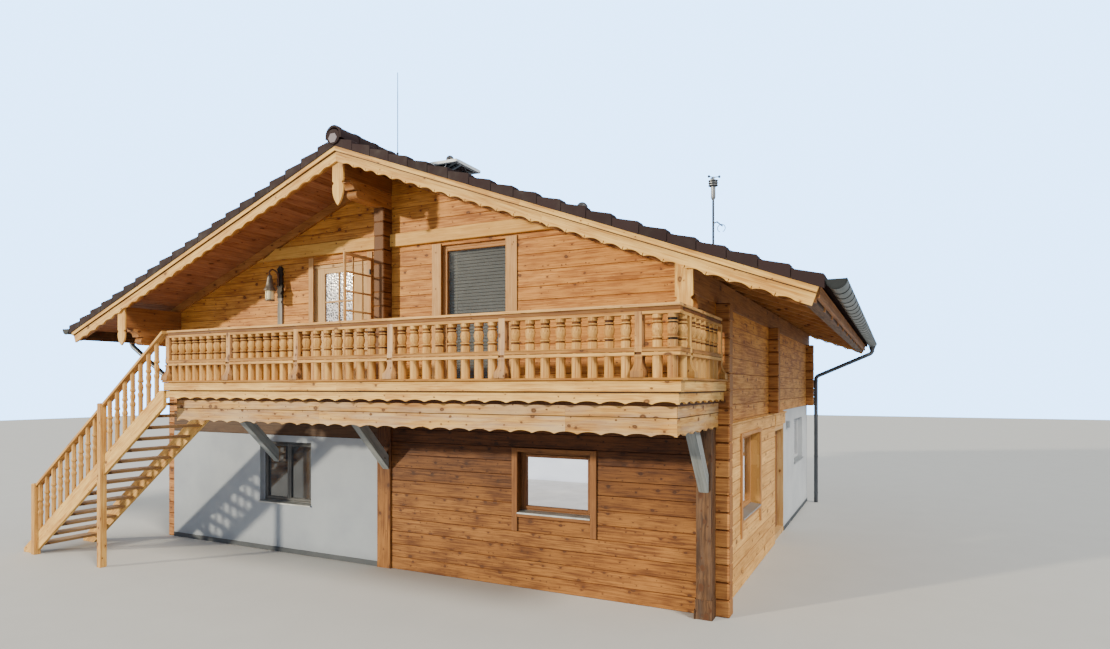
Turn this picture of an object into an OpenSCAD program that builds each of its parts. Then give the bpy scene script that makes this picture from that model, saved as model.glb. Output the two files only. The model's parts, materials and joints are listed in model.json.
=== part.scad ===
// Alpine chalet: a log-built upper storey over a ground floor that is half logs and half plaster,
// with a wide low roof, carved bargeboards, a balcony with turned balusters and an outside stair.
// Units are millimetres. X runs along the front, Y from the front to the back, Z up from the ground.

/* [House] */
// Width of the house across the front
house_w = 10200; // [9800:100:10600]
// Depth of the house from front to back
house_d = 9500; // [9000:100:10500]
// Thickness of the outer walls
wall_t = 200; // [180:10:240]
// Height of the line between the two storeys
storey_z = 2350; // [2300:10:2400]
// Thickness of the ground floor slab
ground_slab_t = 100; // [60:10:160]
// Height of the upper floor's top and of the balcony boards
floor_z = 2750; // [2720:10:2800]
// Thickness of the upper floor
floor_t = 300; // [200:10:350]
// Height of one log course
log_h = 210; // [190:5:230]
// How far log ends stand out past a crossing wall
log_end = 170; // [120:10:220]

/* [Roof] */
// Slope of the roof in degrees
roof_pitch = 20.6; // [19:0.1:22]
// Height of the boarding's top at the ridge
ridge_z = 6215; // [6150:5:6300]
// Thickness of the boarding, measured upright
boarding_t = 40; // [25:5:60]
// Depth of the rafters, measured upright
rafter_h = 140; // [100:5:180]
// Width of a rafter
rafter_w = 100; // [80:5:140]
// Number of rafter pairs
rafter_n = 12; // [8:1:15]
// How far the boarding runs past the front wall
verge_front = 1050; // [900:10:1200]
// How far the boarding runs past the back wall
verge_back = 550; // [400:10:700]
// How far the eaves board's face stands out past the side wall
eaves_out = 1290; // [1200:10:1400]
// Thickness of the eaves board
eaves_board_t = 40; // [25:5:60]
// Depth of the eaves board, measured upright
eaves_board_h = 190; // [150:5:220]
// How far the tile courses run past the eaves board
tile_over = 50; // [30:5:70]
// Number of tile courses on each slope
tile_n = 20; // [18:1:20]
// Height of a tile course at its upper edge
tile_head = 88; // [60:1:100]
// Height of a tile course at its lower edge
tile_nose = 125; // [105:1:150]
// How far the verge tiles stand out past the bargeboards
tile_verge = 12; // [5:1:40]
// Outer radius of the ridge tiles
ridge_r = 135; // [120:1:150]
// Height of the ridge tiles' axis above the boarding
ridge_lift = 118; // [100:1:130]

/* [Bargeboards] */
// Thickness of the wide lower bargeboard
barge_t = 32; // [25:1:40]
// Thickness of the narrow upper bargeboard
barge_top_t = 26; // [18:1:35]
// Whole depth of the bargeboards, measured upright
barge_h = 230; // [200:5:260]
// Depth of the narrow upper board, measured upright
barge_top_h = 85; // [60:5:110]
// Length of one scallop along the bargeboard
barge_pitch = 250; // [200:10:300]
// Depth of the arches between the lobes of the lower edge
barge_scallop = 16; // [10:1:22]
// How far a lobe hangs below the board's straight edge
barge_lobe = 12; // [8:1:16]
// Radius of a lobe
barge_lobe_r = 60; // [50:1:70]
// Width of the slit in a lobe
barge_slit = 10; // [6:1:14]

/* [Purlins] */
// Width of the purlins
purlin_w = 200; // [180:10:240]
// Depth of the ridge purlin
ridge_purlin_h = 270; // [220:10:320]
// Depth of the log under the ridge purlin
ridge_corbel_h = 230; // [180:10:260]
// Depth of the eaves purlins at their outer face
eaves_purlin_h = 298; // [260:2:320]
// Depth of the logs under the eaves purlin
eaves_corbel_h = 270; // [200:5:280]
// Width of the carved logs under the purlins
corbel_w = 180; // [160:5:185]
// Thickness of the carved end boards
end_board_t = 28; // [20:1:40]
// Length of the carved tip below an end board's neck
end_board_tip = 320; // [260:10:340]

/* [Gutters] */
// Outer radius of the gutters
gutter_r = 98; // [80:1:110]
// Wall of the gutters
gutter_wall = 5; // [3:1:8]
// How far the gutters' rim lies below the lowest tiles
rim_drop = 6; // [3:1:20]
// Gap between the eaves board and the gutter
gutter_gap = 58; // [40:1:70]
// Radius of the downpipes
pipe_r = 45; // [35:1:55]

/* [Balcony] */
// Left end of the balcony
balcony_left = 2500; // [2300:50:2700]
// Reach of the upper fascia past the front wall
balcony_reach = 1950; // [1800:10:2050]
// How far the upper fascia runs past the side wall
balcony_side = 130; // [100:10:160]
// Height of the upper fascia board
fascia_h = 115; // [90:5:140]
// Depth of the scalloped board under it
apron_h = 120; // [90:5:150]
// Depth of the lowest fascia
skirt_h = 390; // [300:10:420]
// How far the lowest fascia stands back from the upper one
skirt_back = 210; // [150:10:260]
// Length of one scallop along a fascia
scallop_pitch = 272; // [220:2:320]
// Depth of a scallop on a fascia
scallop_d = 26; // [15:1:35]
// Share of a scallop's length that its arch takes up
scallop_share = 0.95; // [0.8:0.01:0.98]
// Depth of the balcony joists
joist_h = 210; // [160:10:240]
// Width of the balcony joists
joist_w = 100; // [80:5:140]
// Thickness of the deck boards
deck_t = 60; // [40:5:80]
// Height of the handrail above the deck
rail_h = 870; // [820:10:950]
// How far the braces' upper ends stand back from the lowest fascia
brace_back = 790; // [600:10:900]
// Height of the middle rail above the deck
mid_rail_h = 400; // [360:10:440]
// Largest radius of a baluster
baluster_r = 54; // [46:1:60]
// Width of a railing post
post_w = 95; // [80:5:110]
// Distance between balusters
baluster_pitch = 191; // [170:1:220]

/* [Stair] */
// Number of risers
riser_n = 15; // [14:1:16]
// Slope of the flight in degrees
stair_pitch = 36.5; // [34:0.5:40]
// Width of the flight
stair_w = 1000; // [900:10:1100]
// Thickness of the stringers
stringer_t = 50; // [40:5:60]
// Thickness of the treads
tread_t = 40; // [30:5:50]

/* [Doors and windows] */
// Width of the terrace door opening
door_w = 1200; // [1000:10:1300]
// Height of the terrace door opening
door_h = 2050; // [1950:10:2150]
// Thickness of the door leaf
leaf_t = 60; // [45:5:70]
// Gap between the leaf and its frame
leaf_gap = 10; // [8:1:14]
// Width of a window frame's members
frame_w = 70; // [50:5:90]
// Depth of a window frame
frame_t = 80; // [60:5:90]
// Thickness of the panes
pane_t = 24; // [16:2:30]
// How far the panes and frames stand back from the wall's face
reveal = 90; // [60:5:110]
// Width of the flat boards round an opening
trim_w = 90; // [70:5:120]
// Thickness of the flat boards round an opening
trim_t = 22; // [15:1:30]
// How far the side boards hang below a window
trim_drop = 260; // [150:10:300]
// Thickness of the cladding on the side wall's ground floor
cladding_t = 35; // [25:5:50]

/* [Fittings] */
// Length of the roof window's sash
sash_l = 820; // [700:10:900]
// Width of the roof window
sash_w = 660; // [550:10:780]
// Height of the thin rod above the roof
rod_h = 1270; // [900:10:1300]
// Height of the weather mast above the roof
mast_h = 1060; // [900:10:1200]
// Largest radius of the wall lantern
lantern_r = 98; // [80:1:110]

/* [Hidden] */

half_w = house_w / 2;
half_d = house_d / 2;
front_y = -half_d;
back_y = half_d;
slope = tan(roof_pitch);
roof_front_y = front_y - verge_front;
roof_back_y = back_y + verge_back;
rafter_drop = boarding_t + rafter_h;
seat_gap = 0.3;
purlin_drop = rafter_drop + seat_gap;
eaves_x = half_w + eaves_out;
tile_run = (eaves_x + tile_over) / tile_n;
curve = 64;
ridge_cut = 0.5;

// Height of a plane parallel to the roof, so far below the boarding's top
function roof_z(x, drop = 0) = ridge_z - drop - slope * abs(x);

// Upright plate in the X-Z plane, from y0 to y0 + t
module plate_xz(y0, t) translate([0, y0 + t, 0]) rotate([90, 0, 0]) linear_extrude(t) children();

// Upright plate in the Y-Z plane, from x0 to x0 + t
module plate_yz(x0, t) translate([x0, 0, 0]) rotate([90, 0, 90]) linear_extrude(t) children();

module rect(x0, z0, x1, z1) translate([x0, z0]) square([x1 - x0, z1 - z0]);

module block(low, high) translate(low) cube(high - low);

module mirror_copy() {
    children();
    mirror([1, 0, 0]) children();
}

// One slope's band parallel to the roof, from the plumb cut at the ridge out to a half width
module roof_band(half, top, bottom) {
    polygon([[ridge_cut, roof_z(ridge_cut, top)], [half, roof_z(half, top)],
             [half, roof_z(half, bottom)], [ridge_cut, roof_z(ridge_cut, bottom)]]);
}

// Radius of an arc over a chord with a given rise
function arc_r(chord, rise) = (chord * chord / 4 + rise * rise) / (2 * rise);

// Row of arcs that cut scallops into an edge along X, from 0 to a length
module scallops(length, pitch, depth, share) {
    n = floor(length / pitch);
    r = arc_r(share * length / n, depth);
    for (i = [0 : n - 1]) translate([(i + 0.5) * length / n, depth - r]) circle(r, $fn = curve);
}

// Openings: [left, bottom, right, top] along the wall
front_timber_window = [2330, 1050, 3440, 1900];
front_plaster_window = [-2800, 830, -1600, 1870];
upper_door_opening = [-1610, floor_z, -320, 4810];
balcony_window_opening = [1020, floor_z, 2320, 4900];
side_window = [-3350, 950, -1970, 2100];
side_window_rear = [2380, 1170, 3820, 2110];
terrace_door_y0 = -350;
terrace_door_opening = [terrace_door_y0, 0, terrace_door_y0 + door_w, door_h];
left_windows = [side_window, side_window_rear];
back_lower_windows = [[-3700, 1050, -2500, 2100], [-600, 1050, 600, 2100], [2500, 1050, 3700, 2100]];
back_upper_windows = [[-3000, 3500, -1800, 4600], [1800, 3500, 3000, 4600]];

module opening(o) rect(o[0], o[1], o[2], o[3]);

module ground_floor_slab() {
    color("darkgray")
        block([-half_w + wall_t, front_y + wall_t, 0], [half_w - wall_t, back_y - wall_t, ground_slab_t]);
}

plaster_end = -180;
timber_start = 90;
plaster_top = 1980;

module front_wall_timber() {
    color("peru") plate_xz(front_y, wall_t) difference() {
        rect(timber_start, 0, half_w, storey_z);
        opening(front_timber_window);
    }
}

module front_wall_plaster() {
    color("white") plate_xz(front_y, wall_t) difference() {
        rect(-half_w, 0, plaster_end, plaster_top);
        opening(front_plaster_window);
    }
}

module front_wall_beam() {
    color("saddlebrown") plate_xz(front_y, wall_t) rect(-half_w, plaster_top, plaster_end, storey_z);
}

middle_post_proud = 30;

module middle_post() {
    color("sienna") plate_xz(front_y - middle_post_proud, wall_t + middle_post_proud)
        rect(plaster_end, 0, timber_start, storey_z);
}

corner_post_d = 180;
post_foot = 20;
post_foot_h = 110;
joist_z = floor_z - deck_t - joist_h;

module corner_post() {
    color("rosybrown") {
        block([half_w - wall_t, front_y - corner_post_d, 0], [half_w, front_y, joist_z]);
        block([half_w - wall_t - post_foot, front_y - corner_post_d - post_foot, 0],
              [half_w - wall_t, front_y, post_foot_h]);
    }
}

ledge_h = 30;
ledge_over = 25;
cladding_top = storey_z - 50;

module right_wall_lower_front() {
    color("peru") {
        plate_yz(half_w - wall_t, wall_t) difference() {
            rect(front_y + wall_t, 0, terrace_door_y0, storey_z);
            opening(side_window);
        }
        plate_yz(half_w, cladding_t) difference() {
            rect(front_y + wall_t, 0, terrace_door_y0 - door_trim_w, cladding_top);
            opening(side_window);
        }
        plate_yz(half_w, cladding_t + ledge_over)
            rect(front_y + wall_t, cladding_top, terrace_door_y0, cladding_top + ledge_h);
    }
}

module right_wall_lower_rear() {
    color("white") plate_yz(half_w - wall_t, wall_t) difference() {
        rect(terrace_door_y0 + door_w, 0, back_y - wall_t, storey_z);
        opening(side_window_rear);
    }
}

door_trim_w = 60;

module terrace_door_lintel() {
    color("peru") {
        plate_yz(half_w - wall_t, wall_t)
            rect(terrace_door_y0, door_h, terrace_door_y0 + door_w, storey_z);
        plate_yz(half_w, cladding_t)
            rect(terrace_door_y0, door_h + jamb_w, terrace_door_y0 + door_w, cladding_top);
        plate_yz(half_w, cladding_t + ledge_over)
            rect(terrace_door_y0, cladding_top, terrace_door_y0 + door_w, cladding_top + ledge_h);
    }
}

module left_wall_lower() {
    color("white") plate_yz(-half_w, wall_t) difference() {
        rect(front_y + wall_t, 0, back_y - wall_t, storey_z);
        for (o = left_windows) opening(o);
    }
}

module back_wall_lower() {
    color("white") plate_xz(back_y - wall_t, wall_t) difference() {
        rect(-half_w, 0, half_w, storey_z);
        for (o = back_lower_windows) opening(o);
    }
}

module upper_floor() {
    color("burlywood")
        block([-half_w + wall_t, front_y + wall_t, floor_z - floor_t],
              [half_w - wall_t, back_y - wall_t, floor_z]);
}

ridge_purlin_z = ridge_z - purlin_drop - ridge_purlin_h;
purlin_z = roof_z(half_w, purlin_drop) - eaves_purlin_h;

// Gable wall of the upper storey, notched round the purlins
module gable() {
    difference() {
        polygon([[-half_w, storey_z], [half_w, storey_z], [half_w, roof_z(half_w, purlin_drop)],
                 [0, ridge_z - purlin_drop], [-half_w, roof_z(half_w, purlin_drop)]]);
        rect(-purlin_w / 2, ridge_purlin_z, purlin_w / 2, ridge_z);
        mirror_copy() rect(half_w - purlin_w, purlin_z, half_w, ridge_z);
    }
}

module front_wall_upper() {
    color("goldenrod") plate_xz(front_y, wall_t) difference() {
        gable();
        opening(upper_door_opening);
        opening(balcony_window_opening);
    }
}

module back_wall_upper() {
    color("goldenrod") plate_xz(back_y - wall_t, wall_t) difference() {
        gable();
        for (o = back_upper_windows) opening(o);
    }
}

module right_wall_upper() {
    color("goldenrod")
        block([half_w - wall_t, front_y + wall_t, storey_z], [half_w, back_y - wall_t, purlin_z]);
}

module left_wall_upper() {
    mirror([1, 0, 0]) right_wall_upper();
}

log_groove = 10;

// Stack of log ends between two heights, with a groove at each course
module log_stack(w, z0, z1) {
    n = round((z1 - z0) / log_h);
    h = (z1 - z0) / n;
    polygon(concat([[0, z1], [0, z0]], [for (i = [0 : n - 1], p = [[log_groove, 0], [0, log_groove],
        [0, h - log_groove], [log_groove, h]]) if (p[1] < h || i == n - 1)
            [w - p[0], z0 + i * h + p[1]]]));
}

cross_wall_y = -900;

module log_ends() {
    color("sienna") mirror_copy() {
        translate([half_w, 0, 0]) plate_xz(front_y, wall_t) log_stack(log_end, 0, purlin_z);
        translate([half_w, 0, 0]) plate_xz(back_y - wall_t, wall_t) log_stack(log_end, storey_z, purlin_z);
        translate([half_w, 0, 0]) plate_xz(cross_wall_y, wall_t) log_stack(log_end, storey_z, purlin_z);
    }
}

gable_stack_top = ridge_purlin_z - ridge_corbel_h;

module gable_log_ends() {
    color("sienna") translate([0, front_y, 0]) mirror([0, 1, 0])
        plate_yz(-purlin_w / 2, purlin_w) log_stack(wall_t, floor_z, gable_stack_top);
}

lintel_t = 30;
lintel_z = 4950;
lintel_h = 200;

module lintel_beam() {
    top = lintel_z + lintel_h;
    color("orange") mirror_copy() plate_xz(front_y - lintel_t, lintel_t)
        polygon([[purlin_w / 2, lintel_z], [roof_x(lintel_z), lintel_z], [roof_x(top), top],
                 [purlin_w / 2, top]]);
}

// Distance from the ridge at which the rafters' underside comes down to a height
function roof_x(z) = (ridge_z - purlin_drop - z) / slope;

module ridge_purlin() {
    color("sienna") plate_xz(roof_front_y + end_board_t, roof_back_y - roof_front_y - end_board_t)
        polygon([[-purlin_w / 2, ridge_purlin_z], [purlin_w / 2, ridge_purlin_z],
                 [purlin_w / 2, roof_z(purlin_w / 2, purlin_drop)], [0, ridge_z - purlin_drop],
                 [-purlin_w / 2, roof_z(purlin_w / 2, purlin_drop)]]);
}

// Two logs under a purlin from the front wall outwards: the upper with a hollow end, the lower rounded
module corbel(z_top, h) {
    length = verge_front - corbel_back;
    nose = h / 4;
    translate([front_y, z_top]) mirror([1, 0]) {
        difference() {
            rect(0, -h / 2, length, 0);
            translate([length, -h / 2]) circle(1.4 * nose, $fn = curve);
        }
        rect(0, -h, length - 3 * nose, -h / 2);
        translate([length - 3 * nose, -h + nose]) circle(nose, $fn = curve);
    }
}

corbel_back = 160;

module purlin_corbels() {
    color("sienna") {
        plate_yz(-corbel_w / 2, corbel_w) corbel(ridge_purlin_z, ridge_corbel_h);
        mirror_copy() plate_yz(half_w - purlin_w / 2 - corbel_w / 2, corbel_w)
            corbel(purlin_z, eaves_corbel_h);
    }
}

module eaves_purlins() {
    color("sienna") mirror_copy()
        plate_xz(roof_front_y + end_board_t, roof_back_y - roof_front_y - end_board_t)
            polygon([[half_w - purlin_w, purlin_z], [half_w, purlin_z],
                     [half_w, roof_z(half_w, purlin_drop)],
                     [half_w - purlin_w, roof_z(half_w - purlin_w, purlin_drop)]]);
}

rafter_end_x = eaves_x - eaves_board_t;

module rafters() {
    span = roof_back_y - roof_front_y - rafter_w;
    color("chocolate") mirror_copy() for (i = [0 : rafter_n - 1])
        plate_xz(roof_front_y + i * span / (rafter_n - 1), rafter_w)
            roof_band(rafter_end_x, boarding_t, rafter_drop);
}

module roof_boarding() {
    color("peru") mirror_copy() plate_xz(roof_front_y, roof_back_y - roof_front_y)
        roof_band(rafter_end_x, 0, boarding_t);
}

barge_all_t = barge_t + barge_top_t;
tile_front_y = roof_front_y - barge_all_t - tile_verge;
tile_back_y = roof_back_y + barge_all_t + tile_verge;
tile_lip = 50;
tile_t = 35;

// Stepped section of one slope's tile courses
module tile_section() {
    eave = eaves_x + tile_over;
    polygon(concat([[0, ridge_z + seat_gap]],
        [for (i = [0 : tile_n - 1], end = [0, 1])
            [(i + end) * tile_run, roof_z((i + end) * tile_run) + (end == 0 ? tile_head : tile_nose)]],
        [[eave + tile_lip, roof_z(eave + tile_lip) + tile_nose],
         [eave + tile_lip, roof_z(eave + tile_lip) + tile_nose - tile_t],
         [eave, roof_z(eave) + tile_nose - tile_t], [eave, roof_z(eave) + seat_gap]]));
}

module roof_tiles_right() {
    color("dimgray") plate_xz(tile_front_y, tile_back_y - tile_front_y) tile_section();
}

module roof_tiles_left() {
    color("dimgray") mirror([1, 0, 0]) roof_tiles_right();
}

ridge_over = 20;
ridge_tile_n = 30;
ridge_folds = 12;
ridge_lap_w = 70;
ridge_lap_t = 9;

// Section of the ridge tiles, or of the lap where one covers the next, seated on the roof under it
module ridge_section(r) {
    seat = ridge_z + tile_head + seat_gap;
    foot = seat - r * (slope - (tile_nose - tile_head) / tile_run);
    axis = ridge_z + ridge_lift;
    polygon(concat([[-r, foot], [0, seat], [r, foot]],
        [for (i = [0 : ridge_folds])
            [r * cos(i * 180 / ridge_folds), axis + r * sin(i * 180 / ridge_folds)]]));
}

module ridge_tiles() {
    length = tile_back_y - tile_front_y + 2 * ridge_over;
    step = (length - ridge_lap_w) / (ridge_tile_n - 1);
    color("dimgray") {
        plate_xz(tile_front_y - ridge_over, length) ridge_section(ridge_r);
        for (i = [0 : ridge_tile_n - 1])
            plate_xz(tile_front_y - ridge_over + i * step, ridge_lap_w)
                ridge_section(ridge_r + ridge_lap_t);
    }
}

barge_length = eaves_x / cos(roof_pitch) - barge_pitch;
barge_n = floor(barge_length / barge_pitch);
barge_share = 0.68;

// Turns a row along X into one that follows the lower board's straight edge down the slope
module along_barge() translate([0, ridge_z - barge_h]) rotate(-roof_pitch) children();

module along_lobes() {
    for (i = [1 : barge_n - 1]) translate([barge_pitch / 2 + i * barge_length / barge_n, 0]) children();
}

// Rounded lobes between the arches
module barge_lobes() along_lobes()
    translate([0, barge_lobe_r - barge_lobe]) circle(barge_lobe_r, $fn = curve);

// Slit with a round end in each lobe
module barge_slits() along_lobes() {
    rect(-barge_slit / 2, -2 * barge_lobe, barge_slit / 2, barge_lobe);
    translate([0, barge_lobe]) circle(0.8 * barge_slit, $fn = 32);
}

module bargeboards(y_in, out) {
    y_low = out < 0 ? y_in - barge_t : y_in;
    y_top = out < 0 ? y_in - barge_all_t : y_in + barge_t;
    mirror_copy() {
        plate_xz(y_low, barge_t) difference() {
            union() {
                roof_band(eaves_x, 0, barge_h);
                along_barge() barge_lobes();
            }
            along_barge() translate([barge_pitch / 2, 0])
                scallops(barge_length, barge_pitch, barge_scallop, barge_share);
            along_barge() barge_slits();
        }
        plate_xz(y_top, barge_top_t) roof_band(eaves_x, 0, barge_top_h);
    }
}

module front_bargeboards() {
    color("burlywood") bargeboards(roof_front_y, -1);
}

module back_bargeboards() {
    color("burlywood") bargeboards(roof_back_y, 1);
}

neck_r = 24;
neck_bite = 20;

// Carved board on a purlin's end: straight sides, a notched neck, and a vase that runs to a point
module end_board(top, neck) {
    w = purlin_w / 2;
    belly = 0.22 * end_board_tip;
    drop = end_board_tip - belly;
    off = (drop * drop - w * w) / (2 * w);
    difference() {
        union() {
            rect(-w, neck, w, top);
            intersection() {
                rect(-w, neck - end_board_tip, w, neck + 1);
                translate([off, neck - belly]) circle(w + off, $fn = 2 * curve);
                translate([-off, neck - belly]) circle(w + off, $fn = 2 * curve);
            }
        }
        mirror_copy() translate([w + neck_r - neck_bite, neck]) circle(neck_r, $fn = curve);
    }
}

// Everything above the rafters' underside
module above_purlins() {
    polygon([[-eaves_x, roof_z(eaves_x, purlin_drop)], [0, ridge_z - purlin_drop],
             [eaves_x, roof_z(eaves_x, purlin_drop)], [eaves_x, 2 * ridge_z], [-eaves_x, 2 * ridge_z]]);
}

ridge_neck_drop = 75;
eaves_neck_lift = 25;

module purlin_end_boards() {
    color("wheat") {
        plate_xz(roof_front_y, end_board_t) difference() {
            end_board(ridge_z, ridge_purlin_z - ridge_neck_drop);
            above_purlins();
        }
        mirror_copy() plate_xz(roof_front_y, end_board_t) difference() {
            translate([half_w - purlin_w / 2, 0]) end_board(ridge_z, purlin_z + eaves_neck_lift);
            above_purlins();
        }
    }
}

module eaves_boards() {
    low = roof_z(eaves_x, eaves_board_h);
    color("burlywood") mirror_copy() plate_xz(roof_front_y, roof_back_y - roof_front_y)
        polygon([[rafter_end_x, roof_z(rafter_end_x)], [eaves_x, roof_z(eaves_x)],
                 [eaves_x, low], [rafter_end_x, low]]);
}

gutter_x = eaves_x + gutter_gap + gutter_r;
gutter_z = roof_z(eaves_x + tile_over + tile_lip) + tile_nose - tile_t - rim_drop;
gutter_front_y = tile_front_y;
gutter_back_y = tile_back_y;
bracket_n = 13;
bracket_w = 30;
bracket_t = 6;
bracket_in = 150;
bracket_run = roof_back_y - roof_front_y - 2 * bracket_in - bracket_w;
bracket_z = gutter_z - 0.85 * gutter_r;
gutter_end_in = 4;
gutter_folds = 20;

// Points on the lower half of a circle, from one end to the other
function half_arc(r) = [for (i = [0 : gutter_folds]) [r * cos(180 + i * 180 / gutter_folds),
                                                       r * sin(180 + i * 180 / gutter_folds)]];

// Lower half of a ring round the gutter's axis
module half_ring(r, r_in) {
    inner = half_arc(r_in);
    translate([gutter_x, gutter_z])
        polygon(concat(half_arc(r), [for (i = [gutter_folds : -1 : 0]) inner[i]]));
}

// Half disc that closes a gutter's end
module gutter_end() {
    translate([gutter_x, gutter_z]) polygon(half_arc(gutter_r - gutter_wall / 2));
}

module gutters() {
    length = gutter_back_y - gutter_front_y;
    color("slategray") mirror_copy() {
        plate_xz(gutter_front_y, length) half_ring(gutter_r, gutter_r - gutter_wall);
        for (y = [gutter_front_y + gutter_end_in, gutter_back_y - gutter_end_in - gutter_wall])
            plate_xz(y, gutter_wall) gutter_end();
        for (i = [0 : bracket_n - 1])
            plate_xz(roof_front_y + bracket_in + i * bracket_run / (bracket_n - 1), bracket_w) {
                half_ring(gutter_r + bracket_t, gutter_r - gutter_wall / 2);
                rect(eaves_x, bracket_z, gutter_x - gutter_r * 0.6, bracket_z + bracket_t);
            }
    }
}

module rod(a, b, r) {
    v = b - a;
    length = norm(v);
    translate(a) rotate([0, acos(v[2] / length), atan2(v[1], v[0])]) cylinder(h = length, r = r, $fn = 32);
}

module pipe(points, r) {
    for (i = [0 : len(points) - 2]) rod(points[i], points[i + 1], r);
    for (i = [1 : len(points) - 2]) translate(points[i]) sphere(r + pipe_collar, $fn = 32);
}

pipe_collar = 6;
pipe_x = half_w + log_end + pipe_r + pipe_collar;
outlet_drop = 140;

// Downpipe from the gutter's outlet, in to the wall and down to the ground
module downpipe(y_gutter, y_wall, elbow_z) {
    outlet_z = gutter_z - gutter_r;
    pipe([[gutter_x, y_gutter, outlet_z], [gutter_x, y_gutter, outlet_z - outlet_drop],
          [pipe_x, y_wall, elbow_z], [pipe_x, y_wall, 0]], pipe_r);
}

module downpipes() {
    color("darkslategray") {
        downpipe(gutter_back_y - 150, back_y - wall_t / 2, 3050);
        mirror([1, 0, 0]) downpipe(front_y + wall_t / 2, front_y + wall_t / 2, 2900);
    }
}

fascia_back = 60;
deck_right = half_w + balcony_side - fascia_back;
deck_reach = balcony_reach - fascia_back;
skirt_reach = balcony_reach - skirt_back;
skirt_t = 30;
skirt_right = half_w + skirt_t;
joist_xs = [-balcony_left + 50, -1200, -45, 1240, 2500, 3750, half_w - wall_t / 2 - joist_w / 2];

module balcony_joists() {
    color("sienna") for (x = joist_xs)
        block([x, front_y - skirt_reach + skirt_t, joist_z], [x + joist_w, front_y, joist_z + joist_h]);
}

module balcony_deck() {
    color("burlywood")
        block([-balcony_left, front_y - deck_reach, floor_z - deck_t], [deck_right, front_y, floor_z]);
}

// Board that follows the balcony's edge: along the front and back to the wall on the right
module edge_board(reach, right, t, z0, z1, pitch, depth) {
    plate_xz(front_y - reach, t) difference() {
        rect(-balcony_left, z0, right, z1);
        if (depth > 0) translate([-balcony_left, z0])
            scallops(right + balcony_left, pitch, depth, scallop_share);
    }
    plate_yz(right - t, t) difference() {
        rect(front_y - reach, z0, front_y, z1);
        if (depth > 0) translate([front_y - reach, z0]) scallops(reach, pitch, depth, scallop_share);
    }
}

fascia_t = 120;
apron_t = 30;
cap_t = 27;
cap_over = 25;

module balcony_fascia() {
    color("burlywood") {
        edge_board(balcony_reach, half_w + balcony_side, fascia_t, floor_z, floor_z + fascia_h, 0, 0);
        edge_board(balcony_reach + cap_over, half_w + balcony_side + cap_over,
                   fascia_t + 2 * cap_over, floor_z + fascia_h, floor_z + fascia_h + cap_t, 0, 0);
        edge_board(deck_reach + apron_t, deck_right + apron_t, apron_t, floor_z - apron_h, floor_z,
                   scallop_pitch, scallop_d);
    }
}

module balcony_skirt() {
    color("burlywood")
        edge_board(skirt_reach, skirt_right, skirt_t, floor_z - deck_t - skirt_h, floor_z - deck_t,
                   scallop_pitch, scallop_d);
}

sill_z = floor_z + fascia_h + cap_t;
rail_top_z = floor_z + rail_h;
handrail_t = 35;
handrail_w = 120;
under_rail_h = 70;
under_rail_w = 70;
rail_line = 75;
baluster_top_z = rail_top_z - handrail_t - under_rail_h;
mid_z = floor_z + mid_rail_h;
mid_rail_d = 80;

// Profile of a turned baluster's upper part as shares of its radius and height: a collar, a neck,
// a bulb, a second neck, a ring and the plain block under the rail
upper_turning = [[0.86, 0], [0.86, 0.15], [1, 0.18], [1, 0.23], [0.7, 0.27], [0.66, 0.31], [0.84, 0.37],
                 [0.96, 0.44], [0.96, 0.5], [0.84, 0.57], [0.66, 0.63], [0.7, 0.67], [1, 0.7], [1, 0.75],
                 [0.74, 0.78], [0.74, 0.81], [0.98, 0.86], [0.98, 1]];

// Turned baluster: a plain shaft below the middle rail, rings and a bulb above it
module baluster(z0, z1) {
    rotate_extrude($fn = 48) polygon(concat([[0, z0], [0.8 * baluster_r, z0]],
        [for (p = upper_turning) [p[0] * baluster_r, mid_z + p[1] * (z1 - mid_z)]], [[0, z1]]));
}

// Straight stretch of railing along X from 0 to a length, with its outer face towards -Y
module railing(length, n) {
    translate([0, -handrail_w / 2, rail_top_z - handrail_t]) cube([length, handrail_w, handrail_t]);
    translate([0, -under_rail_w / 2, baluster_top_z]) cube([length, under_rail_w, under_rail_h]);
    translate([0, -baluster_r, mid_z - mid_rail_d / 2]) cube([length, baluster_r, mid_rail_d]);
    for (i = [1 : n]) translate([i * length / (n + 1), 0, 0]) baluster(sill_z, baluster_top_z);
}

console_reach = 60;
console_h = 70;
console_r = 75;

// Post with a hollow console on its outer foot
module railing_post() {
    w = post_w / 2;
    plate_yz(-w, post_w) difference() {
        polygon([[w, sill_z], [w, baluster_top_z], [-w, baluster_top_z], [-w, mid_z],
                 [-w - console_reach, sill_z + console_h], [-w - console_reach, sill_z]]);
        translate([-w - console_reach - 0.4 * console_r, mid_z - 0.8 * console_r])
            circle(console_r, $fn = curve);
    }
}

rail_y = front_y - balcony_reach + rail_line;
rail_right = half_w + balcony_side - rail_line;
corner_bay = 365;
corner_in = 30;
post_xs = [-balcony_left + 50, -1155, 130, 1675, 3220, rail_right - corner_bay, rail_right];
full_bay_n = 8;
bay_balusters = [for (i = [0 : len(post_xs) - 2]) i < len(post_xs) - 2 ? full_bay_n : 1];

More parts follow.
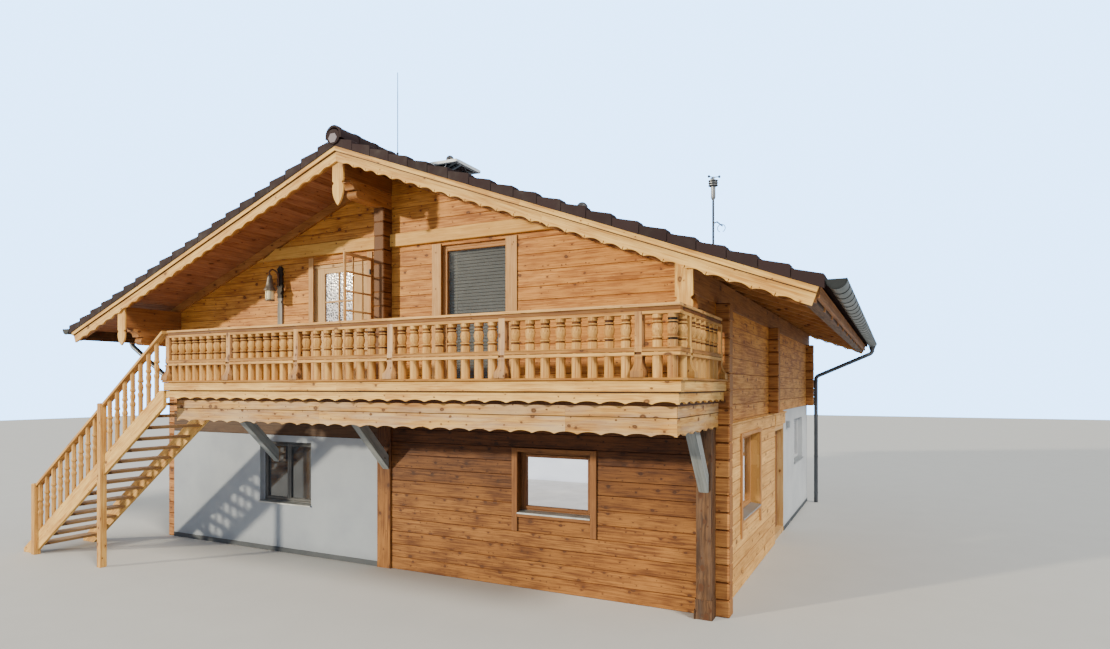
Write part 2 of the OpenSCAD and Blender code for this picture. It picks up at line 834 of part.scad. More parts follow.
module balcony_front_railing() {
    color("burlywood") translate([0, rail_y, 0]) {
        for (i = [0 : len(post_xs) - 2]) translate([post_xs[i], 0, 0])
            railing(post_xs[i + 1] - post_xs[i], bay_balusters[i]);
        for (x = post_xs) if (x < rail_right) translate([x, 0, 0]) railing_post();
        translate([rail_right - corner_in, 0, 0]) baluster(sill_z, baluster_top_z);
        translate([rail_right, -handrail_w / 2, rail_top_z - handrail_t])
            cube([handrail_w / 2, handrail_w, handrail_t]);
        translate([rail_right, -under_rail_w / 2, baluster_top_z])
            cube([under_rail_w / 2, under_rail_w, under_rail_h]);
        translate([rail_right, -baluster_r, mid_z - mid_rail_d / 2])
            cube([baluster_r, 2 * baluster_r, mid_rail_d]);
    }
}

side_end_y = front_y - 150;
side_post_y = rail_y + corner_bay;
side_bay_n = 6;
side_gap = 0.5;

module balcony_side_railing() {
    start = rail_y + handrail_w / 2 + side_gap;
    color("burlywood") {
        translate([rail_right, start, 0]) rotate(90) railing(side_post_y - start, 1);
        translate([rail_right, side_post_y, 0]) rotate(90) {
            railing(side_end_y - side_post_y, side_bay_n);
            railing_post();
            translate([side_end_y - side_post_y, 0, 0]) railing_post();
        }
    }
}

stair_y = front_y - balcony_reach;
end_rail_x = -balcony_left + 50;
end_rail_y0 = stair_y + stair_w + post_w;
end_rail_length = front_y - end_rail_y0;
end_baluster_n = 4;

module balcony_end_railing() {
    color("burlywood") translate([end_rail_x, end_rail_y0, 0]) rotate(90) {
        translate([-post_w / 2, -post_w / 2, floor_z]) cube([post_w, post_w, rail_h - handrail_t]);
        translate([-post_w / 2, -handrail_w / 2, rail_top_z - handrail_t])
            cube([end_rail_length + post_w / 2, handrail_w, handrail_t]);
        translate([0, -under_rail_w / 2, baluster_top_z])
            cube([end_rail_length, under_rail_w, under_rail_h]);
        translate([0, -baluster_r, mid_z - mid_rail_d / 2])
            cube([end_rail_length, baluster_r, mid_rail_d]);
        for (i = [1 : end_baluster_n])
            translate([i * end_rail_length / (end_baluster_n + 1) + post_w / 4, 0, 0])
                baluster(floor_z, baluster_top_z);
    }
}

brace_w = 120;
brace_d = 210;
brace_drop = 950;

// Sloping brace from a post's face up to the underside of a joist
module brace(x, y_foot) {
    y_end = front_y - skirt_reach + brace_back;
    z_foot = joist_z - brace_drop;
    plate_yz(x - brace_w / 2, brace_w)
        polygon([[y_foot, z_foot], [y_foot, z_foot + brace_d],
                 [y_end + brace_d, joist_z], [y_end, joist_z]]);
}

module balcony_braces() {
    color("slategray") {
        brace(half_w - wall_t / 2, front_y - corner_post_d);
        brace(joist_xs[2] + joist_w / 2, front_y - middle_post_proud);
        brace(joist_xs[0] + joist_w / 2, front_y);
    }
}

riser = floor_z / riser_n;
going = riser / tan(stair_pitch);
stair_top_x = -balcony_left;
stair_foot_x = stair_top_x - riser_n * going;
stringer_up = 60;
stringer_down = 240;
newel_xs = [-4000, stair_foot_x + 1.5 * going];

function stair_x(i) = stair_top_x - i * going;

// Height of the line through the tread noses
function stair_line(x) = floor_z + (x - stair_top_x) * tan(stair_pitch);

// Sloping band along the flight between two heights above the nose line
module stair_band(x0, x1, low, high) {
    polygon([[x0, stair_line(x0) + low], [x1, stair_line(x1) + low],
             [x1, stair_line(x1) + high], [x0, stair_line(x0) + high]]);
}

module newel_slots() {
    for (x = newel_xs) rect(x - newel_w / 2, -1, x + newel_w / 2, 2 * floor_z);
}

newel_w = 100;

module stair_stringers() {
    color("burlywood") {
        plate_xz(stair_y, stringer_t) difference() {
            stringer();
            newel_slots();
        }
        plate_xz(stair_y + stair_w - stringer_t, stringer_t) stringer();
    }
}

module stringer() {
    intersection() {
        stair_band(stair_foot_x, stair_top_x, -stringer_down, stringer_up);
        rect(stair_foot_x, 0, stair_top_x, floor_z);
    }
}

module stair_treads() {
    color("tan") for (i = [1 : riser_n - 1])
        block([stair_x(i), stair_y + stringer_t, floor_z - i * riser - tread_t],
              [stair_x(i - 1), stair_y + stair_w - stringer_t, floor_z - i * riser]);
}

stair_rail_y = stair_y + stringer_t / 2;
stair_rail_t = 45;
stair_rail_w = 110;

module stair_newels() {
    color("burlywood") for (x = newel_xs)
        block([x - newel_w / 2, stair_y + stringer_t - newel_w, 0],
              [x + newel_w / 2, stair_y + stringer_t, stair_line(x) + rail_h + 40]);
}

stair_baluster_n = floor((riser_n - 1) * going / baluster_pitch);

module stair_railing() {
    color("burlywood") {
        plate_xz(stair_rail_y - stair_rail_w / 2, stair_rail_w) difference() {
            stair_band(newel_xs[1], stair_top_x, rail_h - stair_rail_t, rail_h);
            newel_slots();
        }
        intersection() {
            for (i = [1 : stair_baluster_n]) translate([stair_top_x - i * baluster_pitch, 0, 0])
                stair_baluster(stair_line(stair_top_x - i * baluster_pitch));
            plate_xz(stair_y - stair_w, 2 * stair_w) difference() {
                stair_band(newel_xs[1], stair_top_x, stringer_up, rail_h - stair_rail_t + 5);
                newel_slots();
            }
        }
    }
}

stair_baluster_r = 40;
stair_baluster_over = 60;

// Turned baluster of the flight, standing on the stringer
module stair_baluster(z) {
    r = stair_baluster_r;
    translate([0, stair_rail_y, z]) rotate_extrude($fn = 48) polygon([[0, 0], [0.8 * r, 0],
        [0.8 * r, 330], [r, 340], [r, 370], [0.7 * r, 400], [0.95 * r, 450], [0.65 * r, 520],
        [r, 540], [r, 570], [0.8 * r, 590], [0.8 * r, rail_h + stair_baluster_over],
        [0, rail_h + stair_baluster_over]]);
}

// Ring of four frame members round a pane
module frame_ring(o) {
    difference() {
        opening(o);
        rect(o[0] + frame_w, o[1] + frame_w, o[2] - frame_w, o[3] - frame_w);
    }
}

module pane(o) {
    rect(o[0] + frame_w, o[1] + frame_w, o[2] - frame_w, o[3] - frame_w);
}

front_windows = [front_timber_window, front_plaster_window, balcony_window_opening];
back_windows = concat(back_lower_windows, back_upper_windows);
right_windows = [side_window, side_window_rear];

module window_frames() {
    color("peru") {
        plate_xz(front_y + reveal, frame_t) for (o = front_windows) frame_ring(o);
        plate_xz(back_y - reveal - frame_t, frame_t) for (o = back_windows) frame_ring(o);
        plate_yz(half_w - reveal - frame_t, frame_t) for (o = right_windows) frame_ring(o);
        plate_yz(-half_w + reveal, frame_t) for (o = left_windows) frame_ring(o);
    }
}

module window_glass() {
    d = (frame_t - pane_t) / 2;
    color("lightblue") {
        plate_xz(front_y + reveal + d, pane_t) {
            for (o = front_windows) pane(o);
            opening(upper_door_glass);
        }
        plate_xz(back_y - reveal - frame_t + d, pane_t) for (o = back_windows) pane(o);
        plate_yz(half_w - reveal - frame_t + d, pane_t) for (o = right_windows) pane(o);
        plate_yz(-half_w + reveal + d, pane_t) for (o = left_windows) pane(o);
    }
}

head_h = 50;
sill_board_h = 60;

// Flat boards round a window: two long side boards, a head board and a sill board between them
module trim_boards(o) {
    rect(o[0] - trim_w, o[1] - trim_drop, o[0], o[3] + head_h);
    rect(o[2], o[1] - trim_drop, o[2] + trim_w, o[3] + head_h);
    rect(o[0], o[3], o[2], o[3] + head_h);
    rect(o[0], o[1] - sill_board_h, o[2], o[1]);
}

module window_trims() {
    color("peru") {
        plate_xz(front_y - trim_t, trim_t) trim_boards(front_timber_window);
        plate_yz(half_w + cladding_t, trim_t) trim_boards(side_window);
    }
}

upper_door_glass = [-1300, 3800, -560, 4600];

module upper_door() {
    color("wheat") plate_xz(front_y + reveal, frame_t) difference() {
        opening(upper_door_opening);
        opening(upper_door_glass);
    }
}

blind_t = 12;
blind_over = 20;

module balcony_window_blind() {
    o = balcony_window_opening;
    side = frame_w - blind_over;
    color("gray") plate_xz(front_y + reveal + frame_t, blind_t)
        rect(o[0] + side, o[1] + frame_w, o[2] - side, o[3] - side);
}

module lattice_screen() {
    bar = 28;
    stile = 45;
    z0 = floor_z + 30;
    h = 1970;
    w = 620;
    y0 = front_y - w;
    color("orange") plate_yz(upper_door_opening[2] + 10, bar) {
        difference() {
            rect(y0, z0, front_y, z0 + h);
            rect(y0 + stile, z0 + stile, front_y - stile, z0 + h - stile);
        }
        for (i = [1 : 2]) translate([y0 + i * w / 3, z0 + stile / 2]) rect(-bar / 2, 0, bar / 2, h - stile);
        for (i = [1 : 5]) translate([y0 + stile / 2, z0 + i * h / 6]) rect(0, -bar / 2, w - stile, bar / 2);
    }
}

// The terrace door: frame, leaf and pane, hinged at the rear jamb and opening inwards
door_o = terrace_door_opening;
leaf_in = 30;
leaf_x0 = half_w - wall_t + leaf_in;
jamb_w = 50;
sill_h = ground_slab_t;

module terrace_door_frame() {
    color("peru") plate_yz(half_w - wall_t, wall_t) difference() {
        rect(door_o[0], 0, door_o[2], door_o[3]);
        rect(door_o[0] + jamb_w, sill_h, door_o[2] - jamb_w, door_o[3] - jamb_w);
    }
    color("dimgray") for (z = hinge_zs) translate([hinge_x, hinge_y, z]) {
        cylinder(h = knuckle_h, r = knuckle_r, $fn = 32);
        cylinder(h = 2 * knuckle_h, r = pin_r, $fn = 32);
        block([-hinge_leaf_t / 2, 0, 0], [hinge_leaf_t / 2, leaf_gap + knuckle_r, knuckle_h]);
    }
}

knuckle_h = 50;
knuckle_r = 10;
pin_r = 5;
pin_gap = 0.05;
knuckle_gap = 0.3;
hinge_leaf_t = 6;
hinge_leaf_w = 40;
hinge_inset = 240;
leaf_rail = 110;
leaf = [door_o[0] + jamb_w + leaf_gap, sill_h + leaf_gap,
        door_o[2] - jamb_w - leaf_gap, door_o[3] - jamb_w - leaf_gap];
hinge_off = 2;
hinge_x = leaf_x0 - knuckle_r - hinge_off;
hinge_y = leaf[2] - knuckle_r;
hinge_zs = [leaf[1] + hinge_inset, (leaf[1] + leaf[3]) / 2, leaf[3] - hinge_inset];

module terrace_door() {
    knuckle_up = knuckle_h + knuckle_gap;
    color("chocolate") difference() {
        union() {
            plate_yz(leaf_x0, leaf_t) difference() {
                opening(leaf);
                leaf_light();
            }
            for (z = hinge_zs) translate([hinge_x, hinge_y, z + knuckle_up]) {
                cylinder(h = knuckle_h, r = knuckle_r, $fn = 32);
                block([-hinge_leaf_t / 2, -hinge_leaf_w, 0], [leaf_x0 - hinge_x, 0, knuckle_h]);
            }
        }
        for (z = hinge_zs) translate([hinge_x, hinge_y, z + knuckle_h - 1])
            cylinder(h = knuckle_h + 10, r = pin_r + pin_gap, $fn = 32);
    }
}

// The glazed part of the leaf
module leaf_light() {
    rect(leaf[0] + leaf_rail, leaf[1] + leaf_rail * 2, leaf[2] - leaf_rail, leaf[3] - leaf_rail);
}

module terrace_door_glass() {
    color("lightblue") plate_yz(leaf_x0 + (leaf_t - pane_t) / 2, pane_t) leaf_light();
}

lantern_x = -2310;
lantern_z = 4240;
lantern_reach = 220;
lantern_h = 440;
plank = [-2360, 3750, -2230, 4850];
plank_t = 30;
notch_r = 25;
strap_t = 12;
strap_w = 30;
strap_lift = 60;

// Bell roof over a round glass body, turned round the lantern's own axis
module lantern_body() {
    r = lantern_r;
    rotate_extrude($fn = 48) polygon([[0, 0], [0.78 * r, 0], [0.78 * r, 12], [0.7 * r, 16],
        [0.76 * r, 175], [r, 180], [0.95 * r, 195], [0.62 * r, 240], [0.5 * r, 330], [0.36 * r, 400],
        [0.36 * r, lantern_h - 15], [0.15 * r, lantern_h], [0, lantern_h]]);
}

module wall_lantern() {
    top = lantern_z + lantern_h;
    color("black") {
        translate([lantern_x, front_y - lantern_reach, lantern_z]) lantern_body();
        plate_yz(lantern_x - strap_w / 2, strap_w) {
            translate([front_y - lantern_reach, top]) rect(-strap_t / 2, -10, strap_t / 2, strap_lift);
            translate([front_y - lantern_reach, top + strap_lift])
                rect(-strap_t / 2, 0, lantern_reach - plank_t, strap_t);
        }
    }
    color("gray") plate_xz(front_y - plank_t, plank_t) difference() {
        opening(plank);
        for (x = [plank[0], plank[2]]) translate([x, lantern_z]) circle(notch_r, $fn = 32);
    }
}

sash_x = 370;
sash_y = front_y + 160;
sash_t = 30;
sash_fall = 20;
kerb_h = 40;

// Height of the tiles' highest line over a place on the slope
function tiles_z(x) = roof_z(x) + tile_nose;

// Roof window standing ajar: a kerb on the slope and an almost level sash hinged at the kerb's upper edge
module roof_window() {
    low_x = sash_x + sash_l * cos(roof_pitch);
    top = tiles_z(sash_x) + kerb_h;
    color("silver") plate_xz(sash_y, sash_w) {
        polygon([[sash_x, tiles_z(sash_x) + seat_gap], [low_x, tiles_z(low_x) + seat_gap],
                 [low_x, tiles_z(low_x) + kerb_h], [sash_x, top]]);
        polygon([[sash_x, top - sash_t], [sash_x + sash_l, top - sash_t - sash_fall],
                 [sash_x + sash_l, top - sash_fall], [sash_x, top]]);
    }
}

// Vents on the right slope: [x, y, height above the tiles, radius]
vents = [[300, front_y + 1250, 300, 60], [2957, front_y + 800, 190, 85]];

// Sheet that follows the slope over the tiles between two places
module flashing(x0, x1) {
    polygon([[x0, roof_z(x0) + tile_head / 2], [x1, roof_z(x1) + tile_head / 2],
             [x1, tiles_z(x1) + flashing_t], [x0, tiles_z(x0) + flashing_t]]);
}

flashing_t = 10;

// Pipe with a domed cap on a square flashing
module roof_vents() {
    color("dimgray") difference() {
        for (v = vents) {
            half = 1.6 * v[3];
            translate([v[0], v[1], roof_z(v[0]) + tile_head]) {
                cylinder(h = tile_nose - tile_head + v[2], r = 0.8 * v[3], $fn = 32);
                translate([0, 0, tile_nose - tile_head + v[2]]) sphere(v[3], $fn = 32);
            }
            plate_xz(v[1] - half, 2 * half) flashing(v[0] - half, v[0] + half);
        }
        plate_xz(tile_front_y, tile_back_y - tile_front_y) tile_section();
    }
}

// Masts on the right slope: [x, y, height above the tiles, radius]
masts = [[620, front_y - 500, rod_h, 6], [4950, front_y + 500, mast_h, 10]];

// Sensor housing at the mast's head: a body, three plates and the cups' hub
module mast_head() {
    rotate_extrude($fn = 32) polygon([[0, -330], [12, -330], [26, -300], [30, -290], [30, -150], [22, -145],
        [55, -140], [55, -130], [25, -125], [25, -115], [55, -110], [55, -100], [25, -95], [25, -85],
        [55, -80], [55, -70], [20, -60], [14, -20], [0, -20]]);
    for (a = [0, 120, 240]) rotate(a) {
        translate([0, -4, -32]) cube([75, 8, 8]);
        translate([80, 0, -28]) sphere(17, $fn = 32);
    }
}

module roof_masts() {
    color("gray") {
        difference() {
            for (m = masts) translate([m[0], m[1], roof_z(m[0]) + tile_head / 2]) {
                cylinder(h = m[2] + tile_nose - tile_head / 2 - 30, r = m[3], $fn = 32);
                cylinder(h = tile_nose + 60, r = 3 * m[3], $fn = 32);
            }
            plate_xz(tile_front_y, tile_back_y - tile_front_y) tile_section();
        }
        translate([masts[1][0], masts[1][1], tiles_z(masts[1][0]) + mast_h]) mast_head();
    }
}

ground_floor_slab();
front_wall_timber();
front_wall_plaster();
front_wall_beam();
middle_post();
corner_post();
right_wall_lower_front();
right_wall_lower_rear();
terrace_door_lintel();
left_wall_lower();
back_wall_lower();
upper_floor();
front_wall_upper();
right_wall_upper();
left_wall_upper();
back_wall_upper();
log_ends();
gable_log_ends();
lintel_beam();
ridge_purlin();
eaves_purlins();
purlin_corbels();
rafters();
roof_boarding();
roof_tiles_left();
roof_tiles_right();
ridge_tiles();
front_bargeboards();
back_bargeboards();
purlin_end_boards();
eaves_boards();
gutters();
downpipes();
balcony_joists();
balcony_deck();
balcony_fascia();
balcony_skirt();
balcony_front_railing();
balcony_side_railing();
balcony_end_railing();
balcony_braces();
stair_stringers();
stair_treads();
stair_newels();
stair_railing();
window_frames();
window_glass();
window_trims();
upper_door();
balcony_window_blind();
lattice_screen();
terrace_door_frame();
terrace_door();
terrace_door_glass();
wall_lantern();
roof_window();
roof_vents();
roof_masts();
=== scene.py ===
"""Alpine chalet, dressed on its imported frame: logs, boards, turned balusters, tiles, panes and fittings.

Sizes are in metres in the part's own frame: X along the front, Y from the front to the back, Z up from
the ground. The origin lies on the ground in the middle of the house.
"""

import json
import logging
import math
import random
from collections.abc import Callable, Sequence
from dataclasses import dataclass, field
from enum import Enum

import bmesh
import bpy
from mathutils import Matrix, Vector

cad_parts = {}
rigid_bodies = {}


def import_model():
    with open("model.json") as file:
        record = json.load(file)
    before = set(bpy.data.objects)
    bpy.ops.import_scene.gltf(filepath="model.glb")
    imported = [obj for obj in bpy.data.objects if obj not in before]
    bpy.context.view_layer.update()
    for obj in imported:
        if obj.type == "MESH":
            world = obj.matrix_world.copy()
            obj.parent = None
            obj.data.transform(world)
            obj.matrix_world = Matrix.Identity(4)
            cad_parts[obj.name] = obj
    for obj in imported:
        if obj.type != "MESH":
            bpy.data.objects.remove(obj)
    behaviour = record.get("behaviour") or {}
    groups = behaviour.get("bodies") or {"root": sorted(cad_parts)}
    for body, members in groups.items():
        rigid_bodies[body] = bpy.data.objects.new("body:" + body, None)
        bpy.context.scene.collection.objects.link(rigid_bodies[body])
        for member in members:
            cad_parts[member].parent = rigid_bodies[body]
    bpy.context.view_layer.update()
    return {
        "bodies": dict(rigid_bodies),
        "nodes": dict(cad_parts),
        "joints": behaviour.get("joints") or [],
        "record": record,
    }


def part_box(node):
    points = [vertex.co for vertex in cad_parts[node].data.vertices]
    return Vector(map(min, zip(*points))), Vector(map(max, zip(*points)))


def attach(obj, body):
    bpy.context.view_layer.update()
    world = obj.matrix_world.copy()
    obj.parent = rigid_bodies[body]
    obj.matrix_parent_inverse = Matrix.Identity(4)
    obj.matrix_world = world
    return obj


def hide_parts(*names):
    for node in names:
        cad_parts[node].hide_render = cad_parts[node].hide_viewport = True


Colour = tuple[float, float, float]
Point = tuple[float, float, float]
Flat = tuple[float, float]
Reach = float | Callable[[float, float], float]
Axes = tuple[Point, Point, Point]
Board = tuple[float, float, float]
Opening = tuple[float, ...]

X_AXIS: Point = (1.0, 0.0, 0.0)
Y_AXIS: Point = (0.0, 1.0, 0.0)
Z_AXIS: Point = (0.0, 0.0, 1.0)
# Planes that outlines lie in, each with the axis that they are drawn out along.
FRONT_PLANE: Axes = (X_AXIS, Z_AXIS, Y_AXIS)
SIDE_PLANE: Axes = (Y_AXIS, Z_AXIS, X_AXIS)
GROUND_PLANE: Axes = (X_AXIS, Y_AXIS, Z_AXIS)
BACK_WALL: Axes = (X_AXIS, Z_AXIS, (0.0, -1.0, 0.0))
RIGHT_WALL: Axes = (Y_AXIS, Z_AXIS, (-1.0, 0.0, 0.0))
# Gap between pieces that meet.
GAP = 0.0005
# Step and number of a row of copies that has one place only.
ONCE = ((0.0, 0.0, 0.0), 1)
PHOTO_SIZE = (1110, 649)

log = logging.getLogger("chalet")


class Body(Enum):
    """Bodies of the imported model."""

    HOUSE = "house"
    DOOR = "terrace_door"


class Side(Enum):
    """The two halves of the house, by the sign of X."""

    LEFT = -1
    RIGHT = 1


class Graph:
    """Node tree of one material, with short calls for nodes and links."""

    def __init__(self, name: str) -> None:
        """Starts a material with an empty tree.

        Args:
            name: the material's name.
        """
        self.material = bpy.data.materials.new(name)
        self.material.use_nodes = True
        self.tree = self.material.node_tree
        self.tree.nodes.clear()

    def node(self, kind: str, inputs: dict | None = None, **settings: object) -> bpy.types.Node:
        """Adds a node.

        Args:
            kind: the node's type.
            inputs: values or output sockets by input name or number.
            settings: the node's own properties.

        Returns:
            The new node.
        """
        made = self.tree.nodes.new(kind)
        for key, value in settings.items():
            setattr(made, key, value)
        for key, value in (inputs or {}).items():
            if isinstance(value, bpy.types.NodeSocket):
                self.tree.links.new(value, made.inputs[key])
            else:
                made.inputs[key].default_value = value
        return made

    def math(self, operation: str, a: object, b: object = 0.0, c: object = 0.0) -> bpy.types.NodeSocket:
        """Returns the result of a Math node on up to three values."""
        return self.node("ShaderNodeMath", {0: a, 1: b, 2: c}, operation=operation).outputs[0]

    def scaled(self, vector: bpy.types.NodeSocket, scale: Point) -> bpy.types.NodeSocket:
        """Returns a vector times a scale along each axis."""
        return self.node("ShaderNodeVectorMath", {0: vector, 1: scale}, operation="MULTIPLY").outputs[0]

    def noise(self, vector: bpy.types.NodeSocket, scale: float, detail: float = 3.0,
              rough: float = 0.55) -> bpy.types.NodeSocket:
        """Returns the height of a noise pattern."""
        return self.node("ShaderNodeTexNoise", {"Vector": vector, "Scale": scale, "Detail": detail,
                                                "Roughness": rough}).outputs[0]

    def spread(self, value: bpy.types.NodeSocket, low: float, high: float, to_low: float = 0.0,
               to_high: float = 1.0) -> bpy.types.NodeSocket:
        """Returns a value taken from one range to another and held within it."""
        return self.node("ShaderNodeMapRange", {0: value, 1: low, 2: high, 3: to_low, 4: to_high}).outputs[0]

    def mix(self, share: object, a: object, b: object, blend: str = "MIX") -> bpy.types.NodeSocket:
        """Returns two colours mixed.

        Args:
            share: how much of the second colour.
            a: the first colour or its socket.
            b: the second colour or its socket.
            blend: how they are mixed.

        Returns:
            The mixed colour's socket.
        """
        def full(value: object) -> object:
            """Returns a colour with its fourth number added, and any other value as it is."""
            return (*value, 1.0) if isinstance(value, tuple) and len(value) == 3 else value
        return self.node("ShaderNodeMix", {0: share, 6: full(a), 7: full(b)}, data_type="RGBA",
                         blend_type=blend).outputs[2]

    def attribute(self, name: str) -> bpy.types.NodeSocket:
        """Returns a number that the mesh carries."""
        return self.node("ShaderNodeAttribute", attribute_name=name).outputs["Fac"]

    def place(self) -> bpy.types.NodeSocket:
        """Returns the point on the object, in metres."""
        return self.node("ShaderNodeTexCoord").outputs["Object"]

    def bump(self, height: bpy.types.NodeSocket, strength: float, depth: float) -> bpy.types.NodeSocket:
        """Returns a normal that follows a height."""
        return self.node("ShaderNodeBump", {"Height": height, "Strength": strength,
                                            "Distance": depth}).outputs[0]

    def shade(self, inputs: dict) -> bpy.types.Material:
        """Closes the tree with its surface.

        Args:
            inputs: what the surface shader gets, by input name.

        Returns:
            The finished material.
        """
        surface = self.node("ShaderNodeBsdfPrincipled", inputs)
        self.node("ShaderNodeOutputMaterial", {"Surface": surface.outputs[0]})
        return self.material


class Grain(Enum):
    """Where wood takes its grain from: the piece's own map, or an axis of the object."""

    MAP = "map"
    ALONG_X = "x"
    ALONG_Z = "z"


@dataclass(frozen=True)
class WoodFinish:
    """Planed or hewn spruce with streaks, knots, a tone of its own on each board and, where asked, painted
    shade.
    """

    name: str
    light: Colour
    deep: Colour
    knot: Colour = (0.075, 0.026, 0.009)
    knot_r: float = 0.019
    knot_cell: float = 0.27
    knot_share: float = 0.75
    contrast: float = 1.0
    rough: float = 0.6
    gloss: float = 0.25
    # Painted shade: a darker colour that the wood is multiplied by between two heights, and those heights.
    painted_shade_tint: Colour = (1.0, 1.0, 1.0)
    painted_shade_low: float = 0.0
    painted_shade_high: float = 0.0
    worn: Colour = (0.3, 0.29, 0.28)
    wear: float = 0.0
    grain: Grain = Grain.MAP

    def build(self) -> bpy.types.Material:
        """Returns the wood's material."""
        g = Graph(self.name if self.grain is Grain.MAP else f"{self.name}_{self.grain.value}")
        place = g.place()
        if self.grain is Grain.MAP:
            flat = g.node("ShaderNodeUVMap", uv_map="grain").outputs[0]
        else:
            xyz = g.node("ShaderNodeSeparateXYZ", {0: place}).outputs
            along = "xyz".index(self.grain.value)
            across = [i for i in range(3) if i != along]
            flat = g.node("ShaderNodeCombineXYZ", {0: xyz[along],
                                                   1: g.math("ADD", xyz[across[0]],
                                                             g.math("MULTIPLY", xyz[across[1]],
                                                                    1.37))}).outputs[0]
        wavy = g.noise(g.scaled(flat, (9.0, 14.0, 1.0)), 1.0, 2.0)
        ragged = g.node("ShaderNodeCombineXYZ", {0: g.math("MULTIPLY", wavy, 0.02),
                                                 1: g.math("MULTIPLY", wavy, -0.016)}).outputs[0]
        spot = g.node("ShaderNodeVectorMath", {0: g.scaled(flat, (0.72, 1.0, 1.0)), 1: ragged},
                      operation="ADD").outputs[0]
        knot, heart, halo = self._knots(g, spot, self.knot_cell, self.knot_r, self.knot_share)
        small, pith, rim = self._knots(g, g.scaled(spot, (1.0, -1.0, 1.0)), self.knot_cell * 0.47, self.knot_r
                                       * 0.36, self.knot_share * 0.6)
        knot, halo = g.math("MAXIMUM", knot, small), g.math("MAXIMUM", halo, g.math("MULTIPLY", rim, 0.4))
        heart = g.math("MAXIMUM", heart, pith)
        bent = g.node("ShaderNodeCombineXYZ", {0: 0.0, 1: g.math("MULTIPLY", halo, 0.014)}).outputs[0]
        flow = g.node("ShaderNodeVectorMath", {0: flat, 1: bent}, operation="ADD").outputs[0]
        streak = g.noise(g.scaled(flow, (1.0, 24.0, 1.0)), 1.6, 5.0, 0.68)
        fine = g.noise(g.scaled(flow, (3.0, 150.0, 1.0)), 1.0, 2.0)
        cloud = g.noise(g.scaled(flat, (1.0, 2.2, 1.0)), 1.5, 3.0, 0.6)
        tone = g.math("ADD", g.math("MULTIPLY", g.math("SUBTRACT", streak, 0.5), 2.6 * self.contrast),
                      g.math("MULTIPLY", g.math("SUBTRACT", fine, 0.5), 0.9 * self.contrast))
        tone = g.math("ADD", tone, g.math("MULTIPLY", g.math("SUBTRACT", cloud, 0.5), 1.7 * self.contrast))
        tone = g.math("ADD", g.math("ADD", tone, 0.45), g.math("MULTIPLY", halo, 0.4))
        colour = g.mix(g.spread(tone, 0.0, 1.0), self.light, self.deep)
        deepest = tuple(0.55 * c for c in self.deep)
        colour = g.mix(g.spread(tone, 0.95, 1.7, 0.0, 0.7), colour, deepest)
        if self.wear:
            grey = g.spread(g.noise(g.scaled(flat, (0.7, 6.0, 1.0)), 1.5, 4.0), 0.42, 0.62, 0.0, self.wear)
            colour = g.mix(grey, colour, self.worn)
        colour = g.mix(g.math("MULTIPLY", knot, 0.95), colour, self.knot)
        colour = g.mix(g.math("MULTIPLY", heart, 0.45), colour, self.deep)
        ends = g.node("ShaderNodeTexWave", {"Vector": flat, "Scale": 22.0, "Distortion": 3.0, "Detail": 2.0},
                      wave_type="RINGS", rings_direction="SPHERICAL").outputs["Fac"]
        cut = g.mix(ends, tuple(0.8 * c for c in self.deep), tuple(0.9 * c for c in self.light))
        colour = g.mix(g.attribute("end"), colour, cut)
        # Painted shade: the colour darkens towards the tint as the height rises, as in the shade under the
        # balcony.
        if self.painted_shade_high > self.painted_shade_low:
            height = g.node("ShaderNodeSeparateXYZ", {0: place}).outputs[2]
            colour = g.mix(g.spread(height, self.painted_shade_low, self.painted_shade_high), colour,
                           g.mix(1.0, colour, self.painted_shade_tint, "MULTIPLY"))
        # The face's tone darkens the colour, browner as it gets darker; it holds each board's random tone and
        # any painted shade.
        own = g.math("ADD", g.attribute("shade"), 1.0)
        warm = {k: g.math("POWER", own, power) for k, power in enumerate((0.85, 1.15, 1.6))}
        colour = g.mix(1.0, colour, g.node("ShaderNodeCombineColor", warm).outputs[0], "MULTIPLY")
        height = g.math("SUBTRACT", g.math("MULTIPLY", fine, 0.6), g.math("MULTIPLY", knot, 0.4))
        height = g.math("ADD", height, streak)
        return g.shade({"Base Color": colour, "Roughness": g.spread(streak, 0.3, 0.7, self.rough - 0.07,
                                                                    self.rough + 0.07),
                        "Specular IOR Level": self.gloss, "Normal": g.bump(height, 0.6, 0.003)})

    @staticmethod
    def _knots(g: Graph, spot: bpy.types.NodeSocket, cell: float, radius: float,
               share: float) -> tuple[bpy.types.NodeSocket, ...]:
        """Scatters knots, one at most in each cell.

        Args:
            g: the material's tree.
            spot: the point on the wood, already made ragged.
            cell: width of a cell.
            radius: the middle radius of a knot.
            share: share of the cells that have one.

        Returns:
            How far a point lies in a knot, in its heart and in the bent grain round it.
        """
        cells = g.node("ShaderNodeTexVoronoi", {"Vector": spot, "Scale": 1 / cell},
                       voronoi_dimensions="2D").outputs
        chance = g.node("ShaderNodeSeparateColor", {0: cells["Color"]}).outputs
        wide = g.math("POWER", chance[1], 2.2)
        size = g.math("MULTIPLY", g.math("ADD", g.math("MULTIPLY", wide, 1.5), 0.4), radius / cell)
        absent = g.math("MULTIPLY", g.math("GREATER_THAN", chance[0], share), 40.0)
        far = g.math("ADD", g.math("DIVIDE", cells["Distance"], size), absent)
        halo = g.spread(far, 1.0, 4.2, 1.0, 0.0)
        return g.spread(far, 0.75, 1.2, 1.0, 0.0), g.spread(far, 0.1, 0.75, 1.0, 0.0), g.math("MULTIPLY",
                                                                                              halo, halo)


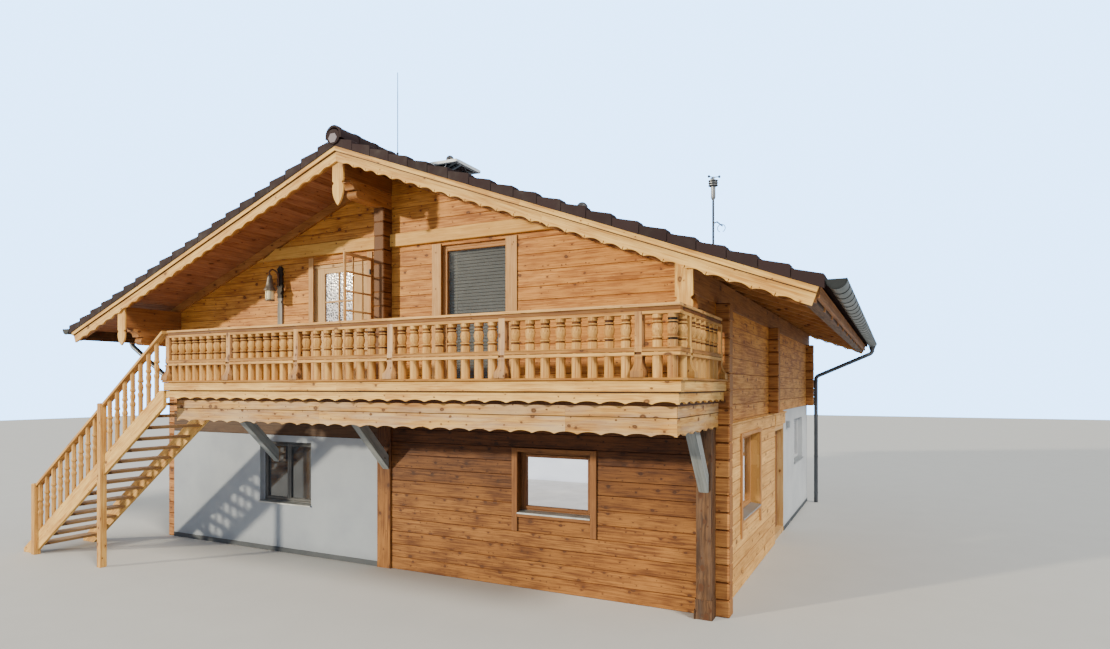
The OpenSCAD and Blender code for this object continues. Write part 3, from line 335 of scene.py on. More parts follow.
@dataclass(frozen=True)
class MineralFinish:
    """Plaster or concrete: a grained surface with soft clouds and splashed dirt near the ground."""

    name: str
    colour: Colour
    shadow: Colour
    grain: float = 260.0
    depth: float = 0.0012
    rough: float = 0.9
    dirt_top: float = 0.0
    # Painted light: how strongly the surface glows inside the room, though it is no lamp.
    glow: float = 0.0
    room: Flat = (5.0, 4.65)

    def build(self) -> bpy.types.Material:
        """Returns the mineral surface's material, which glows inside the room as painted light."""
        g = Graph(self.name)
        place = g.place()
        cloud = g.noise(place, 1.6, 4.0)
        sand = g.noise(place, self.grain, 2.0)
        colour = g.mix(g.spread(cloud, 0.3, 0.75), self.colour, self.shadow)
        colour = g.mix(g.spread(sand, 0.35, 0.5, 0.12, 0.0), colour, self.shadow)
        if self.dirt_top:
            height = g.node("ShaderNodeSeparateXYZ", {0: place}).outputs[2]
            rise = g.math("ADD", height, g.math("MULTIPLY", g.noise(place, 9.0, 4.0), 0.12))
            dirt = tuple(0.72 * c for c in self.shadow)
            colour = g.mix(g.spread(rise, 0.02, self.dirt_top, 0.55, 0.0), colour, dirt)
        wave = g.noise(place, 14.0, 2.0)
        height = g.math("ADD", sand, g.math("MULTIPLY", wave, 0.5))
        look = {"Base Color": colour, "Roughness": self.rough, "Specular IOR Level": 0.2,
                "Normal": g.bump(height, 0.6, self.depth)}
        # Painted light: inside the room's bounds the surface emits its own colour.
        if self.glow:
            xyz = g.node("ShaderNodeSeparateXYZ", {0: place}).outputs
            inside = [g.math("LESS_THAN", g.math("ABSOLUTE", xyz[i]), self.room[i]) for i in (0, 1)]
            look["Emission Color"] = colour
            look["Emission Strength"] = g.math("MULTIPLY", g.math("MULTIPLY", *inside), self.glow)
        return g.shade(look)


@dataclass(frozen=True)
class TileFinish:
    """Coloured concrete roof tile, a little different from tile to tile, with dust in the hollows."""

    name: str
    colour: Colour
    dust: Colour
    rough: float = 0.42

    def build(self) -> bpy.types.Material:
        """Returns the tiles' material."""
        g = Graph(self.name)
        place = g.place()
        patch = g.noise(place, 5.0, 4.0, 0.6)
        speck = g.noise(place, 190.0, 2.0)
        colour = g.mix(g.spread(patch, 0.42, 0.72, 0.0, 0.5), self.colour, self.dust)
        colour = g.mix(g.spread(speck, 0.58, 0.7, 0.0, 0.35), colour, self.dust)
        own = g.math("ADD", g.attribute("shade"), 1.0)
        colour = g.mix(1.0, colour, g.node("ShaderNodeCombineColor", {0: own, 1: own, 2: own}).outputs[0],
                       "MULTIPLY")
        return g.shade({"Base Color": colour, "Roughness": g.spread(patch, 0.3, 0.7, self.rough - 0.08,
                                                                    self.rough + 0.2),
                        "Specular IOR Level": 0.18, "Normal": g.bump(speck, 0.35, 0.001)})


@dataclass(frozen=True)
class MetalFinish:
    """Sheet or wrought metal with a patina in patches and runs."""

    name: str
    colour: Colour
    patina: Colour
    metallic: float = 0.7
    rough: float = 0.42
    patch: float = 3.0
    hammer: float = 0.0

    def build(self) -> bpy.types.Material:
        """Returns the metal's material."""
        g = Graph(self.name)
        place = g.place()
        cloud = g.noise(g.scaled(place, (1.0, 1.0, 0.5)), self.patch, 5.0, 0.62)
        scratch = g.noise(g.scaled(place, (1.0, 1.0, 0.08)), 160.0, 2.0)
        colour = g.mix(g.spread(cloud, 0.38, 0.66), self.colour, self.patina)
        colour = g.mix(g.spread(scratch, 0.55, 0.75, 0.0, 0.25), colour, self.patina)
        height = g.math("ADD", scratch, g.math("MULTIPLY", g.noise(place, 60.0, 1.0), self.hammer))
        return g.shade({"Base Color": colour, "Metallic": self.metallic,
                        "Roughness": g.spread(cloud, 0.3, 0.7, self.rough - 0.1, self.rough + 0.15),
                        "Normal": g.bump(height, 0.25, 0.001)})


@dataclass(frozen=True)
class GlassFinish:
    """Window glass: a glossy sheet that lets part of the room behind it through."""

    name: str
    colour: Colour
    alpha: float = 0.2
    rough: float = 0.04

    def build(self) -> bpy.types.Material:
        """Returns the glass's material."""
        g = Graph(self.name)
        place = g.place()
        sway = g.noise(place, 1.1, 2.0)
        smear = g.noise(place, 7.0, 4.0, 0.7)
        colour = g.mix(g.spread(smear, 0.4, 0.8, 0.0, 0.4), self.colour,
                       tuple(min(1.0, 1.7 * c) for c in self.colour))
        return g.shade({"Base Color": colour, "Roughness": g.spread(smear, 0.3, 0.8, self.rough, self.rough
                                                                    + 0.05), "Alpha": self.alpha,
                        "Specular IOR Level": 0.9, "Coat Weight": 0.6, "Coat Roughness": 0.03,
                        "Normal": g.bump(sway, 0.08, 0.02)})


@dataclass(frozen=True)
class LaceFinish:
    """Ornamental glass with a light lace behind it."""

    name: str
    light: Colour
    dark: Colour

    def build(self) -> bpy.types.Material:
        """Returns the pane's material."""
        g = Graph(self.name)
        place = g.place()
        cells = g.node("ShaderNodeTexVoronoi", {"Vector": place, "Scale": 26.0, "Randomness": 0.9}).outputs
        lace = g.math("ADD", g.spread(cells["Distance"], 0.25, 0.5, 0.0, 0.7),
                      g.math("MULTIPLY", g.noise(place, 11.0, 3.0), 1.1))
        colour = g.mix(g.spread(lace, 0.93, 1.06), self.dark, self.light)
        return g.shade({"Base Color": colour, "Roughness": 0.12, "Coat Weight": 0.5,
                        "Normal": g.bump(cells["Distance"], 0.4, 0.004)})


def skin(rings: int, sides: int) -> list[list[int]]:
    """Faces round a row of rings of points, with a flat face at each end.

    Args:
        rings: number of rings.
        sides: number of points in each ring.

    Returns:
        The faces, by number of point.
    """
    faces = [[k * sides + i, k * sides + (i + 1) % sides, (k + 1) * sides + (i + 1) % sides, (k + 1) * sides
              + i] for k in range(rings - 1) for i in range(sides)]
    faces.append(list(range(sides - 1, -1, -1)))
    faces.append([(rings - 1) * sides + i for i in range(sides)])
    return faces


class Joinery:
    """Closed boards, logs, plates and turned forms gathered into one mesh.

    Each face keeps a map with the grain along its first axis, the board's own tone, which carries painted
    shade on some faces, and whether it is cut across the grain.
    """

    def __init__(self, seed: int, spread: float = 0.12, seam_shade: float = 0.0) -> None:
        """Starts an empty piece.

        Args:
            seed: start of the tones' and offsets' row of chance numbers.
            spread: how far a board's tone may lie from the middle.
            seam_shade: painted shade in the seams: how much darker the boards' narrow long faces are.
        """
        self.chance = random.Random(seed)
        self.spread = spread
        self.seam_shade = seam_shade
        self.points: list[Vector] = []
        self.faces: list[list[int]] = []
        self.maps: list[list[Flat]] = []
        self.tones: list[float] = []
        self.ends: list[float] = []

    def board(self) -> Board:
        """Returns a new board's offsets of its map and its tone."""
        return (self.chance.uniform(0, 90), self.chance.uniform(0, 90),
                self.chance.uniform(-self.spread, self.spread))

    def solid(self, points: Sequence[Point], faces: Sequence[Sequence[int]], grain: Point = X_AXIS,
              board: Board | None = None, dark: Sequence[float] = ()) -> None:
        """Adds one closed form.

        Args:
            points: its corners.
            faces: its faces, by number of corner.
            grain: direction of the wood's grain.
            board: offsets of its map and its tone, for two forms that are one board.
            dark: how much darker each of the first faces is than the board.
        """
        board = board or self.board()
        start = len(self.points)
        own = [Vector(p) for p in points]
        middle = sum(own, Vector()) / len(own)
        along = Vector(grain).normalized()
        self.points += own
        for k, face in enumerate(faces):
            ring = [own[i] for i in face]
            normal = Vector()
            for a, b in zip(ring, ring[1:] + ring[:1]):
                normal += a.cross(b)
            normal.normalize()
            cut = abs(normal.dot(along)) > 0.75
            if cut:
                side = along.orthogonal().normalized()
                rise = along.cross(side)
                flat = [((p - middle).dot(side), (p - middle).dot(rise)) for p in ring]
            else:
                across = normal.cross(along).normalized()
                flat = [(p.dot(along) + board[0], p.dot(across) + board[1]) for p in ring]
            self.faces.append([start + i for i in face])
            self.maps.append(flat)
            self.tones.append(board[2] - (dark[k] if k < len(dark) else 0.0))
            self.ends.append(1.0 if cut else 0.0)

    def prism(self, outline: Sequence[Flat], frame: Axes, start: Reach, end: Reach, grain: Point
              | None = None, board: Board | None = None, bevel: tuple[float, float] = (0.0, 0.0),
              seam_shade: float = 0.0) -> None:
        """Adds an outline drawn out along the third axis of a frame.

        Args:
            outline: points of the outline on the frame's first two axes.
            frame: the three axes.
            start: where it begins, a distance or a rule of the outline's point.
            end: where it ends, in the same way.
            grain: direction of the grain, the third axis where it isn't given.
            board: offsets of its map and its tone.
            bevel: how far the edges of the two ends are chamfered.
            seam_shade: painted shade in a joint: how much darker its narrow long faces are.
        """
        u, v, w = (Vector(a) for a in frame)
        n = len(outline)
        mid_a = sum(p[0] for p in outline) / n
        mid_b = sum(p[1] for p in outline) / n
        half_a = max(abs(p[0] - mid_a) for p in outline)
        half_b = max(abs(p[1] - mid_b) for p in outline)

        def ring(reach: Reach, back: float, inset: float) -> list[Vector]:
            """Returns the outline's points at one place along the piece, drawn in by an inset."""
            made = []
            for a, b in outline:
                t = reach(a, b) if callable(reach) else reach
                sa = mid_a + (a - mid_a) * (1 - inset / half_a)
                sb = mid_b + (b - mid_b) * (1 - inset / half_b)
                made.append(u * sa + v * sb + w * (t + back))
            return made

        rings = []
        if bevel[0]:
            rings.append(ring(start, 0.0, bevel[0]))
        rings.append(ring(start, bevel[0], 0.0))
        rings.append(ring(end, -bevel[1], 0.0))
        if bevel[1]:
            rings.append(ring(end, 0.0, bevel[1]))
        points = [p for r in rings for p in r]
        # Painted shade: the narrow long faces, the chamfers at the seams, are made darker.
        narrow = [max(seam_shade, self.seam_shade) * (math.dist(a, b) < 0.024) for a,
                  b in zip(outline, list(outline[1:]) + [outline[0]])]
        self.solid(points, skin(len(rings), n), grain or frame[2], board, narrow * (len(rings) - 1))

    def beam(self, low: Point, high: Point, grain: Point = X_AXIS, chamfer: float = 0.004, board: Board
             | None = None, bevel: tuple[float, float] = (0.0, 0.0),
             keep: tuple[bool, bool] = (True, True)) -> None:
        """Adds a straight timber between two corners, with chamfered long edges.

        Args:
            low: its lowest corner.
            high: its highest corner.
            grain: the axis that it runs along.
            chamfer: how far its long edges are chamfered.
            board: offsets of its map and its tone.
            bevel: chamfer of its two ends.
            keep: whether the lower and the upper edges are chamfered.
        """
        frame = {X_AXIS: SIDE_PLANE, Y_AXIS: FRONT_PLANE, Z_AXIS: GROUND_PLANE}[grain]
        index = [a.index(1.0) for a in frame]
        a0, b0, w0 = (low[i] for i in index)
        a1, b1, w1 = (high[i] for i in index)
        outline = box_outline(a0, b0, a1, b1, chamfer if keep[0] else 0.0, chamfer if keep[1] else 0.0)
        self.prism(outline, frame, w0, w1, grain, board, bevel)

    def comb(self, lower: Sequence[Flat], upper: Sequence[Flat], frame: Axes, start: float, end: float,
             dark: float = 0.0) -> None:
        """Adds a board with a carved lower edge, its grain along the frame's first axis.

        Args:
            lower: points of the lower edge from left to right.
            upper: the point of the upper edge over each of them.
            frame: along the board, up, and through its thickness.
            start: where its thickness begins.
            end: where its thickness ends.
            dark: how much darker its lower face is.
        """
        u, v, w = (Vector(a) for a in frame)
        n = len(lower)
        points = [u * a + v * b + w * t for t in (start, end) for edge in (lower, upper) for a, b in edge]
        faces = []
        for i in range(n - 1):
            faces.append([i, i + 1, n + i + 1, n + i])
            faces.append([2 * n + i, 3 * n + i, 3 * n + i + 1, 2 * n + i + 1])
            faces.append([n + i, n + i + 1, 3 * n + i + 1, 3 * n + i])
            faces.append([i, 2 * n + i, 2 * n + i + 1, i + 1])
        faces.append([0, n, 3 * n, 2 * n])
        faces.append([n - 1, 3 * n - 1, 4 * n - 1, 2 * n - 1])
        self.solid(points, faces, frame[0], dark=(0.0, 0.0, 0.0, dark) * (n - 1))

    def turned(self, profile: Sequence[Flat], foot: Point, sides: int = 24,
               dark: Sequence[float] = ()) -> None:
        """Adds a form turned round an upright axis.

        Args:
            profile: radius and height from the foot up, closed on the axis by flat ends.
            foot: where the axis stands.
            sides: number of faces round it.
            dark: how much darker each stretch of the profile is.
        """
        base = Vector(foot)
        points = [base + Vector((r * math.cos(math.tau * i / sides), r * math.sin(math.tau * i / sides), z))
                  for r, z in profile for i in range(sides)]
        self.solid(points, skin(len(profile), sides), Z_AXIS, dark=[d for d in dark for _ in range(sides)])

    def carved(self, rows: Sequence[tuple[float, float, float, float]], frame: tuple[Point, Point],
               place: Flat, back: float) -> None:
        """Adds an upright timber with a square section that changes over its height.

        Args:
            rows: height, half width and outer face of each section, and how dark the stretch over it is.
            frame: direction of its width and of its outer face.
            place: its middle on these two.
            back: its inner face.
        """
        u, v = (Vector(a) for a in frame)
        points = [u * (place[0] + a) + v * (place[1] + b) + Vector((0.0, 0.0, z)) for z, half, face, _ in rows
                  for a, b in ((-half, back), (half, back), (half, face), (-half, face))]
        self.solid(points, skin(len(rows), 4), Z_AXIS, dark=[row[3] for row in rows[:-1] for _ in range(4)])

    def tube(self, path: Sequence[Point], radius: float, sides: int = 16) -> None:
        """Adds a round bar or pipe along a path.

        Args:
            path: the points that its middle follows.
            radius: its outer radius.
            sides: number of faces round it.
        """
        spots = [Vector(p) for p in path]
        points = []
        first = (spots[1] - spots[0]).orthogonal().normalized()
        for i, spot in enumerate(spots):
            before = (spot - spots[i - 1]).normalized() if i else (spots[1] - spot).normalized()
            after = (spots[i + 1] - spot).normalized() if i + 1 < len(spots) else before
            along = (before + after).normalized()
            side = (first - along * first.dot(along)).normalized()
            rise = along.cross(side)
            wide = radius / max(0.5, along.dot(before))
            points += [spot + (side * math.cos(math.tau * k / sides) + rise * math.sin(math.tau * k / sides))
                       * wide for k in range(sides)]
            first = side
        self.solid(points, skin(len(spots), sides), tuple(spots[-1] - spots[0]))

    def mesh(self, name: str, smooth: float = 32.0) -> bpy.types.Mesh:
        """Builds the mesh.

        Args:
            name: the mesh's name.
            smooth: edges sharper than this many degrees stay sharp.

        Returns:
            The mesh, with its faces turned outwards.
        """
        made = bpy.data.meshes.new(name)
        made.from_pydata([tuple(p) for p in self.points], [], self.faces)
        grain = made.uv_layers.new(name="grain")
        grain.data.foreach_set("uv", [c for face in self.maps for p in face for c in p])
        for label, values in (("shade", self.tones), ("end", self.ends)):
            made.attributes.new(label, "FLOAT", "FACE").data.foreach_set("value", values)
        form = bmesh.new()
        form.from_mesh(made)
        bmesh.ops.recalc_face_normals(form, faces=form.faces)
        form.to_mesh(made)
        form.free()
        made.polygons.foreach_set("use_smooth", [True] * len(made.polygons))
        made.set_sharp_from_angle(angle=math.radians(smooth))
        return made


def box_outline(a0: float, b0: float, a1: float, b1: float, low: float, high: float) -> list[Flat]:
    """Outline of a rectangle with cut corners.

    Args:
        a0: left side.
        b0: lower side.
        a1: right side.
        b1: upper side.
        low: how far the two lower corners are cut.
        high: how far the two upper corners are cut.

    Returns:
        Its points.
    """
    lower = [(a0, b0 + low), (a0 + low, b0), (a1 - low, b0), (a1, b0 + low)] if low else [(a0, b0), (a1, b0)]
    upper = [(a1, b1 - high), (a1 - high, b1), (a0 + high, b1), (a0, b1 - high)] if high else [(a1, b1),
                                                                                               (a0, b1)]
    return lower + upper


def band(x0: float, x1: float, low: Callable[[float], float], high: Callable[[float], float]) -> list[Flat]:
    """Four corners between two upright sides, a lower and an upper line.

    Args:
        x0: the first side.
        x1: the second side.
        low: height of the lower line over a place.
        high: height of the upper line over a place.

    Returns:
        The corners, from the lower line's first end round to the upper line's.
    """
    return [(x0, low(x0)), (x1, low(x1)), (x1, high(x1)), (x0, high(x0))]


def mirrored(outline: Sequence[Flat], side: Side) -> list[Flat]:
    """Returns an outline of the right side of the house, turned over for the left side."""
    return [(side.value * a, b) for a, b in outline]


def arc(radius: float, start: float, stop: float, steps: int, centre: Flat = (0.0, 0.0)) -> list[Flat]:
    """Points on an arc.

    Args:
        radius: the arc's radius.
        start: its first angle in degrees.
        stop: its last angle in degrees.
        steps: number of straight stretches.
        centre: the arc's middle.

    Returns:
        The points, both ends among them.
    """
    return [(centre[0] + radius * math.cos(math.radians(start + (stop - start) * i / steps)), centre[1]
             + radius * math.sin(math.radians(start + (stop - start) * i / steps))) for i in range(steps + 1)]


class Workshop:
    """Makes objects of the scene, gives them their finish, and says what they ride on and replace."""

    def __init__(self, nodes: dict) -> None:
        """Starts with no finish made.

        Args:
            nodes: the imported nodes' objects by name.
        """
        self.nodes = nodes
        self.made: dict[str, bpy.types.Material] = {}

    def material(self, finish: object) -> bpy.types.Material:
        """Returns a finish's material, made once."""
        key = repr(finish)
        if key not in self.made:
            self.made[key] = finish.build()
        return self.made[key]

    def piece(self, name: str, mesh: bpy.types.Mesh, finish: object, slot: str, nodes: Sequence[str] = (),
              body: Body = Body.HOUSE) -> bpy.types.Object:
        """Puts a finished mesh into the scene.

        Args:
            name: the piece's name.
            mesh: its mesh, in place.
            finish: its finish.
            slot: not used.
            nodes: CAD nodes that it stands for.
            body: the body that it moves with.

        Returns:
            The piece's object.
        """
        mesh.materials.clear()
        mesh.materials.append(self.material(finish))
        made = bpy.data.objects.new(name, mesh)
        bpy.context.scene.collection.objects.link(made)
        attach(made, body.value)
        if nodes:
            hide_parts(*nodes)
        log.info("%s: %d faces", name, len(mesh.polygons))
        return made

    def join(self, name: str, work: Joinery, finish: object, slot: str, nodes: Sequence[str] = (),
             body: Body = Body.HOUSE) -> bpy.types.Object:
        """Puts gathered joinery into the scene and returns its object."""
        return self.piece(name, work.mesh(name), finish, slot, nodes, body)

    def dress(self, names: Sequence[str], finish: object) -> None:
        """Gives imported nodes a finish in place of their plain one.

        Args:
            names: the nodes.
            finish: their finish.
        """
        for name in names:
            node = self.nodes[name]
            node.data.materials.clear()
            node.data.materials.append(self.material(finish))
            log.info("%s: dressed", name)


class CopyRows:
    """Geometry Nodes tree that lays copies of a mesh in rows and columns."""

    SIZES = (("Across Step", "NodeSocketVector"), ("Across Count", "NodeSocketInt"),
             ("Down Step", "NodeSocketVector"), ("Down Count", "NodeSocketInt"),
             ("Tone Spread", "NodeSocketFloat"), ("Wobble", "NodeSocketVector"), ("Seed", "NodeSocketInt"),
             ("Finish", "NodeSocketMaterial"))

    def __init__(self, shop: Workshop) -> None:
        """Builds the tree.

        Args:
            shop: where finishes come from.
        """
        self.shop = shop
        tree = bpy.data.node_groups.new("copy_rows", "GeometryNodeTree")
        self.tree = tree
        tree.interface.new_socket("Geometry", in_out="OUTPUT", socket_type="NodeSocketGeometry")
        tree.interface.new_socket("Geometry", in_out="INPUT", socket_type="NodeSocketGeometry")
        self.keys = {label: tree.interface.new_socket(label, in_out="INPUT", socket_type=kind).identifier
                     for label, kind in self.SIZES}
        given = tree.nodes.new("NodeGroupInput").outputs
        count = self._math("MULTIPLY", given["Across Count"], given["Down Count"])
        line = self._node("GeometryNodeMeshLine", {"Count": count, "Offset": (0.0, 0.0, 0.0)})
        index = tree.nodes.new("GeometryNodeInputIndex").outputs[0]
        column = self._math("FLOORED_MODULO", index, given["Across Count"])
        row = self._math("FLOOR", self._math("DIVIDE", self._math("ADD", index, 0.5), given["Across Count"]))
        across = self._vector("SCALE", given["Across Step"], column)
        down = self._vector("SCALE", given["Down Step"], row)
        spot = self._vector("ADD", across, down)
        shift = self._chance("FLOAT_VECTOR", (-1.0, -1.0, -1.0), (1.0, 1.0, 1.0), given["Seed"])
        spot = self._vector("ADD", spot, self._vector("MULTIPLY", shift, given["Wobble"]))
        placed = self._node("GeometryNodeSetPosition", {"Geometry": line.outputs[0], "Position": spot})
        copies = self._node("GeometryNodeInstanceOnPoints", {"Points": placed.outputs[0],
                                                             "Instance": given["Geometry"]})
        tone = self._math("MULTIPLY", self._chance("FLOAT", -1.0, 1.0, given["Seed"]), given["Tone Spread"])
        store = self._node("GeometryNodeStoreNamedAttribute",
                           {"Geometry": copies.outputs[0], "Name": "copy_tone", "Value": tone})
        store.domain = "INSTANCE"
        real = self._node("GeometryNodeRealizeInstances", {"Geometry": store.outputs[0]})
        tones = [self._node("GeometryNodeInputNamedAttribute", {"Name": n}).outputs[0]
                 for n in ("shade", "copy_tone")]
        toned = self._node("GeometryNodeStoreNamedAttribute",
                           {"Geometry": real.outputs[0], "Name": "shade", "Value": self._math("ADD", *tones)})
        toned.domain = "FACE"
        ended = self._node("GeometryNodeSetMaterial", {"Geometry": toned.outputs[0],
                                                       "Material": given["Finish"]})
        out = tree.nodes.new("NodeGroupOutput")
        tree.links.new(ended.outputs[0], out.inputs[0])

    def _node(self, kind: str, inputs: dict) -> bpy.types.Node:
        """Adds a node with its inputs set or linked, and returns it."""
        made = self.tree.nodes.new(kind)
        for key, value in inputs.items():
            if isinstance(value, bpy.types.NodeSocket):
                self.tree.links.new(value, made.inputs[key])
            else:
                made.inputs[key].default_value = value
        return made

    def _math(self, operation: str, a: object, b: object = 0.0) -> bpy.types.NodeSocket:
        """Returns the result of a sum on two numbers."""
        made = self._node("ShaderNodeMath", {0: a, 1: b})
        made.operation = operation
        return made.outputs[0]

    def _vector(self, operation: str, a: object, b: object) -> bpy.types.NodeSocket:
        """Returns the result of a sum on two vectors, or on a vector and a number to scale it by."""
        made = self.tree.nodes.new("ShaderNodeVectorMath")
        made.operation = operation
        self.tree.links.new(a, made.inputs[0])
        self.tree.links.new(b, made.inputs["Scale" if operation == "SCALE" else 1])
        return made.outputs[0]

    def _chance(self, kind: str, low: object, high: object, seed: object) -> bpy.types.NodeSocket:
        """Returns a seeded chance value of a kind between two bounds."""
        made = self.tree.nodes.new("FunctionNodeRandomValue")
        made.data_type = kind
        bounds = [s for s in made.inputs if s.enabled and s.name in ("Min", "Max")]
        bounds[0].default_value = low
        bounds[1].default_value = high
        self.tree.links.new(seed, made.inputs["Seed"])
        return next(s for s in made.outputs if s.enabled)

    def lay(self, name: str, work: Joinery, across: tuple[Point, int], down: tuple[Point, int],
            finish: object, slot: str, nodes: Sequence[str], seed: int, tone: float = 0.1,
            wobble: Point = (0.0, 0.0, 0.0), smooth: float = 40.0) -> bpy.types.Object:
        """Lays copies, makes them one plain mesh and puts it into the scene.

        Args:
            name: the piece's name.
            work: the form that is copied, where the first copy lies.
            across: step from column to column, and the number of columns.
            down: step from row to row, and the number of rows.
            finish: the copies' finish.
            slot: the record's material slot.
            nodes: CAD nodes that they stand for.
            seed: start of the chance numbers.
            tone: how far a copy's tone may lie from the middle.
            wobble: how far a copy may lie from its place.
            smooth: edges sharper than this many degrees stay sharp.

        Returns:
            The piece's object.
        """
        prototype = bpy.data.objects.new(f"{name}_one", work.mesh(f"{name}_one", smooth))
        bpy.context.scene.collection.objects.link(prototype)
        modifier = prototype.modifiers.new("rows", "NODES")
        modifier.node_group = self.tree
        values = {"Across Step": across[0], "Across Count": across[1], "Down Step": down[0],
                  "Down Count": down[1], "Tone Spread": tone, "Wobble": wobble, "Seed": seed,
                  "Finish": self.shop.material(finish)}
        for label, value in values.items():
            modifier[self.keys[label]] = value
        bpy.context.view_layer.update()
        view = bpy.context.evaluated_depsgraph_get()
        mesh = bpy.data.meshes.new_from_object(prototype.evaluated_get(view))
        mesh.name = name
        prototype.modifiers.remove(modifier)
        bpy.data.objects.remove(prototype)
        return self.shop.piece(name, mesh, finish, slot, nodes)


@dataclass(frozen=True)
class House:
    """Main sizes of the house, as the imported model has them."""

    half_w: float = 5.1
    front: float = -4.75
    back: float = 4.75
    wall: float = 0.2
    storey: float = 2.35
    floor: float = 2.75
    ridge: float = 6.215
    pitch: float = math.radians(20.6)
    rafter_drop: float = 0.1803
    eaves: float = 6.39
    roof_front: float = -5.8
    roof_back: float = 5.3
    course: float = 0.21
    log_end: float = 0.17
    purlin_w: float = 0.2
    ridge_purlin_h: float = 0.27
    eaves_purlin_h: float = 0.298

    @property
    def slope(self) -> float:
        """Rise of the roof over its run."""
        return math.tan(self.pitch)

    @property
    def ridge_purlin_z(self) -> float:
        """Underside of the ridge purlin."""
        return self.ridge - self.rafter_drop - self.ridge_purlin_h

    @property
    def purlin_z(self) -> float:
        """Underside of the eaves purlins."""
        return self.roof_z(self.half_w, self.rafter_drop) - self.eaves_purlin_h

    def roof_z(self, x: float, drop: float = 0.0) -> float:
        """Returns the height of a plane parallel to the roof, so far below the boarding's top."""
        return self.ridge - drop - self.slope * abs(x)

    def roof_x(self, z: float, drop: float = 0.0) -> float:
        """Returns how far from the ridge that plane comes down to a height."""
        return max(0.0, (self.ridge - drop - z) / self.slope)


SPRUCE = WoodFinish("fresh_spruce", (0.72, 0.44, 0.125), (0.44, 0.2, 0.04), contrast=1.3, knot_r=0.0135,
                    knot_cell=0.24, knot_share=0.6)
RAIL_SPRUCE = WoodFinish("railing_spruce", (0.6, 0.345, 0.1), (0.34, 0.15, 0.038), knot_share=0.5,
                         contrast=1.2)
CAP_WOOD = WoodFinish("handrail", (0.68, 0.42, 0.15), (0.4, 0.18, 0.05), wear=0.4, worn=(0.24, 0.1, 0.04),
                      knot_share=0.5, contrast=1.2)
POST_WOOD = WoodFinish("railing_posts", (0.55, 0.31, 0.1), (0.27, 0.115, 0.035), knot_share=0.9,
                       knot_cell=0.16, contrast=1.3, wear=0.5, worn=(0.4, 0.27, 0.19))
SKIRT_SPRUCE = WoodFinish("skirt_spruce", (0.6, 0.345, 0.095), (0.34, 0.15, 0.038), knot_cell=0.2,
                          knot_r=0.015, knot_share=0.9, wear=0.4, worn=(0.5, 0.42, 0.33), contrast=1.4)
UPPER_LOG = WoodFinish("upper_logs", (0.63, 0.285, 0.058), (0.33, 0.115, 0.02), contrast=1.5, knot_cell=0.2,
                       knot_r=0.014, knot_share=0.85)
# The lintel is paler than the logs: partly its own wood, partly painted light where the sun catches it.
LINTEL = WoodFinish("proud_lintel", (0.72, 0.41, 0.1), (0.46, 0.21, 0.04), knot_share=0.35, contrast=0.8)
# Ground floor boards: painted shade darkens them from 0.9 m up to 1.9 m, under the balcony.
LOWER_LOG = WoodFinish("lower_logs", (0.3, 0.124, 0.028), (0.125, 0.041, 0.009), contrast=1.55,
                       knot_cell=0.17, knot_r=0.0125, knot_share=0.95, painted_shade_tint=(0.34, 0.26, 0.23), painted_shade_low=0.9,
                       painted_shade_high=1.9)
SIDE_LOG = WoodFinish("side_cladding", (0.8, 0.45, 0.14), (0.5, 0.235, 0.055), contrast=1.0)
LOG_END = WoodFinish("log_ends", (0.45, 0.2, 0.055), (0.21, 0.074, 0.02), contrast=1.4)
MIDDLE_END = WoodFinish("gable_log_ends", (0.24, 0.1, 0.032), (0.1, 0.036, 0.011), contrast=1.7,
                        knot_share=0.9)
CORBEL_WOOD = WoodFinish("corbel_logs", (0.44, 0.2, 0.06), (0.24, 0.09, 0.022), contrast=1.2)
PURLIN = WoodFinish("purlin_timber", (0.3, 0.125, 0.036), (0.16, 0.058, 0.016))
SOFFIT = WoodFinish("soffit_boards", (0.38, 0.17, 0.08), (0.21, 0.079, 0.036), contrast=1.2)
# Dark timber, darkened further as painted shade for the beam under the balcony; it also colours the painted
# shadow strips.
DARK_TIMBER_AND_SHADE = WoodFinish("dark_timber", (0.085, 0.042, 0.02), (0.04, 0.018, 0.009))
WEATHERED = WoodFinish("weathered_timber", (0.12, 0.056, 0.023), (0.042, 0.018, 0.008), wear=0.2,
                       worn=(0.12, 0.092, 0.075), contrast=1.7, knot_share=0.95, knot_cell=0.18)
GREY_BRACE = WoodFinish("weathered_timber_grey", (0.26, 0.285, 0.3), (0.14, 0.155, 0.165), wear=0.5,
                        worn=(0.3, 0.34, 0.37), knot_share=0.3)
FLOOR_BOARD = WoodFinish("floor_boards", (0.5, 0.3, 0.14), (0.32, 0.17, 0.07))
TRIM_DARK = WoodFinish("lower_trim", (0.26, 0.108, 0.034), (0.13, 0.048, 0.014), knot_share=0.3)
LOWER_FRAME = WoodFinish("lower_frames", (0.22, 0.09, 0.03), (0.12, 0.045, 0.015), knot_share=0.1)
JOINERY_WOOD = WoodFinish("joinery", (0.5, 0.25, 0.085), (0.34, 0.14, 0.04), knot_share=0.15, contrast=0.6)
TRIM_WOOD = WoodFinish("trim_boards", (0.6, 0.345, 0.14), (0.42, 0.205, 0.065), knot_share=0.3)
DOOR_WOOD = WoodFinish("door_leaf", (0.62, 0.4, 0.18), (0.46, 0.25, 0.09), knot_share=0.2, contrast=0.7)
LINING = MineralFinish("inner_lining", (0.8, 0.78, 0.74), (0.66, 0.64, 0.6), depth=0.0004)
# Front plaster: darker and bluer than the side plaster as painted shade, and glowing inside the room as
# painted light.
PLASTER_PAINTED_SHADE = MineralFinish("plaster", (0.36, 0.4, 0.46), (0.29, 0.325, 0.39), dirt_top=0.3, glow=2.2)
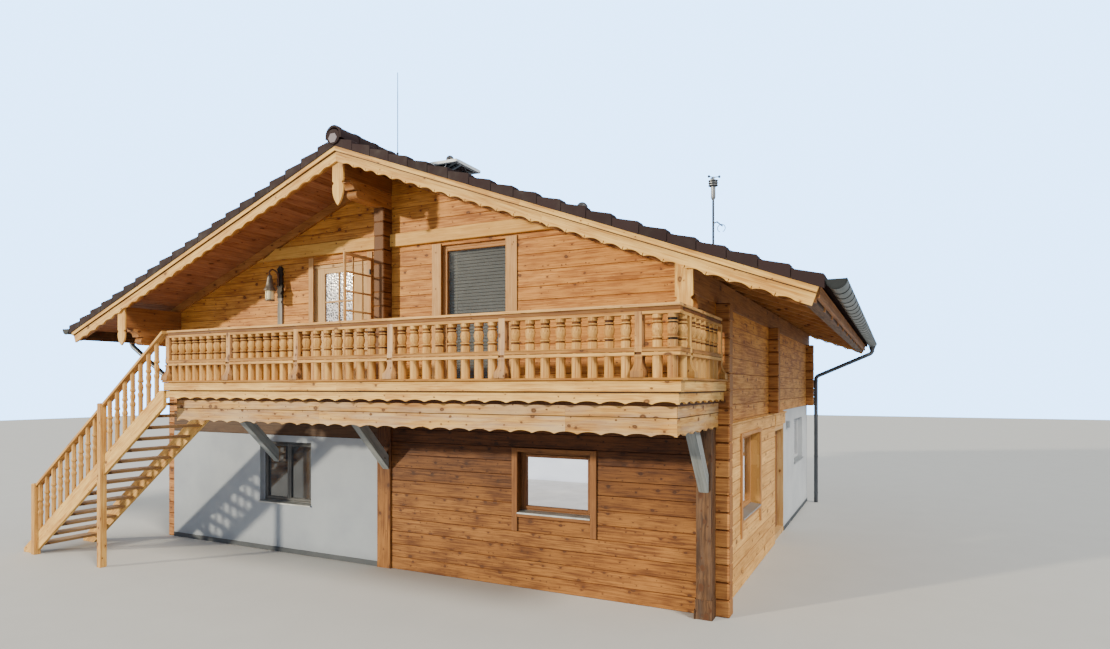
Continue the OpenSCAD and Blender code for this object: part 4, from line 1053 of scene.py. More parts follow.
# Painted light: the side and back plaster glows inside the room.
SIDE_PLASTER = MineralFinish("side_plaster", (0.56, 0.585, 0.62), (0.46, 0.485, 0.53), dirt_top=0.3, glow=2.2)
PLINTH = MineralFinish("plinth", (0.1, 0.11, 0.125), (0.06, 0.068, 0.08))
# Painted light: the floor concrete glows inside the room.
CONCRETE = MineralFinish("floor_concrete", (0.42, 0.41, 0.4), (0.32, 0.31, 0.3), glow=1.6)
ROOF_TILE = TileFinish("roof_tile", (0.0195, 0.0095, 0.0105), (0.033, 0.0195, 0.021), 0.66)
RIDGE_CAP = TileFinish("ridge_cap", (0.19, 0.165, 0.19), (0.26, 0.23, 0.26), 0.55)
GUTTER_METAL = MetalFinish("gutter_metal", (0.03, 0.042, 0.047), (0.085, 0.11, 0.12), metallic=0.25,
                           rough=0.36)
GREY_FRAME = MetalFinish("grey_frames", (0.05, 0.052, 0.058), (0.09, 0.093, 0.1), metallic=0.2)
PALE_FRAME = MetalFinish("pale_frames", (0.5, 0.52, 0.55), (0.6, 0.62, 0.65), metallic=0.1)
PIPE_METAL = MetalFinish("pipe_metal", (0.06, 0.062, 0.07), (0.11, 0.12, 0.14), rough=0.4)
SEAM_METAL = MetalFinish("gutter_seams", (0.012, 0.014, 0.016), (0.03, 0.035, 0.04), rough=0.5)
SASH_METAL = MetalFinish("roof_window_frame", (0.5, 0.54, 0.6), (0.64, 0.68, 0.74), metallic=0.1, rough=0.45)
ROOF_METAL = MetalFinish("roof_metal", (0.34, 0.37, 0.41), (0.5, 0.54, 0.58), rough=0.35)
DARK_SHEET = MetalFinish("dark_sheet", (0.035, 0.035, 0.04), (0.06, 0.06, 0.07), metallic=0.3, rough=0.5)
IRON = MetalFinish("iron", (0.06, 0.06, 0.062), (0.13, 0.13, 0.135), metallic=0.6, rough=0.5, hammer=2.0)
STEEL = MetalFinish("mast_steel", (0.2, 0.21, 0.23), (0.3, 0.31, 0.33), rough=0.38)
DARK_STEEL = MetalFinish("mast_rods", (0.03, 0.034, 0.042), (0.06, 0.066, 0.08), metallic=0.4, rough=0.5)
SILL_METAL = MetalFinish("sill_metal", (0.33, 0.35, 0.37), (0.45, 0.48, 0.5), rough=0.4)
GLASS = GlassFinish("pane_glass", (0.03, 0.036, 0.042))
CLEAR_GLASS = GlassFinish("clear_pane", (0.06, 0.065, 0.07), alpha=0.06)
DARK_GLASS = GlassFinish("dark_pane", (0.028, 0.032, 0.04), alpha=0.94)
BLIND_SLAT = MetalFinish("blind_slats", (0.095, 0.1, 0.105), (0.15, 0.155, 0.155), metallic=0.2, rough=0.5,
                         patch=1.2)
BLIND_BAND = MineralFinish("blind_bands", (0.5, 0.48, 0.4), (0.4, 0.38, 0.32), depth=0.0002)
LACE = LaceFinish("lace_pane", (0.74, 0.75, 0.84), (0.03, 0.03, 0.05))
LANTERN_ROOF = MetalFinish("lantern_roof", (0.12, 0.1, 0.085), (0.26, 0.22, 0.18), metallic=0.4, rough=0.5,
                           patch=14.0, hammer=2.0)
BLACK_WOOD = WoodFinish("lantern_plank_top", (0.035, 0.025, 0.02), (0.015, 0.01, 0.008), knot_share=0.3)
STRAP = MetalFinish("lantern_strap", (0.13, 0.06, 0.03), (0.2, 0.1, 0.05), metallic=0.2, rough=0.6,
                    patch=20.0)
ROOF_PANE = GlassFinish("roof_pane", (0.02, 0.024, 0.03), alpha=1.0)
LANTERN_GLASS = MineralFinish("lantern_glass", (0.95, 0.86, 0.55), (0.85, 0.74, 0.42), rough=0.25,
                              depth=0.0003)
PLANK_WOOD = WoodFinish("lantern_plank", (0.24, 0.22, 0.2), (0.13, 0.115, 0.1), wear=0.7,
                        worn=(0.34, 0.34, 0.34), knot_share=0.2)
RAFTER_WOOD = WoodFinish("rafter_timber", CORBEL_WOOD.light, CORBEL_WOOD.deep, grain=Grain.ALONG_X)
DOOR_FRAME_WOOD = WoodFinish("door_frame", DOOR_WOOD.light, DOOR_WOOD.deep, knot_share=0.2,
                             grain=Grain.ALONG_Z)
DOOR_LEAF_WOOD = WoodFinish("door_leaf_brown", (0.27, 0.13, 0.055), (0.15, 0.065, 0.028), knot_share=0.15,
                            grain=Grain.ALONG_Z)


def cut_spans(low: float, high: float, z0: float, z1: float,
              openings: Sequence[Opening],) -> list[tuple[float, float]]:
    """Stretches of a course that openings leave.

    Args:
        low: where the course begins.
        high: where it ends.
        z0: its lower edge.
        z1: its upper edge.
        openings: left, bottom, right and top of each opening.

    Returns:
        Start and end of each stretch.
    """
    spans = [(low, high)]
    for left, bottom, right, top in openings:
        if top <= z0 + 1e-6 or bottom >= z1 - 1e-6:
            continue
        spans = [piece for a, b in spans for piece in ((a, min(b, left)), (max(a, right), b)) if piece[1]
                 - piece[0] > 1e-4]
    return spans


def levels(z0: float, z1: float, openings: Sequence[Opening]) -> list[float]:
    """Heights at which a course is split by an opening's lower or upper edge, both ends among them."""
    inner = {z for o in openings for z in (o[1], o[3]) if z0 + 1e-4 < z < z1 - 1e-4}
    return sorted({z0, z1} | inner)


@dataclass
class LogWall:
    """Wall of hewn logs, course on course, with its openings cut through.

    The wall runs along X or Y. Its outer face may be moved a little from log to log.
    """

    start: float
    end: float
    bottom: float
    top: float
    outer: float
    inner: float
    along: Point = X_AXIS
    course: float = 0.21
    openings: tuple[Opening, ...] = ()
    reach: Callable[[float], float] | None = None
    chamfer: float = 0.0055
    uneven: float = 0.0025
    seed: int = 1

    def build(self, work: Joinery | None = None) -> Joinery:
        """Builds the courses.

        Args:
            work: where they are added, or nothing for a new piece.

        Returns:
            The joinery with the wall in it.
        """
        work = work or Joinery(self.seed)
        count = max(1, round((self.top - self.bottom) / self.course))
        step = (self.top - self.bottom) / count
        outwards = 1.0 if self.outer > self.inner else -1.0
        for k in range(count):
            z0 = self.bottom + k * step
            z1 = z0 + step
            face = self.outer - outwards * work.chance.uniform(0.0, self.uneven)
            board = work.board()
            heights = levels(z0, z1, self.openings)
            for low, high in zip(heights, heights[1:]):
                for a, b in cut_spans(self.start, self.end, low, high, self.openings):
                    self._stretch(work, a, b, low, high, face, board, (low == z0, high == z1))
        return work

    def _stretch(self, work: Joinery, a: float, b: float, low: float, high: float, face: float, board: Board,
                 edges: tuple[bool, bool]) -> None:
        """Adds one stretch of a log.

        Args:
            work: where it is added.
            a: where it begins.
            b: where it ends.
            low: its lower edge.
            high: its upper edge.
            face: its outer face.
            board: offsets of its map and its tone.
            edges: whether its lower and upper edges are the log's own.
        """
        d0, d1 = sorted((face, self.inner))
        cut = self.chamfer
        outline = box_outline(d0, low, d1, high, cut if edges[0] else 0.0, cut if edges[1] else 0.0)
        first: Reach = a
        last: Reach = b
        if self.reach is not None:
            if a <= self.start + 1e-6:
                first = lambda _, z: -self.reach(z)
            if b >= self.end - 1e-6:
                last = lambda _, z: self.reach(z)
        frame = SIDE_PLANE if self.along == X_AXIS else FRONT_PLANE
        # Painted shade: the log's chamfers at the seams are darkened by half.
        work.prism(outline, frame, first, last, self.along, board, seam_shade=0.5)


FRONT_TIMBER_WINDOW = (2.33, 1.05, 3.44, 1.9)
FRONT_PLASTER_WINDOW = (-2.8, 0.83, -1.6, 1.87)
UPPER_DOOR = (-1.61, 2.75, -0.32, 4.81)
DOOR_LIGHT = (-1.34, 3.78, -0.75, 4.66)
BALCONY_WINDOW = (1.02, 2.75, 2.32, 4.9)
SIDE_WINDOW = (-3.35, 0.95, -1.97, 2.1)
SIDE_WINDOW_REAR = (2.38, 1.17, 3.82, 2.11)
TERRACE_DOOR = (-0.35, 0.0, 0.85, 2.05)
BACK_LOWER = ((-3.7, 1.05, -2.5, 2.1), (-0.6, 1.05, 0.6, 2.1), (2.5, 1.05, 3.7, 2.1))
BACK_UPPER = ((-3.0, 3.5, -1.8, 4.6), (1.8, 3.5, 3.0, 4.6))


@dataclass
class Assembly:
    """A part of the house that makes its own pieces, with what all such parts share."""

    house: House
    shop: Workshop
    rows: CopyRows


@dataclass
class UpperStorey(Assembly):
    """Log walls of the upper storey, their log ends and the proud lintel beam."""

    lintel_z: float = 4.95
    lintel_h: float = 0.2
    lintel_t: float = 0.05
    lintel_x: float = -2.7
    cross_wall: float = -0.9
    corbel_h: float = 0.23

    def gable(self, outer: float, inner: float, openings: tuple[Opening, ...], seed: int) -> Joinery:
        """Builds a gable wall up to the rafters, notched round the purlins.

        Args:
            outer: its outer face.
            inner: its inner face.
            openings: its doors and windows.
            seed: start of the chance numbers.

        Returns:
            The wall's joinery.
        """
        h = self.house
        top = h.ridge_purlin_z
        square = LogWall(-h.half_w, h.half_w, h.storey, h.purlin_z, outer, inner, openings=openings,
                         course=h.course, seed=seed)
        work = square.build()
        inner_edge = h.half_w - h.purlin_w - 0.001
        slope_start = h.roof_z(inner_edge, h.rafter_drop)
        LogWall(-inner_edge, inner_edge, h.purlin_z, slope_start - 0.002, outer, inner, openings=openings,
                course=h.course, seed=seed).build(work)
        LogWall(-inner_edge, inner_edge, slope_start - 0.002, top, outer, inner, openings=openings,
                course=h.course, reach=lambda z: min(inner_edge, h.roof_x(z, h.rafter_drop) - 0.001),
                seed=seed).build(work)
        half = h.purlin_w / 2 + GAP
        for side in Side:
            frame = SIDE_PLANE
            low, high = top, h.roof_z(half, h.rafter_drop) - 0.001
            d0, d1 = sorted((outer, inner))
            outline = [(d0, low), (d1, low), (d1, high), (d0, high)]
            far = lambda _, z, s=side.value: s * max(half, h.roof_x(z, h.rafter_drop) - 0.002)
            near = lambda _, z, s=side.value: s * half
            ends = (near, far) if side is Side.RIGHT else (far, near)
            work.prism(outline, frame, ends[0], ends[1], X_AXIS)
        return work

    def stack(self, work: Joinery, low: float, high: float,
              block: Callable[[float, float, tuple], None],) -> None:
        """Lays log ends on each other.

        Args:
            work: where they are added.
            low: foot of the stack.
            high: its top.
            block: adds one log end between two heights, with its board.
        """
        count = max(1, round((high - low) / self.house.course))
        step = (high - low) / count
        for k in range(count):
            block(low + k * step, low + (k + 1) * step, work.board())

    def corner_stacks(self) -> Joinery:
        """Builds the log ends at the corners and at the cross wall, on both sides."""
        h = self.house
        work = Joinery(21, 0.16)
        rows = ((h.front, 0.0), (h.back - h.wall, h.storey), (self.cross_wall, h.storey))
        for side in Side:
            for y, low in rows:
                def block(z0: float, z1: float, board: tuple, y: float = y, s: Side = side) -> None:
                    """Adds one log end between two heights."""
                    reach = h.half_w + h.log_end - work.chance.uniform(0.0, 0.006)
                    outline = box_outline(y + 0.002, z0, y + h.wall - 0.002, z1, 0.012, 0.012)
                    x0, x1 = sorted((s.value * h.half_w, s.value * reach))
                    bevel = (0.0, 0.012) if s is Side.RIGHT else (0.012, 0.0)
                    # Painted shade: the log end's chamfers are darkened.
                    work.prism(outline, SIDE_PLANE, x0, x1, X_AXIS, board, bevel, 0.55)
                self.stack(work, low, h.purlin_z, block)
        return work

    def gable_stack(self) -> Joinery:
        """Builds the log ends of the wall that meets the front in its middle."""
        h = self.house
        work = Joinery(22, 0.14)
        half = h.purlin_w / 2

        def block(z0: float, z1: float, board: tuple) -> None:
            """Adds one log end between two heights."""
            reach = h.front - h.wall + work.chance.uniform(0.0, 0.006)
            outline = box_outline(-half + 0.002, z0, half - 0.002, z1, 0.012, 0.012)
            # Painted shade: the log end's chamfers are darkened.
            work.prism(outline, FRONT_PLANE, reach, h.front, Y_AXIS, board, (0.012, 0.0), 0.55)
        self.stack(work, h.floor, h.ridge_purlin_z - self.corbel_h, block)
        return work

    def lintel(self) -> Joinery:
        """Builds the proud beam over the door and the tall window, in two lengths."""
        h = self.house
        work = Joinery(23)
        z0, z1 = self.lintel_z, self.lintel_z + self.lintel_h
        outline = box_outline(h.front - self.lintel_t, z0, h.front, z1, 0.006, 0.006)
        near = h.purlin_w / 2
        # Painted shade: the lintel's chamfers are darkened, as a shadow line along its edges.
        work.prism(outline, SIDE_PLANE, near, lambda _, z: h.roof_x(z, h.rafter_drop) - 0.001, X_AXIS,
                   seam_shade=0.4)
        work.prism(outline, SIDE_PLANE, lambda _, z: max(self.lintel_x, 0.001 - h.roof_x(z, h.rafter_drop)),
                   -near, X_AXIS, seam_shade=0.4)
        flat = box_outline(h.front - 0.014, z0, h.front, h.roof_z(self.lintel_x, h.rafter_drop) - 0.006,
                           0.006, 0.006)
        work.prism(flat, SIDE_PLANE, lambda _, z: 0.001 - h.roof_x(z, h.rafter_drop), self.lintel_x - 0.001,
                   X_AXIS, seam_shade=0.4)
        return work

    def build(self) -> None:
        """Puts the storey's pieces into the scene."""
        h = self.house
        self.shop.join("gable_logs", self.gable(h.front, h.front + h.wall, (UPPER_DOOR, BALCONY_WINDOW), 11),
                       UPPER_LOG, "upper_logs", ["front_wall_upper"])
        self.shop.join("rear_gable_logs", self.gable(h.back, h.back - h.wall, BACK_UPPER, 12), UPPER_LOG,
                       "upper_logs", ["back_wall_upper"])
        for side, node in ((Side.RIGHT, "right_wall_upper"), (Side.LEFT, "left_wall_upper")):
            wall = LogWall(h.front + h.wall, h.back - h.wall, h.storey, h.purlin_z, side.value * h.half_w,
                           side.value * (h.half_w - h.wall), Y_AXIS, h.course, seed=13 + side.value)
            self.shop.join(f"{side.name.lower()}_upper_logs", wall.build(), UPPER_LOG, "upper_logs", [node])
        self.shop.join("corner_log_ends", self.corner_stacks(), LOG_END, "log_ends", ["log_ends"])
        self.shop.join("gable_middle_ends", self.gable_stack(), MIDDLE_END, "log_ends", ["gable_log_ends"])
        self.shop.join("proud_lintel", self.lintel(), LINTEL, "upper_logs", ["lintel_beam"])


@dataclass
class GroundStorey(Assembly):
    """Ground floor walls: knotty boards on the right, plaster under a dark beam on the left."""

    plaster_end: float = -0.18
    timber_start: float = 0.09
    plaster_top: float = 1.98
    post_proud: float = 0.03
    post_out: float = 0.18
    joist_z: float = 2.48
    post_foot: float = 0.24
    cladding: float = 0.035
    cladding_top: float = 2.3
    ledge_h: float = 0.03
    ledge_over: float = 0.025
    plinth_h: float = 0.08
    plinth_t: float = 0.012

    def timber_front(self) -> Joinery:
        """Builds the front's right half out of wide boards."""
        h = self.house
        return LogWall(self.timber_start, h.half_w - GAP, 0.0, h.storey, h.front, h.front + h.wall,
                       course=0.196, openings=(FRONT_TIMBER_WINDOW,), seed=31, chamfer=0.006).build()

    def clad_side(self) -> Joinery:
        """Builds the right side's clad stretch with its ledge."""
        h = self.house
        start = h.front + h.wall
        work = LogWall(start, TERRACE_DOOR[0], 0.0, h.storey, h.half_w, h.half_w - h.wall, Y_AXIS, 0.196,
                       (SIDE_WINDOW,), seed=32).build()
        LogWall(start, TERRACE_DOOR[0] - 0.06, 0.0, self.cladding_top, h.half_w + self.cladding, h.half_w
                + GAP, Y_AXIS, 0.196, (SIDE_WINDOW,), seed=33, chamfer=0.006).build(work)
        work.beam((h.half_w, start, self.cladding_top), (h.half_w + self.cladding + self.ledge_over,
                                                         TERRACE_DOOR[0], self.cladding_top + self.ledge_h),
                  Y_AXIS, 0.005)
        return work

    def door_lintel(self) -> Joinery:
        """Builds the boards over the terrace door."""
        h = self.house
        work = Joinery(34)
        y0, y1 = TERRACE_DOOR[0], TERRACE_DOOR[2]
        work.beam((h.half_w - h.wall, y0, TERRACE_DOOR[3]), (h.half_w, y1, h.storey), Y_AXIS)
        work.beam((h.half_w + GAP, y0, TERRACE_DOOR[3] + 0.05),
                  (h.half_w + self.cladding, y1, self.cladding_top), Y_AXIS)
        work.beam((h.half_w, y0, self.cladding_top), (h.half_w + self.cladding + self.ledge_over, y1,
                                                      self.cladding_top + self.ledge_h), Y_AXIS, 0.005)
        return work

    def posts(self) -> None:
        """Builds the two front posts and the dark beam."""
        h = self.house
        middle = Joinery(35)
        middle.beam((self.plaster_end, h.front - self.post_proud, 0.0),
                    (self.timber_start, h.front + h.wall, h.storey), Z_AXIS, 0.012)
        self.shop.join("middle_post_timber", middle, LOWER_LOG, "lower_logs", ["middle_post"])
        corner = Joinery(36)
        corner.beam((h.half_w - h.wall, h.front - self.post_out, 0.0), (h.half_w, h.front, self.joist_z),
                    Z_AXIS, 0.014)
        corner.beam((h.half_w - h.wall - 0.008, h.front - self.post_out - 0.008, 0.0),
                    (h.half_w + 0.004, h.front + 0.002, self.post_foot), Z_AXIS, 0.008)
        corner.beam((h.half_w - h.wall - 0.02, h.front - self.post_out - 0.02, 0.0),
                    (h.half_w - h.wall, h.front, 0.11), Z_AXIS, 0.006)
        self.shop.join("corner_post_timber", corner, WEATHERED, "weathered_timber", ["corner_post"])
        # Painted shade: the beam's finish is darker than the timber is, as in the shade under the balcony.
        beam = Joinery(37)
        beam.beam((-h.half_w, h.front, self.plaster_top), (self.plaster_end, h.front + h.wall, h.storey),
                  X_AXIS, 0.01)
        self.shop.join("plaster_beam", beam, DARK_TIMBER_AND_SHADE, "dark_timber", ["front_wall_beam"])

    def plinth(self) -> Joinery:
        """Builds the dark strip at the foot of the plastered walls."""
        h = self.house
        work = Joinery(38)
        top, t = self.plinth_h, self.plinth_t
        work.beam((-h.half_w, h.front - t, 0.0), (self.plaster_end, h.front, top), X_AXIS)
        work.beam((h.half_w, TERRACE_DOOR[2], 0.0), (h.half_w + t, h.back, top), Y_AXIS)
        work.beam((-h.half_w - t, h.front + h.wall, 0.0), (-h.half_w, h.back, top), Y_AXIS)
        work.beam((-h.half_w, h.back, 0.0), (h.half_w, h.back + t, top), X_AXIS)
        return work

    def build(self) -> None:
        """Puts the storey's pieces into the scene."""
        self.shop.join("front_boards", self.timber_front(), LOWER_LOG, "lower_logs", ["front_wall_timber"])
        self.shop.join("side_boards", self.clad_side(), SIDE_LOG, "lower_logs", ["right_wall_lower_front"])
        self.shop.join("door_head_boards", self.door_lintel(), SIDE_LOG, "lower_logs",
                       ["terrace_door_lintel"])
        self.posts()
        self.shop.join("plinth_strip", self.plinth(), PLINTH, "plaster")
        self.shop.dress(["front_wall_plaster"], PLASTER_PAINTED_SHADE)
        self.shop.dress(["right_wall_lower_rear", "left_wall_lower", "back_wall_lower"], SIDE_PLASTER)
        self.shop.dress(["ground_floor_slab"], CONCRETE)
        self.shop.dress(["upper_floor"], LINING)


@dataclass
class Roof(Assembly):
    """Boarding, rafters, tiles, ridge, bargeboards, eaves boards, purlins and their carved ends."""

    board_pitch: float = 0.128
    boarding: float = 0.04
    courses: int = 20
    tile_head: float = 0.088
    tile_nose: float = 0.125
    tile_over: float = 0.05
    tile_w: float = 0.3
    verge_y: float = -5.87
    verge_back_y: float = 5.37
    skirt: float = 0.024
    apron_t: float = 0.0125
    barge_t: float = 0.032
    barge_top_t: float = 0.026
    barge_h: float = 0.23
    barge_top_h: float = 0.085
    lobe_pitch: float = 0.25
    end_board_t: float = 0.028

    @property
    def run(self) -> float:
        """Width of a tile course, measured level."""
        return (self.house.eaves + self.tile_over) / self.courses

    def down(self, side: Side) -> Point:
        """Returns the direction down a slope."""
        c, s = math.cos(self.house.pitch), math.sin(self.house.pitch)
        return (side.value * c, 0.0, -s)

    def up(self, side: Side) -> Point:
        """Returns the direction square to a slope, upwards."""
        c, s = math.cos(self.house.pitch), math.sin(self.house.pitch)
        return (side.value * s, 0.0, c)

    def soffit(self, side: Side) -> Joinery:
        """Builds one slope's tongued boards, laid parallel to the ridge.

        Args:
            side: which slope.

        Returns:
            The boards.
        """
        h = self.house
        work = Joinery(41 + side.value, 0.16)
        edge = h.eaves - 0.04
        count = round(edge / self.board_pitch)
        step = edge / count
        for k in range(count):
            x0, x1 = k * step + 0.0006, (k + 1) * step
            g = 0.006
            outline = [(x0, h.roof_z(x0, self.boarding) + g), (x0 + g, h.roof_z(x0 + g, self.boarding)),
                       (x1 - g, h.roof_z(x1 - g, self.boarding)), (x1, h.roof_z(x1, self.boarding) + g),
                       (x1, h.roof_z(x1, 0.001)), (x0, h.roof_z(x0, 0.001))]
            outline = mirrored(outline, side)
            cuts = sorted({h.roof_front + 0.001, h.roof_back - 0.001, work.chance.uniform(-3.5, 0.0),
                           work.chance.uniform(0.5, 4.0)})
            for y0, y1 in zip(cuts, cuts[1:]):
                work.prism(outline, FRONT_PLANE, y0 + 0.0006, y1 - 0.0006, Y_AXIS)
        return work

    def pantile(self, side: Side) -> Joinery:
        """Builds one roof tile with two rolls, in its place at the ridge's front end.

        Args:
            side: which slope.

        Returns:
            The tile.
        """
        h = self.house
        work = Joinery(43, 0.0)
        steps, thick, lap = 12, 0.016, 0.055
        xs = (-lap, 0.0, self.run * 0.55, self.run * 0.97, self.run)
        points: list[Point] = []
        for drop in (0.0, thick):
            for x in xs:
                rise = self.tile_head + (self.tile_nose - self.tile_head) * max(0.0, x) / self.run
                rise -= 0.014 + (0.012 if x < 0 else 0.0) + (0.005 if x == xs[-1] and not drop else 0.0)
                for k in range(steps + 1):
                    wave = 0.014 * math.cos(math.tau * 2 * k / steps)
                    points.append((side.value * x, self.tile_w * k / steps, rise + wave - drop - h.slope * x))
        row = steps + 1
        deep = len(xs) * row
        faces = []
        for i in range(len(xs) - 1):
            for k in range(steps):
                a, b, c, d = i * row + k, i * row + k + 1, (i + 1) * row + k + 1, (i + 1) * row + k
                faces += [[a, b, c, d], [deep + a, deep + d, deep + c, deep + b]]
            a, b = i * row, (i + 1) * row
            faces.append([a, b, deep + b, deep + a])
            faces.append([a + steps, deep + a + steps, deep + b + steps, b + steps])
        last = (len(xs) - 1) * row
        for k in range(steps):
            faces.append([k, deep + k, deep + k + 1, k + 1])
            faces.append([last + k, last + k + 1, deep + last + k + 1, deep + last + k])
        first_y = self.verge_y + 0.125
        work.solid([(x, y + first_y, z + h.ridge) for x, y, z in points], faces, self.down(side))
        return work

    def verge(self, side: Side, y0: float, y1: float) -> Joinery:
        """Builds one verge tile: a rolled top with a skirt over the bargeboard.

        Args:
            side: which slope.
            y0: its front face.
            y1: its back face.

        Returns:
            The tile, at the ridge.
        """
        h = self.house
        work = Joinery(44, 0.0)
        run = self.run
        lap = 0.03

        def height(x: float, rise: float) -> float:
            """Returns the height of a line over the slope at a place."""
            return h.ridge + rise - h.slope * x

        back, front = (y1, y0) if y0 < 0 else (y0, y1)
        split = front + math.copysign(self.apron_t, -y0)
        outline = [(0.003, height(0.003, 0.012)), (run - 0.002, height(run - 0.002, 0.012)),
                   (run - 0.002, height(run, self.tile_nose - 0.008)),
                   (run - 0.012, height(run - 0.012, self.tile_nose - 0.002)),
                   (-lap, height(-lap, self.tile_head - 0.012)), (-lap, height(-lap, self.tile_head - 0.03)),
                   (0.003, height(0.003, self.tile_head - 0.03))]
        work.prism(mirrored(outline, side), FRONT_PLANE, min(split, back), max(split, back), self.down(side))
        apron = [(0.003, height(0.003, -self.skirt)), (run - 0.002, height(run - 0.002, -self.skirt)),
                 outline[2], outline[3], (0.0031, height(0.0031, self.tile_head - 0.012))]
        work.prism(mirrored(apron, side), FRONT_PLANE, min(front, split), max(front, split), self.down(side),
                   bevel=(0.003, 0.003))
        return work

    def tiles(self) -> None:
        """Lays both slopes' tiles, their verges and the lowest course's lip."""
        h = self.house
        width = self.verge_back_y - self.verge_y - 0.25
        count = round(width / self.tile_w)
        self.tile_w = width / count
        for side in Side:
            step = (side.value * self.run, 0.0, -h.slope * self.run)
            side_name = side.name.lower()
            self.rows.lay(f"{side_name}_pantiles", self.pantile(side), ((0.0, self.tile_w, 0.0), count),
                          (step, self.courses), ROOF_TILE, "roof_tile", [f"roof_tiles_{side_name}"], 51
                          + side.value, 0.22, (0.0, 0.0008, 0.0012))
            for end, y0, y1 in (("front", self.verge_y, self.verge_y + 0.124),
                                ("rear", self.verge_back_y - 0.124, self.verge_back_y)):
                self.rows.lay(f"{side_name}_{end}_verge_tiles", self.verge(side, y0, y1), ONCE,
                              (step, self.courses), ROOF_TILE, "roof_tile", (), 53, 0.2, (0.0, 0.0015, 0.001))

    def ridge(self) -> None:
        """Lays the ridge tiles and their end discs."""
        h = self.house
        low_y, high_y = self.verge_y - 0.02, self.verge_back_y + 0.02
        count = 30
        step = (high_y - low_y - 0.07) / (count - 1)
        axis = h.ridge + 0.118
        one = Joinery(45, 0.0)

        def shell(radius: float, y0: float, y1: float) -> None:
            """Adds one hollow half round along the ridge."""
            outer = arc(radius, -6, 186, 14, (0.0, axis))
            inner = arc(radius - 0.022, 186, -6, 14, (0.0, axis))
            foot_r = [(radius, axis - 0.045)]
            foot_l = [(-radius, axis - 0.045), (-radius + 0.022, axis - 0.045)]
            inner_r = [(radius - 0.022, axis - 0.045)]
            outline = foot_r + outer + foot_l + inner + inner_r
            one.prism(outline, FRONT_PLANE, y0, y1, Y_AXIS)
        shell(0.133, low_y + 0.002, low_y + step + 0.03)
        shell(0.1435, low_y, low_y + 0.066)
        self.rows.lay("ridge_row", one, ((0.0, step, 0.0), count - 1), ONCE, ROOF_TILE, "roof_tile",
                      ["ridge_tiles"], 55, 0.2, (0.001, 0.0, 0.0015))
        plates, caps = Joinery(47, 0.02), Joinery(46, 0.02)
        for out, y in ((-1, low_y), (1, high_y)):
            for work, far, wide, sides in ((plates, 0.002, 0.119, 12), (caps, 0.012, 0.08, 6)):
                disc = [(wide * math.cos(math.tau * k / sides), axis - 0.02 - (0.12 - wide) * 0.55 + 0.92
                         * wide * math.sin(math.tau * k / sides)) for k in range(sides)]
                y0, y1 = sorted((y - out * 0.016, y + out * far))
                work.prism(disc, FRONT_PLANE, y0, y1, Y_AXIS, bevel=(0.003, 0.003))
        self.shop.join("ridge_end_plates", plates, ROOF_TILE, "roof_tile")
        self.shop.join("ridge_end_discs", caps, RIDGE_CAP, "roof_tile")

    def barge_edge(self, length: float) -> list[Flat]:
        """Outline of a bargeboard's carved edge: arches, and lobes with a slit between them.

        Args:
            length: how far the edge runs.

        Returns:
            Its points, measured along the slope and from the board's straight edge.
        """
        pitch = (length - self.lobe_pitch) / math.floor((length - self.lobe_pitch) / self.lobe_pitch)
        half_gap = 0.34 * pitch
        depth, lobe, slit = 0.016, 0.012, 0.005
        edge: list[Flat] = [(0.0, 0.0)]
        start = self.lobe_pitch / 2
        lobe_half = pitch / 2 - half_gap
        count = round((length - self.lobe_pitch) / pitch)
        for k in range(count):
            mid = start + (k + 0.5) * pitch
            for i in range(9):
                t = i / 8
                edge.append((mid - half_gap + 2 * half_gap * t, depth * math.sin(math.pi * t)))
            if k == count - 1:
                break
            centre = start + (k + 1) * pitch
            for i in range(1, 5):
                t = i / 5
                edge.append((centre - lobe_half + (lobe_half - slit) * t, -lobe * math.sin(math.pi * t / 2)))
            cut = [(-slit, -lobe), (-slit, 0.008), (-slit + 0.0001, 0.012), (-slit + 0.001, 0.019),
                   (0.0, 0.0225), (slit - 0.001, 0.019), (slit - 0.0001, 0.012), (slit, 0.008), (slit, -lobe)]
            edge += [(centre + a, b) for a, b in cut]
            for i in range(1, 5):
                t = i / 5
                edge.append((centre + slit + (lobe_half - slit) * t, -lobe * math.cos(math.pi * t / 2)))
        edge.append((length, 0.0))
        return edge

    def barge(self, work: Joinery, seams: Joinery, side: Side, y_in: float, out: int) -> None:
        """Adds one slope's bargeboards: a wide carved one and a narrow one over it.

        Args:
            work: where they are added.
            seams: where the painted shadow strip under the narrow board is added.
            side: which slope.
            y_in: face that they lie against.
            out: −1 at the front and 1 at the back.
        """
        h = self.house
        c = math.cos(h.pitch)
        length = h.eaves / c
        along = self.down(side)
        square = self.up(side)
        low = -self.barge_h * c
        top_x, top_z = h.ridge * along[2], h.ridge * square[2]
        joints = [0.0, length * 0.52, length]
        y0, y1 = sorted((y_in, y_in + out * self.barge_t))
        edge = self.barge_edge(length)
        for a, b in zip(joints, joints[1:]):
            part = [p for p in edge if a - 1e-6 <= p[0] <= b + 1e-6]
            part = [(a, 0.0)] * (part[0][0] > a + 1e-6) + part + [(b, 0.0)] * (part[-1][0] < b - 1e-6)
            points = [(top_x + p[0] + (0.0006 if p[0] < b else -0.0006), top_z + low + p[1]) for p in part]
            self._slope_comb(work, points, top_z - GAP, (along, square, Y_AXIS), y0, y1, a == 0.0)
        t0, t1 = sorted((y_in + out * self.barge_t, y_in + out * (self.barge_t + self.barge_top_t)))
        for a, b in ((0.0, length * 0.47), (length * 0.47 + 0.001, length)):
            points = [(top_x + a, top_z - self.barge_top_h * c), (top_x + b, top_z - self.barge_top_h * c)]
            # Painted shadow: the narrow board's lower face is made darker.
            self._slope_comb(work, points, top_z - GAP, (along, square, Y_AXIS), t0, t1, a == 0.0, 0.6)
